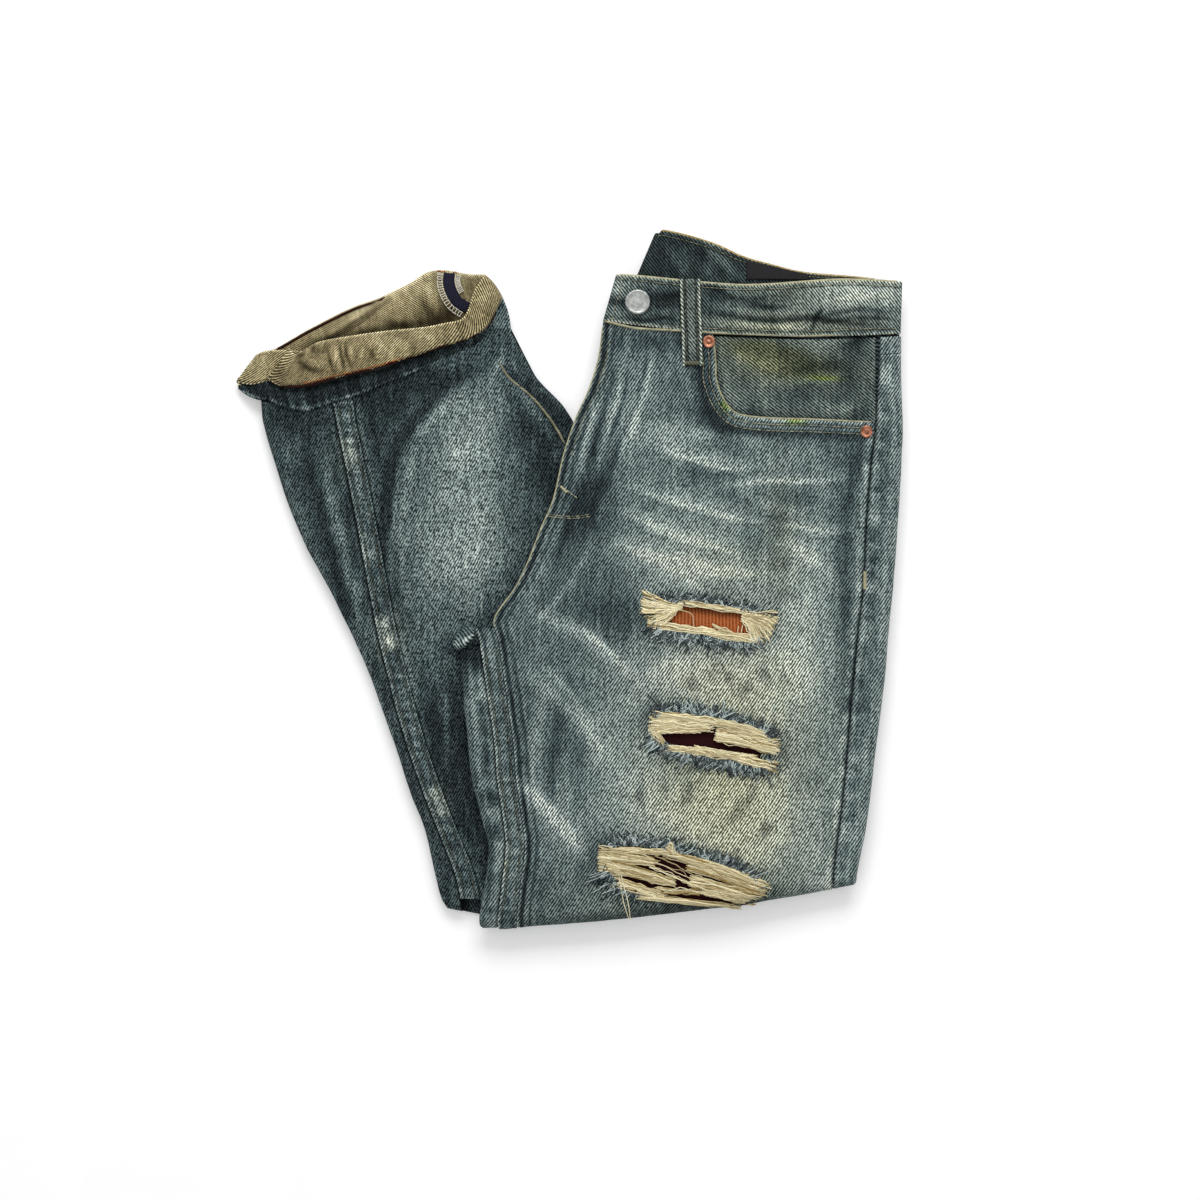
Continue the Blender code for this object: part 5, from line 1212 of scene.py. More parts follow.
def cord_material(name, low, high, ribs, pitch):
    """Plain cloth behind a rip: upright ribs of a given strength and pitch, with a soft fleck."""
    made, g, shader = new_material(name)
    flat = g.attribute("flat", "Vector")
    parts = g.add("ShaderNodeSeparateXYZ", None, Vector=flat)
    rib = g.stripes(parts.outputs[0], pitch * MM, g.noise(flat, 120), 2.4)
    rib = g.math("ADD", g.math("MULTIPLY", rib, 0.5 * ribs), 0.5)
    fleck = g.math("MULTIPLY", g.math("SUBTRACT", g.noise(flat, 900), 0.5), 0.8)
    tone = g.math("ADD", rib, fleck, True)
    colour = g.shaded(g.ramp(tone, ((0, low), (1, high))))
    g.finish(shader, colour, 0.95, 0.1, 0.6, 0.0005, tone)
    return made


def metal_material(name, dark, bright, roughness):
    """Plated metal: two tones and a roughness that follow fine scuffs and worn patches."""
    made, g, shader = new_material(name)
    place_of = g.add("ShaderNodeTexCoord").outputs["Object"]
    scuff = g.noise(g.stretch(place_of, 1, 6), 500, 3)
    colour = g.ramp(g.noise(place_of, 420, 4), ((0.35, dark), (0.62, bright)))
    rough = g.math("ADD", g.math("MULTIPLY", scuff, 0.3), roughness)
    g.finish(shader, colour, rough, 0.5, 0.25, 0.0002, scuff)
    shader.inputs["Metallic"].default_value = 1
    return made


# Mean colour of the cloth from unfaded to quite faded, and what its dark and pale yarns multiply it by.
INDIGO = ((0, (34, 43, 46)), (0.25, (62, 75, 78)), (0.5, (100, 114, 114)), (0.75, (135, 148, 146)),
          (1, (169, 179, 173)))
KHAKI = ((0, (58, 50, 32)), (0.25, (92, 84, 60)), (0.5, (128, 118, 88)), (0.75, (158, 148, 114)),
         (1, (196, 186, 152)))
DARK_YARN = (0.09, 0.12, 0.13, 1)
PALE_YARN = (2.5, 2.42, 2.36, 1)
# What soiled dark and pale yarns are multiplied by, the green of the spots, and the denim's inside.
SOIL = ((255, 236, 184), (255, 245, 226))
HEAVY_SOIL = ((206, 192, 140), (226, 212, 170))
GREEN = (196, 206, 96)
LINING_DARK = (82, 72, 52)
LINING_PALE = (150, 132, 96)


def make_materials(settings):
    """Every finish of the jeans, by name."""
    wide = settings.weave_width / MM
    woven = functools.partial(denim, weave=weave_group(), wear=wear_group(), relief=settings.relief)
    return {
        "denim": woven("Washed denim", INDIGO, 56, SOIL, wide, 0.7),
        "lower": woven("Shaded denim", INDIGO, 62, SOIL, wide * 0.93, 0.9),
        "band": woven("Waistband denim", INDIGO, -52, SOIL, wide, 0.6),
        "facing": woven("Facing denim", INDIGO, -40, HEAVY_SOIL, wide, 0.6),
        "khaki": woven("Inside of the denim", KHAKI, -50, SOIL, wide * 0.9, 0.5),
        "cream": thread_material("Cream weft thread", (150, 124, 66), (255, 246, 206)),
        "fray": thread_material("Blue warp fray", (6, 20, 32), (200, 216, 212)),
        "stitch": thread_material("Washed topstitch", (60, 64, 56), (190, 186, 154)),
        "rust_stitch": thread_material("Rust stitch", (34, 18, 18), (204, 118, 62)),
        "white": thread_material("White overlock", (196, 190, 168), (244, 240, 226)),
        "rust": cord_material("Rust corduroy", (104, 44, 20), (206, 122, 70), 0.6, 2.4),
        "maroon": cord_material("Maroon cloth", (22, 8, 10), (58, 20, 22), 0.2, 1.2),
        "tape": cord_material("Navy tape", (14, 14, 24), (52, 52, 72), 0.5, 1.1),
        "label": cord_material("Black satin", (14, 14, 15), (58, 56, 58), 0.3, 0.8),
        "copper": metal_material("Worn copper", (120, 74, 54), (204, 144, 116), 0.34),
        "nickel": metal_material("Dull nickel", (160, 162, 158), (196, 198, 196), 0.4),
    }


FINISH = {}


def denim_fields(fade_and_shading, soil=0, green=0, shade=1, **others):
    """The point fields that the denim reads."""
    return {"fade_and_shading": np.clip(fade_and_shading, 0, 1), "soil": np.clip(soil, 0, 1), "green": np.clip(green, 0, 1),
            "shade": shade, **others}


def washed(x, y, base, seed):
    """Uneven washing of one piece: clouds of two sizes and streaks down the cloth."""
    return (base + 0.07 * cloud(x, y, 34, 40, seed) + 0.06 * cloud(x, y, 11, 13, seed + 1)
            + 0.05 * cloud(x, y, 4, 26, seed + 2))


# ---------------------------------------------------------------- the upper half
def fine_stations(first, count, turns, last_turn):
    """Row numbers from first to the knee, then the turn angles round it."""
    station = np.concatenate([np.linspace(first, PILE_END, count), np.full(turns, PILE_END)])
    roll = np.concatenate([np.zeros(count), np.radians(np.linspace(0, last_turn, turns + 1)[1:])])
    return station[:, None], roll[:, None]


def front_fields(x, flat, from_fly, to_seam):
    """Fading, soil and shade of the front over its flat cloth."""
    fade_and_shading = washed(x, flat, 0.42, 11) + patches(FRONT_FADES_AND_SHADE, x, flat) + 1.15 * strokes(FRONT_STROKES, x, flat)
    fade_and_shading = fade_and_shading + bells(from_pocket(x, flat), *POCKET_FADES) + bells(from_fly, *FLY_FADES)
    fade_and_shading = fade_and_shading + (0.2 + 0.34 * ripple(flat, 5, 15)) * bell(to_seam, 3, 2.6) - 0.4 * bell(to_seam, 0, 1.3)
    stain = soft_step(patches(FRONT_STAINS, x, flat) * (3.2 + 1.2 * cloud(x, flat, 3, 3, 19)))
    shade = 1 - 0.42 * stain
    fade_and_shading = fade_and_shading - 0.16 * stain
    for k in range(len(RIPS)):
        ring = bell(np.maximum(rip_measure(k, x, flat), 1), 1, 0.3)
        shade = shade * (1 - 0.3 * ring)
        fade_and_shading = fade_and_shading - 0.14 * ring
    shade = shade * (1 - 0.4 * bell(from_fly, 3, 1.2)) * (1 - 0.45 * bell(to_seam, 0, 1))
    under_band = np.maximum(pile_line(0, x)[0] - flat, 0)
    shade = shade * (1 - 0.62 * bell(under_band, 0, 2.2)) * (1 - 0.2 * bell(under_band, 0, 7))
    return denim_fields(fade_and_shading, patches(FRONT_SOIL, x, flat), patches(EDGE_GREEN, x, flat), shade)


def snap_to_line(x, flat, keep, line, reach):
    """Moves the corners between kept and cut cells onto the cut line, where they are near it."""
    wide = np.pad(keep, 1)
    corners = np.stack([wide[:-1, :-1], wide[:-1, 1:], wide[1:, :-1], wide[1:, 1:]])
    inner = np.zeros(x.shape, dtype=bool)
    inner[1:-1, 1:-1] = True
    mixed = corners.any(axis=0) & ~corners.all(axis=0) & inner
    distance, near_x, near_y, _, _ = nearest_on_line(line, x[mixed], flat[mixed])
    close = distance < reach
    moved_x, moved_y = x.copy(), flat.copy()
    moved_x[mixed] = np.where(close, near_x, x[mixed])
    moved_y[mixed] = np.where(close, near_y, flat[mixed])
    return moved_x, moved_y


def cell_middles(grid):
    """Middle value of every cell of a grid."""
    return 0.25 * (grid[:-1, :-1] + grid[:-1, 1:] + grid[1:, :-1] + grid[1:, 1:])


def left_front():
    """Left front: a grid over the rows and their width, carried round the knee.

    Cells inside the pocket opening and the rips are left out, and the cut edges follow their lines.
    """
    station, roll = fine_stations(0, 270, 20, 165)
    across = np.concatenate([[0, 0.002, 0.005, 0.01, 0.015], np.linspace(0.022, 0.985, 122), [0.992, 1]])
    left = smooth(PILE["front_x"], station)
    right = smooth(PILE["outseam_x"], station) - 0.5 * GAP
    x = left + (right - left) * across
    y, top = pile_top(station, x)
    flat = y - (top - KNEE_RADIUS) * roll
    middle_x, middle_y = cell_middles(x), cell_middles(flat)
    _, _, _, side, _ = nearest_on_line(POCKET_LINE, middle_x, middle_y)
    keep = ~((side > 0) & (middle_x > 99) & (middle_y > 108))
    for k in range(len(RIPS)):
        ragged = 0.98 + 0.098 * cloud(middle_x, middle_y, 3, 6, 40 + k)
        keep &= rip_measure(k, middle_x, middle_y) > ragged
    moved_x, moved_y = snap_to_line(x, flat, keep, POCKET_LINE, 1.7)
    relief = front_relief(moved_x, moved_y)
    top = top - front_drop(station, x)
    skins = [rolled(moved_x, y + moved_y - flat, top + share * relief - depth, roll)
             for depth, share in DEPTHS]
    fields = front_fields(moved_x, moved_y, x - left, right - x)
    cloth("left_front_cloth", skins, fields, (moved_x, moved_y), "left_front_panel", keep=keep)


def edge_wrap(name, station, roll, start, centre, side, base_fade, seed, node, raise_at_seam):
    """Cloth from a seam to the pile's edge and half round it: side is 1 at the right, -1 at the left.

    Past the edge's centre line the cloth follows a circle: its sine outwards and its cosine down.
    """
    turn = np.concatenate([np.zeros(14), np.radians(np.linspace(0, 172, 18))])
    share = np.concatenate([np.linspace(0, 1, 15)[:-1], np.ones(18)])
    read_x = start + (centre - start) * share
    y, top = pile_top(station, read_x)
    laid = read_x + side * FOLD_RADIUS * turn
    from_seam = np.abs(laid - start)
    pucker = (0.4 + 0.6 * ripple(y, 4.4, seed + 3)) * bell(from_seam, 2.2, 2)
    bulge = ridges(STRIP_CREASES, laid, y) + 0.25 * cloud(laid, y, 9, 12, seed)
    bulge = bulge + raise_at_seam * pucker - 0.5 * bell(from_seam, 0, 0.8)
    skins = []
    for depth, share in DEPTHS:
        radius = FOLD_RADIUS - depth
        x = read_x + side * (radius + 0.6 * share * bulge) * np.sin(turn)
        height = top - FOLD_RADIUS + (radius + share * bulge) * np.cos(turn)
        skins.append(rolled(x, y, height, roll))
    flat_y = y - KNEE_RUN * roll
    fade_and_shading = washed(laid, flat_y, base_fade, seed) + 0.2 * bell(from_seam, 2.4, 1.8)
    fade_and_shading = fade_and_shading + 0.34 * ripple(flat_y, 5, seed + 4) * bell(from_seam, 5, 4)
    fade_and_shading = fade_and_shading + 0.18 * bell(np.abs(laid - centre), 3, 2.4) + 0.2 * ridges(STRIP_CREASES, laid, flat_y)
    shade = 1 - 0.6 * bell(from_seam, 0, 1.1)
    # Painted shade: the inseam strip is darker where its top tucks under the curled end of the crossing
    # seams, and just past its folded edge.
    if side < 0:
        fade_and_shading = fade_and_shading - 0.34 * bell(flat_y, -46, 16) - 0.14 * bell(laid - centre, -2, 3)
        shade = shade * (1 - 0.6 * bell(flat_y, -50, 8))
    cloth(name, skins, denim_fields(fade_and_shading, shade=shade), (laid, flat_y), node)


def left_back_cloth():
    """The yoke and the back beside the side seam, and the strip beside the inseam."""
    for name, node, station, roll in (
            ("left_yoke_cloth", "left_back_yoke", along_rows(0.05, 0.62, 22), np.zeros((22, 1))),
            ("left_back_cloth", "left_back_panel", *fine_stations(0.64, 270, 14, 105))):
        start = smooth(PILE["outseam_x"], station) + 0.5 * GAP
        centre = smooth(PILE["right_x"], station) - FOLD_RADIUS
        edge_wrap(name, station, roll, start, centre, 1, 0.42, 51, node, 0.9)
    station, roll = fine_stations(CROTCH_ROW + 0.3, 120, 14, 105)
    start = smooth(PILE["front_x"], station) - FELL_WIDTH - GAP
    centre = smooth(PILE["left_x"], station) + FOLD_RADIUS
    edge_wrap("inseam_strip_cloth", station, roll, start, centre, -1, 0.32, 61, "left_back_inseam_strip", 0.3)


def fell_profile(t):
    """Relief across a felled seam: full between its edges, dipping at its two rows of stitching."""
    body = np.minimum(1, np.minimum(t, 1 - t) / 0.08)
    return 0.35 + 0.75 * body - 0.45 * bell_rows(t, FELL_SEWN, 0.05)


def left_fell():
    """Raised felled seam between the left front and the strip, puckered along its stitching."""
    station, roll = fine_stations(CROTCH_ROW - 0.55, 150, 14, 105)
    t = across_rows(0, 1, 16)
    x = smooth(PILE["front_x"], station) - FELL_WIDTH + (FELL_WIDTH - GAP) * t
    y, top = pile_top(station, x)
    flat = y - KNEE_RUN * roll
    lift = fell_profile(t) + 0.22 * cloud(x, flat, 5, 4, 71)
    skins = [rolled(x, y, height, roll) for height in (top + lift, top - CLOTH)]
    rubs = ridges(FELL_RUBS, x, flat)
    fade_and_shading = washed(x, flat, 0.46, 73) + rubs + 0.4 * bell(t, 0, 0.1) - 0.34 * bell_rows(t, FELL_SEWN, 0.07)
    fade_and_shading = fade_and_shading + 0.22 * cloud(0, flat, 1, 3.2, 75) * bell(t, 0.5, 0.4)
    fields = denim_fields(fade_and_shading, np.minimum(2 * rubs, 0.9), shade=1 - 0.5 * bell(t, 1, 0.05))
    cloth("left_fell_cloth", skins, fields, (x, flat), "left_inseam_fell")


def crotch_roll():
    """Curled end of the crossing seams: ovals along a short path, ribbed round."""
    steps, sides = 40, 28
    path = curve_through(ROLL_PATH, steps)
    size = curve_through(ROLL_SIZES, steps)
    angles = np.linspace(0, 2 * np.pi, sides, endpoint=False)
    rib = 1 + 0.06 * np.sin(3 * angles + along_rows(0, 6, steps))
    rings = xyz(path[:, :1], path[:, 1:2] + size[:, :1] * np.cos(angles) * rib,
                path[:, 2:] + size[:, 1:] * np.sin(angles) * rib)
    index = np.arange(steps * sides).reshape(steps, sides)
    fan = ring_fan(sides)
    quads = np.concatenate([ring_walls(index), index[0][fan], index[-1][fan[:, ::-1]]])
    fields = denim_fields(0.3 + bells(angles, (0.55, 1.9, 0.35), (0.35, 4.6, 0.4)), inside=0)
    piece = add_mesh("crotch_roll_cloth", rings, quads, FINISH["denim"], fields,
                     xyz(rings[..., 0], angles * 5, 0))
    place(piece, "denim_dark", "crotch_seam_roll")


# ---------------------------------------------------------------- hidden layers
def layered_side(edge, inward, low, high, noses, seed, rows):
    """Folded edges one above the other: each nose a half round, each groove between them tucked in."""
    t = across_rows(0, 1, noses * 8 + 1)
    part = np.where(t == 1, 1, np.mod(t * noses, 1))
    groove = 1 - np.sqrt(np.clip(1 - (2 * part - 1) ** 2, 0, 1))
    layer = np.minimum((t * noses).astype(int), noses - 1)
    x = edge + inward * (1.3 + 0.7 * cloud(rows, layer * 3, 2.3, 1, seed) + 3 * groove)
    return x, low + (high - low) * (t + 0 * rows)


def core_outline(left, right, x_top, z_top, sides, notch_in, floor):
    """Outline of one section, row by row: underside, right side, top, left side and notch."""
    (side_x, side_z), (left_x, left_z) = sides
    under_x = left + notch_in + (right - 5 - left - notch_in) * across_rows(0, 1, 8)
    x = np.concatenate([under_x, side_x, x_top[:, ::-1], left_x[:, ::-1], left + notch_in], axis=1)
    z = np.concatenate([0 * under_x, side_z, z_top[:, ::-1], left_z[:, ::-1], floor + 0 * left], axis=1)
    return x, z


def layered_sides(right_x, left_x, right_step, left_step, floor, rows):
    """The two layered sides of a section: four folded edges at the right and three at the left."""
    return (layered_side(right_x, -1, 0, right_step, 4, 81, rows),
            layered_side(left_x, 1, floor, left_step, 3, 84, rows))


def waist_core(across, ends):
    """Rings of the hidden cloth above the waist seam."""
    steps = along_rows(0, len(WAIST_CORE_ROWS) - 1, 24)
    left_x, left_y, right_x, right_y, depth, sag = columns_at(WAIST_CORE_ROWS, steps)
    x_top = left_x + 4.7 + (right_x - 8.1 - left_x - 4.7) * across
    z_top = waist_height(x_top) - depth - 0.5 * ends
    sides = layered_sides(right_x - 2.5, left_x + 2.5, z_top[:, -1:] - 2, z_top[:, :1] - 1.2, 0, steps * 2)
    x, z = core_outline(left_x, right_x, x_top, z_top, sides, 7, 0)
    share = (x - left_x) / (right_x - left_x)
    return xyz(x, left_y + (right_y - left_y) * share + sag * 4 * share * (1 - share), z)


def pile_core(across, ends):
    """Rings of the hidden cloth from the waist seam to the knee."""
    rows = along_rows(0, PILE_END, 170)
    strip = soft_step((rows - CROTCH_ROW + 0.25) * 4)
    under = soft_step((rows - NOTCH_ROW + 0.6) * 2)
    left_x = smooth(PILE["left_x"], rows) + 10 * bell(rows, CROTCH_ROW - 0.1, 0.8)
    right_x = smooth(PILE["right_x"], rows)
    start = left_x + 2.2 + 3.4 * strip
    x_top = start + (right_x - 5.6 - start) * across
    z_top = pile_point(rows, x_top, CORE_DEPTH)[..., 2]
    z_top = z_top - (1 - strip) * (1.8 * (across < 0.005) + 0.9 * ((across > 0.005) & (across < 0.02)))
    floor = NOTCH_HEIGHT * under
    wrapped = CORE_DEPTH - 2 * FOLD_RADIUS
    sides = layered_sides(right_x, left_x, z_top[:, -1:] + wrapped,
                          z_top[:, :1] - 1.7 + strip * (1.7 + wrapped), floor, rows)
    x, z = core_outline(left_x, right_x, x_top, z_top - 0.5 * ends, sides,
                        4.5 + (NOTCH_DEPTH - 4.5) * under, floor)
    return xyz(x, pile_line(rows, x)[0], z)


def knee_core(last):
    """Rings of the hidden cloth round the knee, from the last ring before it."""
    turns = np.radians(along_rows(0, 78, 12))
    x = np.clip(last[:, 0], PILE["left_x"][-1] + NOTCH_DEPTH, PILE["right_x"][-1] - 5.6)
    y, _ = pile_line(PILE_END, x)
    top = pile_point(PILE_END, x, CORE_DEPTH + 0.6)[..., 2]
    z = np.clip(last[:, 2], 2 * KNEE_RADIUS - top, top)
    return xyz(x, y - 0.25 - (top - KNEE_RADIUS) * np.sin(turns),
               KNEE_RADIUS + (z - KNEE_RADIUS) * np.cos(turns))


def hidden_cloth():
    """The cloth under the top layer: one body whose sides show its folded layers.

    Sections run from the waist to the knee, then turn round it.
    """
    across = np.concatenate([[0, 0.01, 0.03], np.linspace(0.07, 0.93, 18), [0.97, 0.99, 1]])[None, :]
    ends = (across < 0.005) | (across > 0.995)
    lower = pile_core(across, ends)
    rings = np.concatenate([waist_core(across, ends), lower, knee_core(lower[-1])])
    index = np.arange(rings[..., 0].size).reshape(rings.shape[:2])
    x, y, z = np.moveaxis(rings, -1, 0)
    fields = denim_fields(washed(x, y, 0.16, 91) + 0.2 * cloud(z, y, 1.6, 30, 93), shade=0.8, inside=0)
    piece = add_mesh("hidden_cloth", rings, ring_walls(index), FINISH["denim"], fields, xyz(z * 2, y, 0),
                     caps=(index[0].tolist(), index[-1][::-1].tolist()))
    place(piece, "denim_dark", "hidden_layers")


def pocket_facing():
    """Facing inside the pocket opening: rows and widths of the pile, one layer down, softly creased."""
    station = along_rows(0.05, 3.4, 66)
    x = across_rows(94, 214, 76) + 0 * station
    y, _ = pile_line(station, x)
    crease = ridges(FACING_CREASES, x, y)
    lift = 0.4 * crease + 0.12 * cloud(x, y, 7, 6, 101)
    outer, inner = (pile_point(station, x, depth) for depth in (FACING_DEPTH, FACING_DEPTH + UNDER))
    outer[..., 2] += np.minimum(lift, 0.25) - 0.15
    # Crease crests are lighter and their valleys darker: partly real wear, partly painted light and shade.
    fade_and_shading = washed(x, y, 0.44, 103) + patches(FACING_FADES, x, y) + 0.35 * crease
    fields = denim_fields(fade_and_shading, 0.3 + patches(FACING_SOIL, x, y), patches(FACING_GREEN, x, y),
                          1 - 0.55 * bell(from_pocket(x, y), 0, 3))
    cloth("pocket_facing_cloth", (outer, inner), fields, (x, y), "pocket_facing", finish="facing",
          slot="denim_inside", held="laid")


def rip_cloth():
    """Cloth sewn behind each rip: a grid along its tilt, lying one layer down and a little rumpled."""
    for k, (finish, slot) in enumerate((("rust", "rust_corduroy"), ("maroon", "maroon_cloth"),
                                        ("maroon", "maroon_cloth"))):
        middle_x, middle_y, half_length, half_height, tilt = RIPS[k]
        length, height = half_length + 8, half_height + 6
        along, up = np.meshgrid(np.linspace(-length, length, 64), np.linspace(height, -height, 30))
        x = middle_x + along
        y = middle_y + along * math.tan(math.radians(tilt)) + up
        past = np.maximum(fold_edge(x) + 8 - y, 0)
        y = y + past - 5.5 * (1 - np.exp(-past / 5.5))
        top, flat = pile_reading(x, y)
        rumple = 0.15 * cloud(x, y, 9, 5, 111 + k)
        outer = xyz(x, y, top - FACING_DEPTH - 0.15 + rumple)
        inner = xyz(x, y, top - FACING_DEPTH - UNDER)
        shade = 1 - 0.62 * bell(up, half_height - 0.5, 3.6) - 0.25 * bell(up, -half_height, 2)
        cloth(f"rip_cloth_{k + 1}", (outer, inner), {"shade": np.clip(shade, 0.2, 1)}, (x, flat),
              f"rip_patch_{k + 1}", finish=finish, slot=slot, held="laid")


# ---------------------------------------------------------------- waist
def band_grid(rows, count, t):
    """Places of a waistband on the table, from its lower to its upper edge."""
    low_x, low_y, top_x, top_y = columns_at(rows, along_rows(0, len(rows) - 1, count))
    return low_x + (top_x - low_x) * t, low_y + (top_y - low_y) * t


def folded_band(x, y, z, thickness, side):
    """Skins of a doubled band that ends in a half-round fold, at its last station or its first."""
    radius = 3.2
    turns = np.radians(along_rows(10, 170, 14))
    end = -1 if side > 0 else 0
    skins = []
    for depth in (0, thickness):
        flat = xyz(x, y, z - depth)
        arc = xyz(x[end] + side * (radius - depth) * np.sin(turns), y[end],
                  z[end] - radius + (radius - depth) * np.cos(turns))
        skins.append(np.concatenate([flat, arc]) if side > 0 else np.concatenate([arc[::-1], flat]))
    return skins


def band_fields(x, y, t, base, fades, soils, seed, crease):
    """Fields of a waistband: pale worn edges, darker along its two stitch rows, crease crests paler from wear
    and painted light, and painted shade in the crease valleys.
    """
    fade_and_shading = washed(x, y, base, seed) + patches(fades, x, y) + 0.42 * crease
    fade_and_shading = fade_and_shading + bells(t, (0.45, 1, 0.035), (0.35, 0, 0.03), (-0.18, 0.9, 0.03), (-0.22, 0.085, 0.03))
    soil = 0.25 + patches(soils, x, y) + 0.7 * bell(t, 1, 0.04)
    return denim_fields(fade_and_shading, soil, shade=1 - 0.55 * np.clip(-crease, 0, 1.2))


def band_relief(x, y, t, crease, seed):
    """Relief of a waistband: its creases, and puckers beside both stitch rows."""
    lift = 0.8 * crease + 0.2 * cloud(x, y, 12, 9, seed)
    lift = lift + bell_rows(t, BAND_SEWN, 0.05) * (0.35 * ripple(x, 3.6, seed + 1) - 0.25)
    return np.clip(lift, -0.6, 0.8)


def waistbands():
    """The two waistbands: grids between their edges with rounded borders, each ending in a fold."""
    t = np.concatenate([[0, 0.015, 0.04], np.linspace(0.07, 0.93, 26), [0.96, 0.985, 1]])
    border = 0.7 * (1 - np.minimum(1, np.minimum(t, 1 - t) / 0.04)) ** 2
    x, y = band_grid(FRONT_BAND_ROWS, 190, t)
    seam_y, _ = pile_line(0, x[:, 0])
    y = y + (seam_y[:, None] + 0.8 - y[:, :1]) * (1 - t)
    lift = band_relief(x, y, t, strokes(BAND_STROKES, x, y), 121) - 0.4 * bell(x, x[:1], 1.6)
    skins = folded_band(x, y, waist_height(x) - border + lift, BAND, 1)
    x, y, _ = np.moveaxis(skins[0], -1, 0)
    fields = band_fields(x, y, t, 0.47, BAND_FADES, BAND_SOIL, 123, strokes(BAND_STROKES, x, y))
    laid = x + 3 * (x - np.roll(x, 1, axis=0) < 0)
    cloth("front_waistband_cloth", skins, fields, (laid, y), "front_waistband", finish="band")

    t = np.concatenate([np.linspace(0, 0.93, 24), [0.96, 0.985, 1]])
    border = 0.6 * (1 - np.minimum(1, (1 - t) / 0.05)) ** 2
    x, y = band_grid(BACK_BAND_ROWS, 150, t)
    lift = band_relief(x, y, t, ridges(BACK_BAND_CREASES, x, y), 131)
    z = waist_height(x) - BACK_BAND_DROP - border + np.minimum(lift, 0.3)
    skins = folded_band(x, y, z, BAND - 0.2, -1)
    x, y, _ = np.moveaxis(skins[0], -1, 0)
    fields = band_fields(x, y, t + 0.2 * (t < 0.2), -0.06, BACK_FADES, (), 133,
                         ridges(BACK_BAND_CREASES, x, y))
    cloth("back_waistband_cloth", skins, fields, (x, y), "back_waistband", finish="band", slot="denim_dark")


def woven_label():
    """Blank label: a thin grid over its sloping rectangle, its ends turned under."""
    along, up = along_rows(0, LABEL_LENGTH, 60), across_rows(0, 1, 24)
    x = LABEL_X + along + 0 * up
    y = LABEL_Y + (LABEL_HEIGHT + LABEL_SLOPE * along) * up
    z = waist_height(x) - BACK_BAND_DROP + 0.1 * cloud(x, y, 9, 6, 141)
    side = np.minimum(np.minimum(along, LABEL_LENGTH - along), np.minimum(up, 1 - up) * LABEL_HEIGHT)
    outer = xyz(x, y, z + 1.1 - 0.5 * (1 - np.minimum(1, side / 1.2)) ** 2)
    fields = {"shade": 0.75 + 0.25 * np.minimum(1, side / 1.5)}
    cloth("label_cloth", (outer, xyz(x, y, z + 0.35)), fields, (x, y), "back_label", finish="label",
          slot="black_satin", held="laid", rests_on="back_waistband")


def loop_height(y):
    """Height of the belt loop's underside along its length."""
    face = float(waist_height(LOOP_X))
    front = float(pile_height(LOOP_X, 152))
    places = (149, 156, 162, 170.5, 180, 192, 203, 209, 212)
    heights = (front + 0.5, front + 0.6, front + 1.3, face + 0.9, face + 1.7, face + 1.9, face + 1.5,
               face + 0.7, face - 1.2)
    return smooth(heights, np.interp(y, places, np.arange(len(places))))


def loop_x(y, share):
    """The belt loop's x along its length, at a share of its width from its middle."""
    return LOOP_X - LOOP_LEAN * (y - 180) + LOOP_WIDTH * share


def belt_loop():
    """Belt loop: a strap over the waistband with raised edges and two sunk stitch rows."""
    y = along_rows(149, 209.6, 90)
    t = across_rows(0, 1, 28)
    x = loop_x(y, t - 0.5)
    out = np.abs(t - 0.5)
    face = 1.5 + bells(out, (0.5, 0.4, 0.07), (-0.5, LOOP_SEWN, 0.05), (-0.6, 0.5, 0.02))
    face = face + 0.12 * cloud(x, y, 3, 3.6, 151)
    base = loop_height(y)
    fade_and_shading = washed(x, y, 0.38, 153) + bells(out, (0.55, 0.45, 0.06), (-0.5, LOOP_SEWN, 0.06))
    cloth("belt_loop_cloth", (xyz(x, y, base + face), xyz(x, y, base)), denim_fields(fade_and_shading, 0.5), (x, y),
          "belt_loop", finish="band", held="laid", rests_on="front_waistband")


def hardware():
    """Tack button and two rivets: turned profiles with a thin rim, a dish and a nub."""
    turned("waist_button_metal", BUTTON_PROFILE, (47.6, 193.6, float(waist_height(47.6)) + 0.75), "nickel",
           "waist_button")
    for name, x, y in (("pocket_rivet_upper", 97.3, 166), ("pocket_rivet_side", 207.6, 103.3)):
        turned(name + "_metal", RIVET_PROFILE, (x, y, float(pile_height(x, y)) + 0.45), "copper", name)


# ---------------------------------------------------------------- lower leg
def leg_cloth():
    """The lower leg's front and back: grids round its tube, creased and shaded by listed lines."""
    stations = np.concatenate([along_rows(0.4, 1, 14)[:-1], along_rows(1, LEG_END, 214)])
    start = leg_around(smooth(LEG["inseam_x"], stations) + FELL_WIDTH + GAP, stations)
    leg_wall("leg_front_cloth", start + (1.965 - start) * across_rows(0, 1, 96), stations, FELL_WIDTH,
             (0.6, 1.5), 161, "right_leg_front")
    stations = np.concatenate([along_rows(0, 1, 18)[:-1], along_rows(1, LEG_END, 230)])
    end = leg_around(smooth(LEG["inseam_x"], stations) - GAP, stations)
    under = np.concatenate([np.linspace(0, 0.15, 8)[:-1], np.linspace(0.15, 0.85, 7)[:-1],
                            np.linspace(0.85, 1, 10)])
    around = np.concatenate([np.broadcast_to(under, (len(stations), len(under))),
                             1 + (end - 1) * across_rows(0, 1, 34)[:, 1:]], axis=1)
    leg_wall("leg_back_cloth", around, stations, 0, (0.95, 1.9), 171, "right_leg_back",
             "right_leg_back_fold", "right_leg_back_strip")


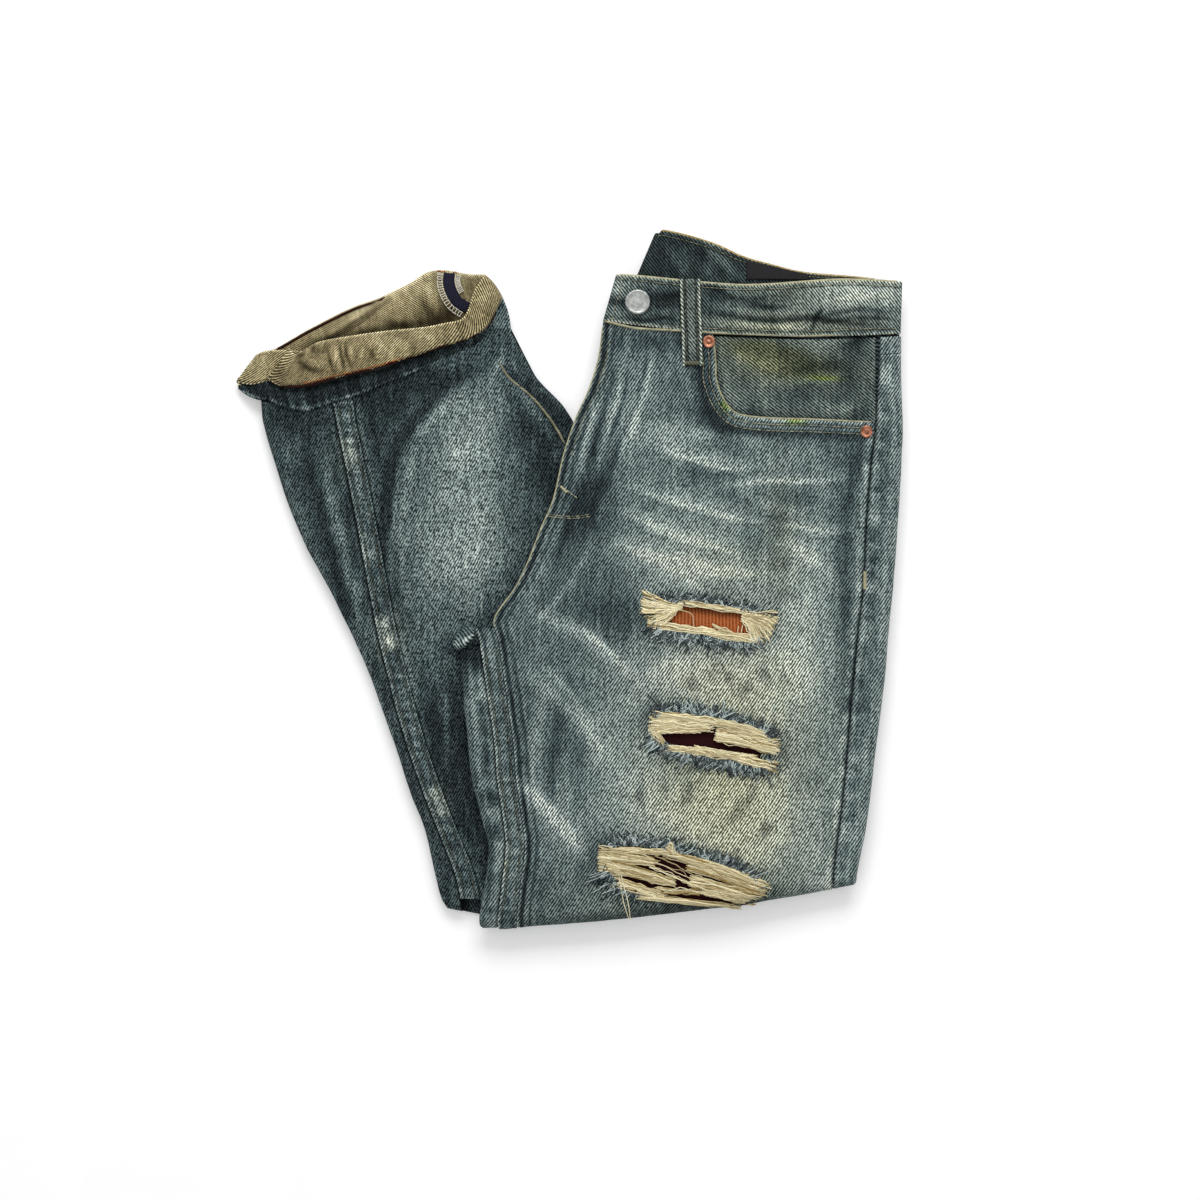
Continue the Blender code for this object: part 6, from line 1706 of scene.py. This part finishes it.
def leg_wall(name, around, stations, seam_width, groove, seed, *nodes):
    """A wall of the lower leg between its surface, with relief, and one cloth inside it.

    seam_width is how far its edge lies from the inseam, and groove how dark and wide the shade there is.
    """
    base = leg_point(around, stations)
    normal = leg_normals(around, stations)
    x, y = base[..., 0], base[..., 1]
    on_top = (around > 1) * soft_step((stations - 0.4) / 0.8)
    to_seam = np.abs(x - smooth(LEG["inseam_x"], stations) - seam_width)
    lift = ridges(LEG_CREASES, x, y) + 0.3 * cloud(x, y, 13, 16, seed) + 0.1 * cloud(x, y, 4, 5, seed + 1)
    lift = lift + (0.5 * ripple(y, 4.6, seed + 2) + 0.2) * bell(to_seam, 2.4, 2.2)
    lift = lift * on_top * np.minimum(1, to_seam / 1.5)
    # The leg's patch and stroke tables paint light and shade into its colour: the lit bulge, its shaded
    # valley, and shadows by the pile and the cuff.
    fade_and_shading = washed(x, y, 0.1, seed + 3) + patches(LEG_LIGHT_SHADE_AND_FADES, x, y) + strokes(LEG_LIGHT_AND_SHADE_STROKES, x, y)
    side = np.minimum(x - smooth(LEG["left_x"], stations), smooth(LEG["right_x"], stations) - x)
    fade_and_shading = fade_and_shading + 0.18 * bell(to_seam, 2.2, 1.8) + 0.1 * bell(side, 2, 2)
    fields = denim_fields(fade_and_shading, patches(LEG_SOIL, x, y), shade=1 - groove[0] * bell(to_seam, 0, groove[1]))
    cloth(name, (base + normal * lift[..., None], base - normal * CLOTH), fields,
          (np.where(around > 1, x, -x - 30), y), *nodes, finish="lower", slot="denim_lower", middle=base,
          lining=0)


def leg_fell():
    """Felled inseam of the lower leg: a raised band with two sunk rows, puckered between them."""
    stations = along_rows(1, LEG_END, 240)
    t = across_rows(0, 1, 18)
    x = smooth(LEG["inseam_x"], stations) + FELL_WIDTH * t
    around = leg_around(x, stations)
    base = leg_point(around, stations)
    normal = leg_normals(around, stations)
    y = base[..., 1]
    lift = 0.85 * fell_profile(t) + 0.25 * cloud(x, y, 5, 4, 181)
    lift = np.clip(lift + 0.5 * cloud(0, y, 1, 3.4, 182) * bell(t, 0.5, 0.3), -0.1, 1.3)
    rubs = ridges(FELL_RUBS, x, y)
    fade_and_shading = washed(x, y, 0.32, 183) + rubs + bells(t, (0.26, 0, 0.12), (0.14, 1, 0.08))
    fade_and_shading = fade_and_shading - 0.26 * bell_rows(t, FELL_SEWN, 0.08) + 0.26 * cloud(0, y, 1, 3, 184) * bell(t, 0.5, 0.4)
    cloth("leg_fell_cloth", (base + normal * lift[..., None], base - normal * CLOTH),
          denim_fields(fade_and_shading, np.minimum(rubs, 0.4)), (x, y), "right_inseam_fell", finish="lower",
          slot="denim_lower", rests_on="right_leg_front", middle=base, lining=0)


def cuff_lines(stations, x, y):
    """Creases and shading of the cuff's two walls, and which places lie on the near one."""
    near = np.broadcast_to(stations < 11.5, x.shape)
    far = np.broadcast_to((stations > 12.5) & (stations < 20), x.shape)
    crease = np.where(near, strokes(NEAR_STROKES, x, y), 0)
    crease = np.where(far, strokes(FAR_STROKES, x, y), crease)
    # The far wall is painted 0.1 lighter: painted light on its face, which tilts towards the light.
    tone = np.where(near, patches(NEAR_SHADES, x, y), 0.1 + patches(FAR_SHADES, x, y)) + 0.3 * crease
    return near, crease, tone


def cuff_cloth():
    """Turned-up hem: a doubled band along the cuff's path, puckered towards its hem."""
    stations = np.concatenate([along_rows(0, 7, 190)[:-1], along_rows(7, len(CUFF_ROWS) - 1, 240)])
    parts = ((0, 0.15, 10), (0.175, 0.84, 25), (0.87, 1, 9))
    across = np.concatenate([np.linspace(*part) for part in parts])
    middle = cuff_point(stations, across)
    normal = grid_normals(middle)
    finer = 1 + 0.45 * soft_step((stations - 12) / 1.5) * soft_step((21.5 - stations) / 1.5)
    step = np.linalg.norm(np.diff(middle[:, 12], axis=0), axis=1) * finer[1:, 0]
    run = np.concatenate([[0], np.cumsum(step)])[:, None] + 0 * across
    wide = finer * across * np.linalg.norm(middle[:, -1:] - middle[:, :1], axis=2)
    end = np.clip(np.minimum(across / 0.05, (1 - across) / 0.03), 0, 1)
    half = 0.5 * BAND * (0.55 + 0.45 * np.sqrt(end))
    x, y = middle[..., 0], middle[..., 1]
    near, crease, tone = cuff_lines(stations, x, y)
    pucker = 0.55 * cloud(run, wide, 3.6, 14, 191) * bell(across, 0.85, 0.3)
    lift = pucker + 0.3 * cloud(run, wide, 9, 8, 192) + crease * np.where(normal[..., 2] < 0, -1, 1)
    lift = lift - 0.45 * bell(across, 0.9, 0.03)
    outer = middle + normal * (half + lift)[..., None]
    inner = middle - normal * (half - lift)[..., None]
    rim_line = bell(across, 0.05, 0.022) * soft_step((stations - 16.8) / 0.8)
    rim_line = rim_line * soft_step((20.6 - stations) / 0.6)
    fade_and_shading = washed(run, wide, 0.52, 193) + 0.12 * cloud(run, wide, 3.2, 12, 196)
    fade_and_shading = fade_and_shading + bells(across, (0.34, 0, 0.05), (0.45, 1, 0.02)) + tone
    shade = 1 + bells(across, (-0.2, 0.9, 0.02), (-0.6, 0.955, 0.02)) + np.minimum(tone, 0) * 0.8
    shade = shade - 0.4 * np.clip(-crease, 0, 1) - 0.9 * rim_line
    shade = shade - np.where(near, 0, 0.75 * strokes(FAR_RIM_DARK_LINE, x, y))
    cloth("cuff_cloth", (outer, inner), denim_fields(fade_and_shading, shade=np.clip(shade, 0.1, 1)), (run, wide),
          "right_cuff", finish="khaki", slot="denim_inside", rests_on="right_leg_front", middle=middle,
          lining=0)


def hem_band_cloth():
    """Doubled blue hem under the cuff's edge: a narrow rounded strip with close puckers."""
    t = across_rows(0, 1, 20)
    x, top_y, low_y, height = columns_at(HEM_BAND_ROWS, along_rows(0, len(HEM_BAND_ROWS) - 1, 260))
    y = top_y + 2 + (low_y - 5 - top_y) * t
    z = height - 2.8 * (1 - t) ** 2
    pucker = ripple(x + 0.3 * y, 3.2, 201)
    face = -0.5 + 1.1 * np.sqrt(np.clip(1 - np.abs(2 * t - 1) ** 3, 0, 1)) + 0.55 * pucker * (0.4 + 0.6 * t)
    outer = xyz(x, y, z + face)
    fade_and_shading = washed(x, y, 0.06, 203) + 0.34 * np.clip(pucker, 0, 1) * t
    fade_and_shading = fade_and_shading + 0.6 * bell(t, 0.9, 0.09) * (0.5 + 0.5 * ripple(x, 5, 202))
    shade = np.clip(0.62 + 0.3 * pucker + 0.2 * bell(t, 0.9, 0.1), 0.2, 1)
    cloth("hem_band_cloth", (outer, xyz(x, y, z - 1.3)), denim_fields(fade_and_shading, shade=shade), (x, y),
          "right_hem_band", finish="lower", slot="denim_dark", rests_on="right_leg_front", lining=0)


def height_over(surface, x, y):
    """Height of a dense grid of points over places, from the nearest point of it."""
    points = surface.reshape(-1, 3)
    distance = (points[:, 0] - np.ravel(x)[:, None]) ** 2 + (points[:, 1] - np.ravel(y)[:, None]) ** 2
    return points[np.argmin(distance, axis=1), 2].reshape(np.shape(x))


def far_wall_height(x, y):
    """Height over the far wall of the cuff."""
    return height_over(cuff_point(along_rows(12.5, 18, 120), across_rows(0, 1, 60)), x, y)


def seam_tape():
    """Pressed-open seam tape inside the mouth, with a ladder of overlock stitches on each side.

    The tape follows a curved line on the far wall: its bow is 1 less the fourth power across it.
    """
    line = curve_through(TAPE_LINE, 60)
    square = (offset_line(line, 1) - line)[:, None]
    t = np.linspace(-1, 1, 16)
    x, y = np.moveaxis(line[:, None] + square * TAPE_HALF * t[:, None], -1, 0)
    base = far_wall_height(x, y) + 1.7
    outer = xyz(x, y, base + 0.8 - 0.3 * np.abs(t) ** 4 + 0.12 * cloud(x, y, 4, 3, 211))
    cloth("allowance_cloth", (outer, xyz(x, y, base - 0.3)), {"shade": 1 - 0.4 * np.abs(t) ** 6},
          (TAPE_HALF * t, along_rows(0, 34, 60)), "outseam_allowance", finish="tape", slot="navy_tape",
          held="laid", rests_on="right_cuff")
    paths = []
    reach = np.linspace(-1.9, 1.9, 6)
    for distance, last in ((-6.3, 58), (6.2, 40)):
        middle = offset_line(line, distance)[2:last:3]
        x, y = np.moveaxis(middle[:, None] + square[2:last:3] * reach[:, None], -1, 0)
        height = far_wall_height(x, y) + 2.2 + 0.4 * np.sin(np.pi * (reach / 3.8 + 0.5))
        paths.append(xyz(x, y, height))
        for edge in (-1.7, 1.7):
            x, y = curve_through(offset_line(line, distance + edge)[2:last], 66).T
            paths.append(xyz(x, y, far_wall_height(x, y) + 2.5).reshape(11, 6, 3))
    threads("overlock_threads", np.concatenate(paths), 0.36, "white", 0.6)


def turn_up_cloth():
    """Blue side of the turn-up where it shows past the cuff's right end: a quarter-round strip."""
    station = along_rows(0, len(TURN_UP_ROWS) - 1, 70)
    t = across_rows(0, 1, 16)
    low_x, low_y, low_z, top_x, top_y, top_z = columns_at(TURN_UP_ROWS, station)
    x = low_x + (top_x - low_x) * (1 - np.cos(0.5 * np.pi * t))
    y = low_y + (top_y - low_y) * t
    z = low_z + (top_z - low_z) * np.sin(0.5 * np.pi * t) + 0.35 * cloud(x, y, 5, 5, 205)
    fade_and_shading = washed(x, y, 0.24, 206) + 0.2 * bell(t, 0.12, 0.12)
    cloth("turn_up_cloth", (xyz(x, y, z), xyz(x - 0.9, y, z - 0.9)), denim_fields(fade_and_shading), (x, y),
          finish="lower", slot="denim_lower", rests_on="right_cuff", lining=0)


# ---------------------------------------------------------------- threads
def strand_paths(rows, seed, steps=12):
    """Loose threads in bundles.

    Each runs between two ends spread across its bundle, with a sag, a slow wave and its own height.
    """
    rng = np.random.default_rng(seed)
    share = across_rows(0, 1, steps)
    paths = []
    for from_x, from_y, to_x, to_y, from_spread, to_spread, sag, count in rows:
        each = (count, 1)
        length = math.hypot(to_x - from_x, to_y - from_y)
        cos, sin = (to_x - from_x) / length, (to_y - from_y) / length
        rank = rng.uniform(-0.5, 0.5, each)
        first = from_spread * (rank + rng.normal(0, 0.08, each))
        last = to_spread * (0.8 * rank + rng.uniform(-0.2, 0.2, each))
        hang = sag * 4 * share * (1 - share) * rng.uniform(0.5, 1.4, each)
        offset = first * (1 - share) + last * share + hang
        for cycles, size in ((1.3, 0.6), (3.1, 0.42), (6.3, 0.2)):
            size = rng.normal(0, size, each)
            offset = offset + size * np.sin(2 * np.pi * (cycles * share + rng.random(each)))
        run = length * (rng.uniform(-0.04, 0.05, each) + share * rng.uniform(0.9, 1.04, each))
        x = from_x + cos * run - sin * offset
        y = from_y + sin * run + cos * offset
        lift = 0.3 + rng.uniform(0, 1.5, each) * np.sin(np.pi * share) ** 0.5
        paths.append(xyz(x, y, pile_height(x, y) + lift))
    return np.concatenate(paths)


def fray_paths(k, count, seed, steps=8):
    """Short curly hairs round a rip: each leaves the rim outwards and curls with a growing wave."""
    rng = np.random.default_rng(seed)
    each = (count, 1)
    share = across_rows(0, 1, steps)
    u = rng.uniform(-1, 1, each)
    lower = rng.random(each) < 0.58
    outwards = np.where(lower, -1, 1)
    rim = (1 - np.abs(u) ** 2.857) ** 0.35 * outwards
    length = np.where(lower, rng.gamma(8, 1.05, each), rng.gamma(8, 0.85, each))
    lean = rng.normal(0, 0.45, each) + 0.4 * u
    curl = rng.normal(0, 2, each) * share * np.sin(
        2 * np.pi * (rng.uniform(0.6, 1.3, each) * share + rng.random(each)))
    middle_x, middle_y, half_length, half_height, tilt = RIPS[k]
    along = u * half_length * 0.99 + lean * length * share + curl
    up = rim * half_height * 0.96 + outwards * length * share * 0.85 + 0.5 * curl
    cos, sin = math.cos(math.radians(tilt)), math.sin(math.radians(tilt))
    x = middle_x + along * cos - up * sin
    y = np.maximum(middle_y + along * sin + up * cos, fold_edge(x) + 1)
    z = pile_height(x, y) + 0.45 + rng.uniform(0.1, 1, each) * np.sin(np.pi * 0.8 * share)
    return xyz(x, y, z)[~((k == 2) & lower & (u > -0.5))[:, 0]]


def rip_threads():
    """The pale threads left across each rip, and the blue fray standing round its rim."""
    rng = np.random.default_rng(221)
    for k, rows in enumerate(RIP_STRANDS):
        paths = strand_paths(rows, 222 + k)
        tone = np.clip(rng.normal(0.66 if k < 2 else 0.5, 0.3, len(paths)), 0, 1)
        thick = rng.uniform(0.28, 0.52, (len(paths), 1))
        threads(f"rip_threads_{k + 1}", paths, thick, "cream", tone, f"rip_fringe_{k + 1}")
        fray = fray_paths(k, (900, 1050, 1300)[k], 232 + k)
        chance = rng.random(len(fray))
        tone = np.where(rng.random(len(fray)) < 0.7, 0.22 * chance, 0.62 + 0.38 * chance)
        threads(f"rip_fray_{k + 1}", fray, rng.uniform(0.22, 0.46, (len(fray), 1)), "fray", tone)


def short_arcs(line, first, pitch, length, rise):
    """Short paths cut from a line at an even pitch, each rising by the sine of its share."""
    run = np.concatenate([[0], np.cumsum(np.linalg.norm(np.diff(line, axis=0), axis=1))])
    share = np.linspace(0, 1, 5)
    places = np.arange(first, run[-1] - length, pitch)[:, None] + length * share
    paths = np.stack([np.interp(places, run, column) for column in line.T], axis=-1)
    paths[..., 2] += rise * np.sin(np.pi * share)
    return paths


def stitch_paths(line, pitch, length, rise=0.25):
    """Stitches along a line, sunk a little at their ends."""
    return short_arcs(line - [0, 0, 0.1], 0.3 * pitch, pitch, length, rise)


def laid(line, height, lift):
    """A flat line laid on a surface, given as a function of x and y, and lifted off it."""
    return np.column_stack([line, height(line[:, 0], line[:, 1]) + lift])


def band_height(x, y):
    """Height of the front waistband's face, the same at every y."""
    return waist_height(x) + 0 * y


def offset_line(line, distance):
    """A line moved sideways, to the left of its direction."""
    step = np.gradient(line, axis=0)
    return line + unit(np.stack([-step[:, 1], step[:, 0]], axis=-1)) * distance


def seam_rows():
    """Every row of topstitching: its line, and the lowest and highest tone of its thread."""
    rows = []
    for distance in POCKET_SEWN:
        line = offset_line(POCKET_LINE, -distance)
        line = line[(line[:, 0] > 88) & (line[:, 0] < 214) & (line[:, 1] < 168)]
        rows.append((laid(line, front_top, 0.2), 0.2, 1))
    for t in BAND_SEWN:
        line = np.column_stack(band_grid(FRONT_BAND_ROWS, 200, t))
        rows.append((laid(line, band_height, 0.05), 0.1, 0.7))
    line = curve_through(((29.6, 181.5), (33, 194), (38, 210)), 160)
    rows.append((laid(line, band_height, 0.15), 0.1, 0.7))
    line = np.column_stack(band_grid(BACK_BAND_ROWS, 200, 0.9))
    rows.append((laid(line, band_height, 0.05 - BACK_BAND_DROP), 0.1, 0.6))
    station = np.linspace(CROTCH_ROW + 0.2, PILE_END, 200)
    for t in FELL_SEWN:
        x = smooth(PILE["front_x"], station) - FELL_WIDTH + (FELL_WIDTH - GAP) * t
        rows.append((laid(np.column_stack([x, pile_line(station, x)[0]]), pile_height, 0.8), 0, 0.5))
        stations = along_rows(1.2, LEG_END - 0.4, 260)
        x = smooth(LEG["inseam_x"], stations) + FELL_WIDTH * t
        rows.append((leg_point(leg_around(x, stations), stations)[:, 0] + [0, 0, 0.65], 0, 0.3))
    for points, low, high in FLY_STITCHES:
        rows.append((laid(curve_through(points, 160), front_top, 0.12), low, high))
    y = np.linspace(152, 209, 120)
    for side in (-LOOP_SEWN, LOOP_SEWN):
        rows.append((np.column_stack([loop_x(y, side), y, loop_height(y) + 1.3]), 0, 0.3))
    return rows


def seam_stitches():
    """Topstitching of every seam as joined arcs of thread, each row with its own range of tones."""
    rows = seam_rows()
    rng = np.random.default_rng(241)
    sewn = [stitch_paths(line, 3.3, 2.4) for line, _, _ in rows]
    tone = [rng.uniform(low, high, len(paths)) for paths, (_, low, high) in zip(sewn, rows)]
    threads("seam_stitches", np.concatenate(sewn), 0.34, "stitch", np.concatenate(tone))


def bar_tacks():
    """Close satin stitches: on the belt loop, at the pocket's end of the side seam and on the fly."""
    paths = []
    tones = []
    share = np.linspace(0, 1, 5)
    for centre_x, centre_y, half_long, half_wide, turn, low, high in TACKS:
        cos, sin = math.cos(math.radians(turn)), math.sin(math.radians(turn))
        for k, place_of in enumerate(np.linspace(-half_long, half_long, int(half_long * 4))):
            along = place_of - 0.15 + 0.3 * share
            across = half_wide * (2 * share - 1)
            x = centre_x + along * cos - across * sin
            y = centre_y + along * sin + across * cos
            z = front_top(x, y) + 0.3 if turn else loop_height(y) + 1.9
            paths.append(np.column_stack([x, y, z + 0.2 * np.sin(np.pi * share)]))
            tones.append(low if k % 2 else high)
    threads("bar_tacks", np.array(paths), 0.3, "stitch", tones, sides=6)


def hem_stitches():
    """Rust chain stitching along the cuff's near hem, and its ends inside the mouth."""
    middle = cuff_point(along_rows(2.9, 5.6, 160), np.array([[0.88, 0.92]]))
    normal = grid_normals(middle)
    normal = normal * np.where(normal[..., 2:] < 0, -1, 1)
    paths = [stitch_paths((middle + normal * (0.5 * BAND + 0.45))[:, 1], 2.7, 1.9, 0.3)]
    for centre_x, centre_y in ((-92, 216.5), (-88.5, 216), (-84, 214.5), (-80.5, 215.5)):
        x = centre_x + np.linspace(-1.6, 1.6, 5)
        y = centre_y + 0.5 * np.sin(np.linspace(0, 3, 5))
        paths.append(np.column_stack([x, y, far_wall_height(x, y) + 1.8])[None])
    paths = np.concatenate(paths)
    tone = 0.4 + 0.6 * np.random.default_rng(251).random(len(paths))
    threads("hem_stitches", paths, 0.36, "rust_stitch", tone, sides=6)


def loose_threads():
    """Long loose ends lying over the cloth, each a smooth line through its own places."""
    paths = []
    for points in LOOSE_ENDS:
        wave = 0.5 * np.sin(np.linspace(0, 5, 28))
        paths.append(laid(curve_through(points, 28), pile_height, 1 + wave))
    threads("loose_threads", np.array(paths), 0.38, "cream", np.linspace(0.4, 1, len(paths)))


def rolled_lines():
    """The lines of every rolled edge, in the order of EDGE_ROLLS."""
    yield laid(POCKET_LINE[POCKET_LINE[:, 1] < 172], front_top, -0.35)
    station = np.linspace(0.15, CROTCH_ROW - 0.4, 120)
    x = smooth(PILE["front_x"], station) + 0.35
    y, across = pile_line(station, x)
    yield np.column_stack([x, y, crown_height(station, across) - 2.4])
    for rows, drop, side in ((FRONT_BAND_ROWS, 0, 0.992), (BACK_BAND_ROWS, BACK_BAND_DROP, 0.99),
                             (FRONT_BAND_ROWS, 0, 0.012)):
        yield laid(np.column_stack(band_grid(rows, 160, side)), band_height, -drop - 0.75)
    surface = leg_point(across_rows(1.4, 2, 90), along_rows(LEG_END - 6, LEG_END, 240))
    yield laid(curve_through(LEG_OUTSEAM, 80), functools.partial(height_over, surface), 0.5)
    yield cuff_point(np.linspace(2, 10, 200), 1) + [0, 0.5, 0.9]
    yield cuff_point(np.linspace(16.8, 20.2, 120), 0.045) + [0, 0, 0.9]


def edge_rolls():
    """Rolled worn edges as twisted cords: short arcs laid slanting along a line, close together."""
    rng = np.random.default_rng(261)
    for line, (name, finish, tone, radius) in zip(rolled_lines(), EDGE_ROLLS):
        paths = short_arcs(line, 0, 0.65, 4, 0)
        step = np.gradient(paths, axis=1)
        swing = np.linspace(-0.75, 0.75, 5)[:, None]
        paths = paths + unit(xyz(-step[..., 1], step[..., 0], 0)) * swing
        paths[..., 2] += 0.3 * np.sin(np.pi * np.linspace(0, 1, 5))
        shade = np.clip(rng.normal(tone, 0.2, len(paths)), 0, 1)
        threads(name, paths, radius, finish, shade)


# ---------------------------------------------------------------- stage
def set_stage():
    """Camera straight above with a long lens, a white floor, a soft light past the waist and a sky."""
    scene = bpy.context.scene
    scene.view_settings.view_transform = "Standard"
    lens = bpy.data.cameras.new("camera")
    lens.lens = 100
    lens.sensor_width = 36
    lens.clip_end = 20
    camera = bpy.data.objects.new("camera", lens)
    camera.location = (0.02135, -0.01435, 2.348)
    scene.collection.objects.link(camera)
    scene.camera = camera

    lamp = bpy.data.lights.new("soft_light", "AREA")
    lamp.shape = "RECTANGLE"
    lamp.size = 1.6
    lamp.size_y = 0.9
    lamp.energy = 34
    light = bpy.data.objects.new("soft_light", lamp)
    light.location = (0.15, 1.75, 1.35)
    light.rotation_euler = (math.radians(-52), 0, 0)
    scene.collection.objects.link(light)
    world = bpy.data.worlds.new("studio")
    world.use_nodes = True
    sky = world.node_tree.nodes["Background"].inputs
    sky["Color"].default_value = (1, 1, 1, 1)
    sky["Strength"].default_value = 0.62
    scene.world = world

    made, g, shader = new_material("Studio floor")
    grain = g.noise(g.add("ShaderNodeTexCoord").outputs["Object"], 30)
    g.feed(shader.inputs["Base Color"], g.ramp(grain, ((0, (243, 243, 243)), (1, (249, 249, 249)))))
    shader.inputs["Roughness"].default_value = 1
    shader.inputs["Specular IOR Level"].default_value = 0
    shader.inputs["Emission Color"].default_value = (1, 1, 1, 1)
    g.feed(shader.inputs["Emission Strength"],
           g.math("MULTIPLY", g.add("ShaderNodeLightPath").outputs["Is Camera Ray"], 0.2))
    points = xyz(across_rows(-2500, 2500, 5), along_rows(-2500, 2500, 5), -0.2)
    index = np.arange(25).reshape(5, 5)
    quads = np.stack([index[:-1, :-1], index[:-1, 1:], index[1:, 1:], index[1:, :-1]], axis=-1)
    add_mesh("studio_floor", points, quads, made)


# ---------------------------------------------------------------- add-on
def all_covered():
    """Raises unless every CAD node has been given a piece that stands for it."""
    left = [name for name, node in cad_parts.items() if not node.hide_render]
    if left:
        raise RuntimeError(f"no piece stands for {left}")


class JeansSettings(bpy.types.PropertyGroup):
    """What can be changed before the jeans are built."""

    weave_width: bpy.props.FloatProperty(
        name="Twill line width", description="Distance from one slanting twill line to the next",
        default=0.0018, min=0.0005, max=0.005, unit="LENGTH", subtype="DISTANCE", precision=4)
    relief: bpy.props.FloatProperty(
        name="Bump strength", description="How strongly the weave stands out",
        default=0.55, min=0.0, max=1.0, subtype="FACTOR")


class JEANS_OT_materials(bpy.types.Operator):
    """Make the finishes: washed denims, threads, cloth behind the rips and metals"""

    bl_idname = "jeans.materials"
    bl_label = "Finishes"
    bl_options = {"REGISTER", "UNDO"}

    def execute(self, context):
        FINISH.clear()
        FINISH.update(make_materials(context.scene.jeans_settings))
        return {"FINISHED"}


class JEANS_OT_hidden(bpy.types.Operator):
    """Build the hidden layers under the top cloth"""

    bl_idname = "jeans.hidden"
    bl_label = "Hidden layers"
    bl_options = {"REGISTER", "UNDO"}

    def execute(self, context):
        hidden_cloth()
        crotch_roll()
        return {"FINISHED"}


class JEANS_OT_front(bpy.types.Operator):
    """Build the left front with its pocket opening, facing and rips"""

    bl_idname = "jeans.front"
    bl_label = "Left front"
    bl_options = {"REGISTER", "UNDO"}

    def execute(self, context):
        left_front()
        pocket_facing()
        rip_cloth()
        return {"FINISHED"}


class JEANS_OT_back(bpy.types.Operator):
    """Build the left back, its yoke, the inseam strip and the upper felled seam"""

    bl_idname = "jeans.back"
    bl_label = "Left back"
    bl_options = {"REGISTER", "UNDO"}

    def execute(self, context):
        left_back_cloth()
        left_fell()
        return {"FINISHED"}


class JEANS_OT_waist(bpy.types.Operator):
    """Build both waistbands, the blank label and the belt loop"""

    bl_idname = "jeans.waist"
    bl_label = "Waist"
    bl_options = {"REGISTER", "UNDO"}

    def execute(self, context):
        waistbands()
        woven_label()
        belt_loop()
        return {"FINISHED"}


class JEANS_OT_leg(bpy.types.Operator):
    """Build the lower leg with its felled seam"""

    bl_idname = "jeans.leg"
    bl_label = "Lower leg"
    bl_options = {"REGISTER", "UNDO"}

    def execute(self, context):
        leg_cloth()
        leg_fell()
        return {"FINISHED"}


class JEANS_OT_cuff(bpy.types.Operator):
    """Build the turned-up cuff, its blue hem and the taped seam in its mouth"""

    bl_idname = "jeans.cuff"
    bl_label = "Cuff"
    bl_options = {"REGISTER", "UNDO"}

    def execute(self, context):
        cuff_cloth()
        hem_band_cloth()
        turn_up_cloth()
        seam_tape()
        return {"FINISHED"}


class JEANS_OT_hardware(bpy.types.Operator):
    """Build the tack button and the two rivets"""

    bl_idname = "jeans.hardware"
    bl_label = "Button and rivets"
    bl_options = {"REGISTER", "UNDO"}

    def execute(self, context):
        hardware()
        return {"FINISHED"}


class JEANS_OT_threads(bpy.types.Operator):
    """Build the threads and fray of the rips, and the loose ends"""

    bl_idname = "jeans.threads"
    bl_label = "Rip threads"
    bl_options = {"REGISTER", "UNDO"}

    def execute(self, context):
        rip_threads()
        loose_threads()
        edge_rolls()
        return {"FINISHED"}


class JEANS_OT_stitches(bpy.types.Operator):
    """Build the topstitching, bar tacks and hem stitching"""

    bl_idname = "jeans.stitches"
    bl_label = "Stitching"
    bl_options = {"REGISTER", "UNDO"}

    def execute(self, context):
        seam_stitches()
        bar_tacks()
        hem_stitches()
        return {"FINISHED"}


class JEANS_OT_stage(bpy.types.Operator):
    """Set the camera, the floor, the light and the sky"""

    bl_idname = "jeans.stage"
    bl_label = "Stage"
    bl_options = {"REGISTER", "UNDO"}

    def execute(self, context):
        set_stage()
        return {"FINISHED"}


STEPS = (JEANS_OT_materials, JEANS_OT_hidden, JEANS_OT_front, JEANS_OT_back, JEANS_OT_waist, JEANS_OT_leg,
         JEANS_OT_cuff, JEANS_OT_hardware, JEANS_OT_threads, JEANS_OT_stitches, JEANS_OT_stage)


class JEANS_PT_steps(bpy.types.Panel):
    """The steps of the build, in order"""

    bl_idname = "JEANS_PT_steps"
    bl_label = "Ripped jeans"
    bl_space_type = "VIEW_3D"
    bl_region_type = "UI"
    bl_category = "Jeans"

    def draw(self, context):
        settings = context.scene.jeans_settings
        self.layout.prop(settings, "weave_width")
        self.layout.prop(settings, "relief")
        for step in STEPS:
            self.layout.operator(step.bl_idname)


def register():
    """Adds the settings, the steps and the panel to Blender."""
    for kind in (JeansSettings, *STEPS, JEANS_PT_steps):
        bpy.utils.register_class(kind)
    bpy.types.Scene.jeans_settings = bpy.props.PointerProperty(type=JeansSettings)


def unregister():
    """Takes them away again."""
    del bpy.types.Scene.jeans_settings
    for kind in reversed((JeansSettings, *STEPS, JEANS_PT_steps)):
        bpy.utils.unregister_class(kind)


def main():
    """Builds every piece in order."""
    register()
    for step in STEPS:
        family, name = step.bl_idname.split(".")
        if getattr(getattr(bpy.ops, family), name)() != {"FINISHED"}:
            raise RuntimeError(f"{step.bl_idname} didn't finish")
    all_covered()


if __name__ == "__main__":
    main()
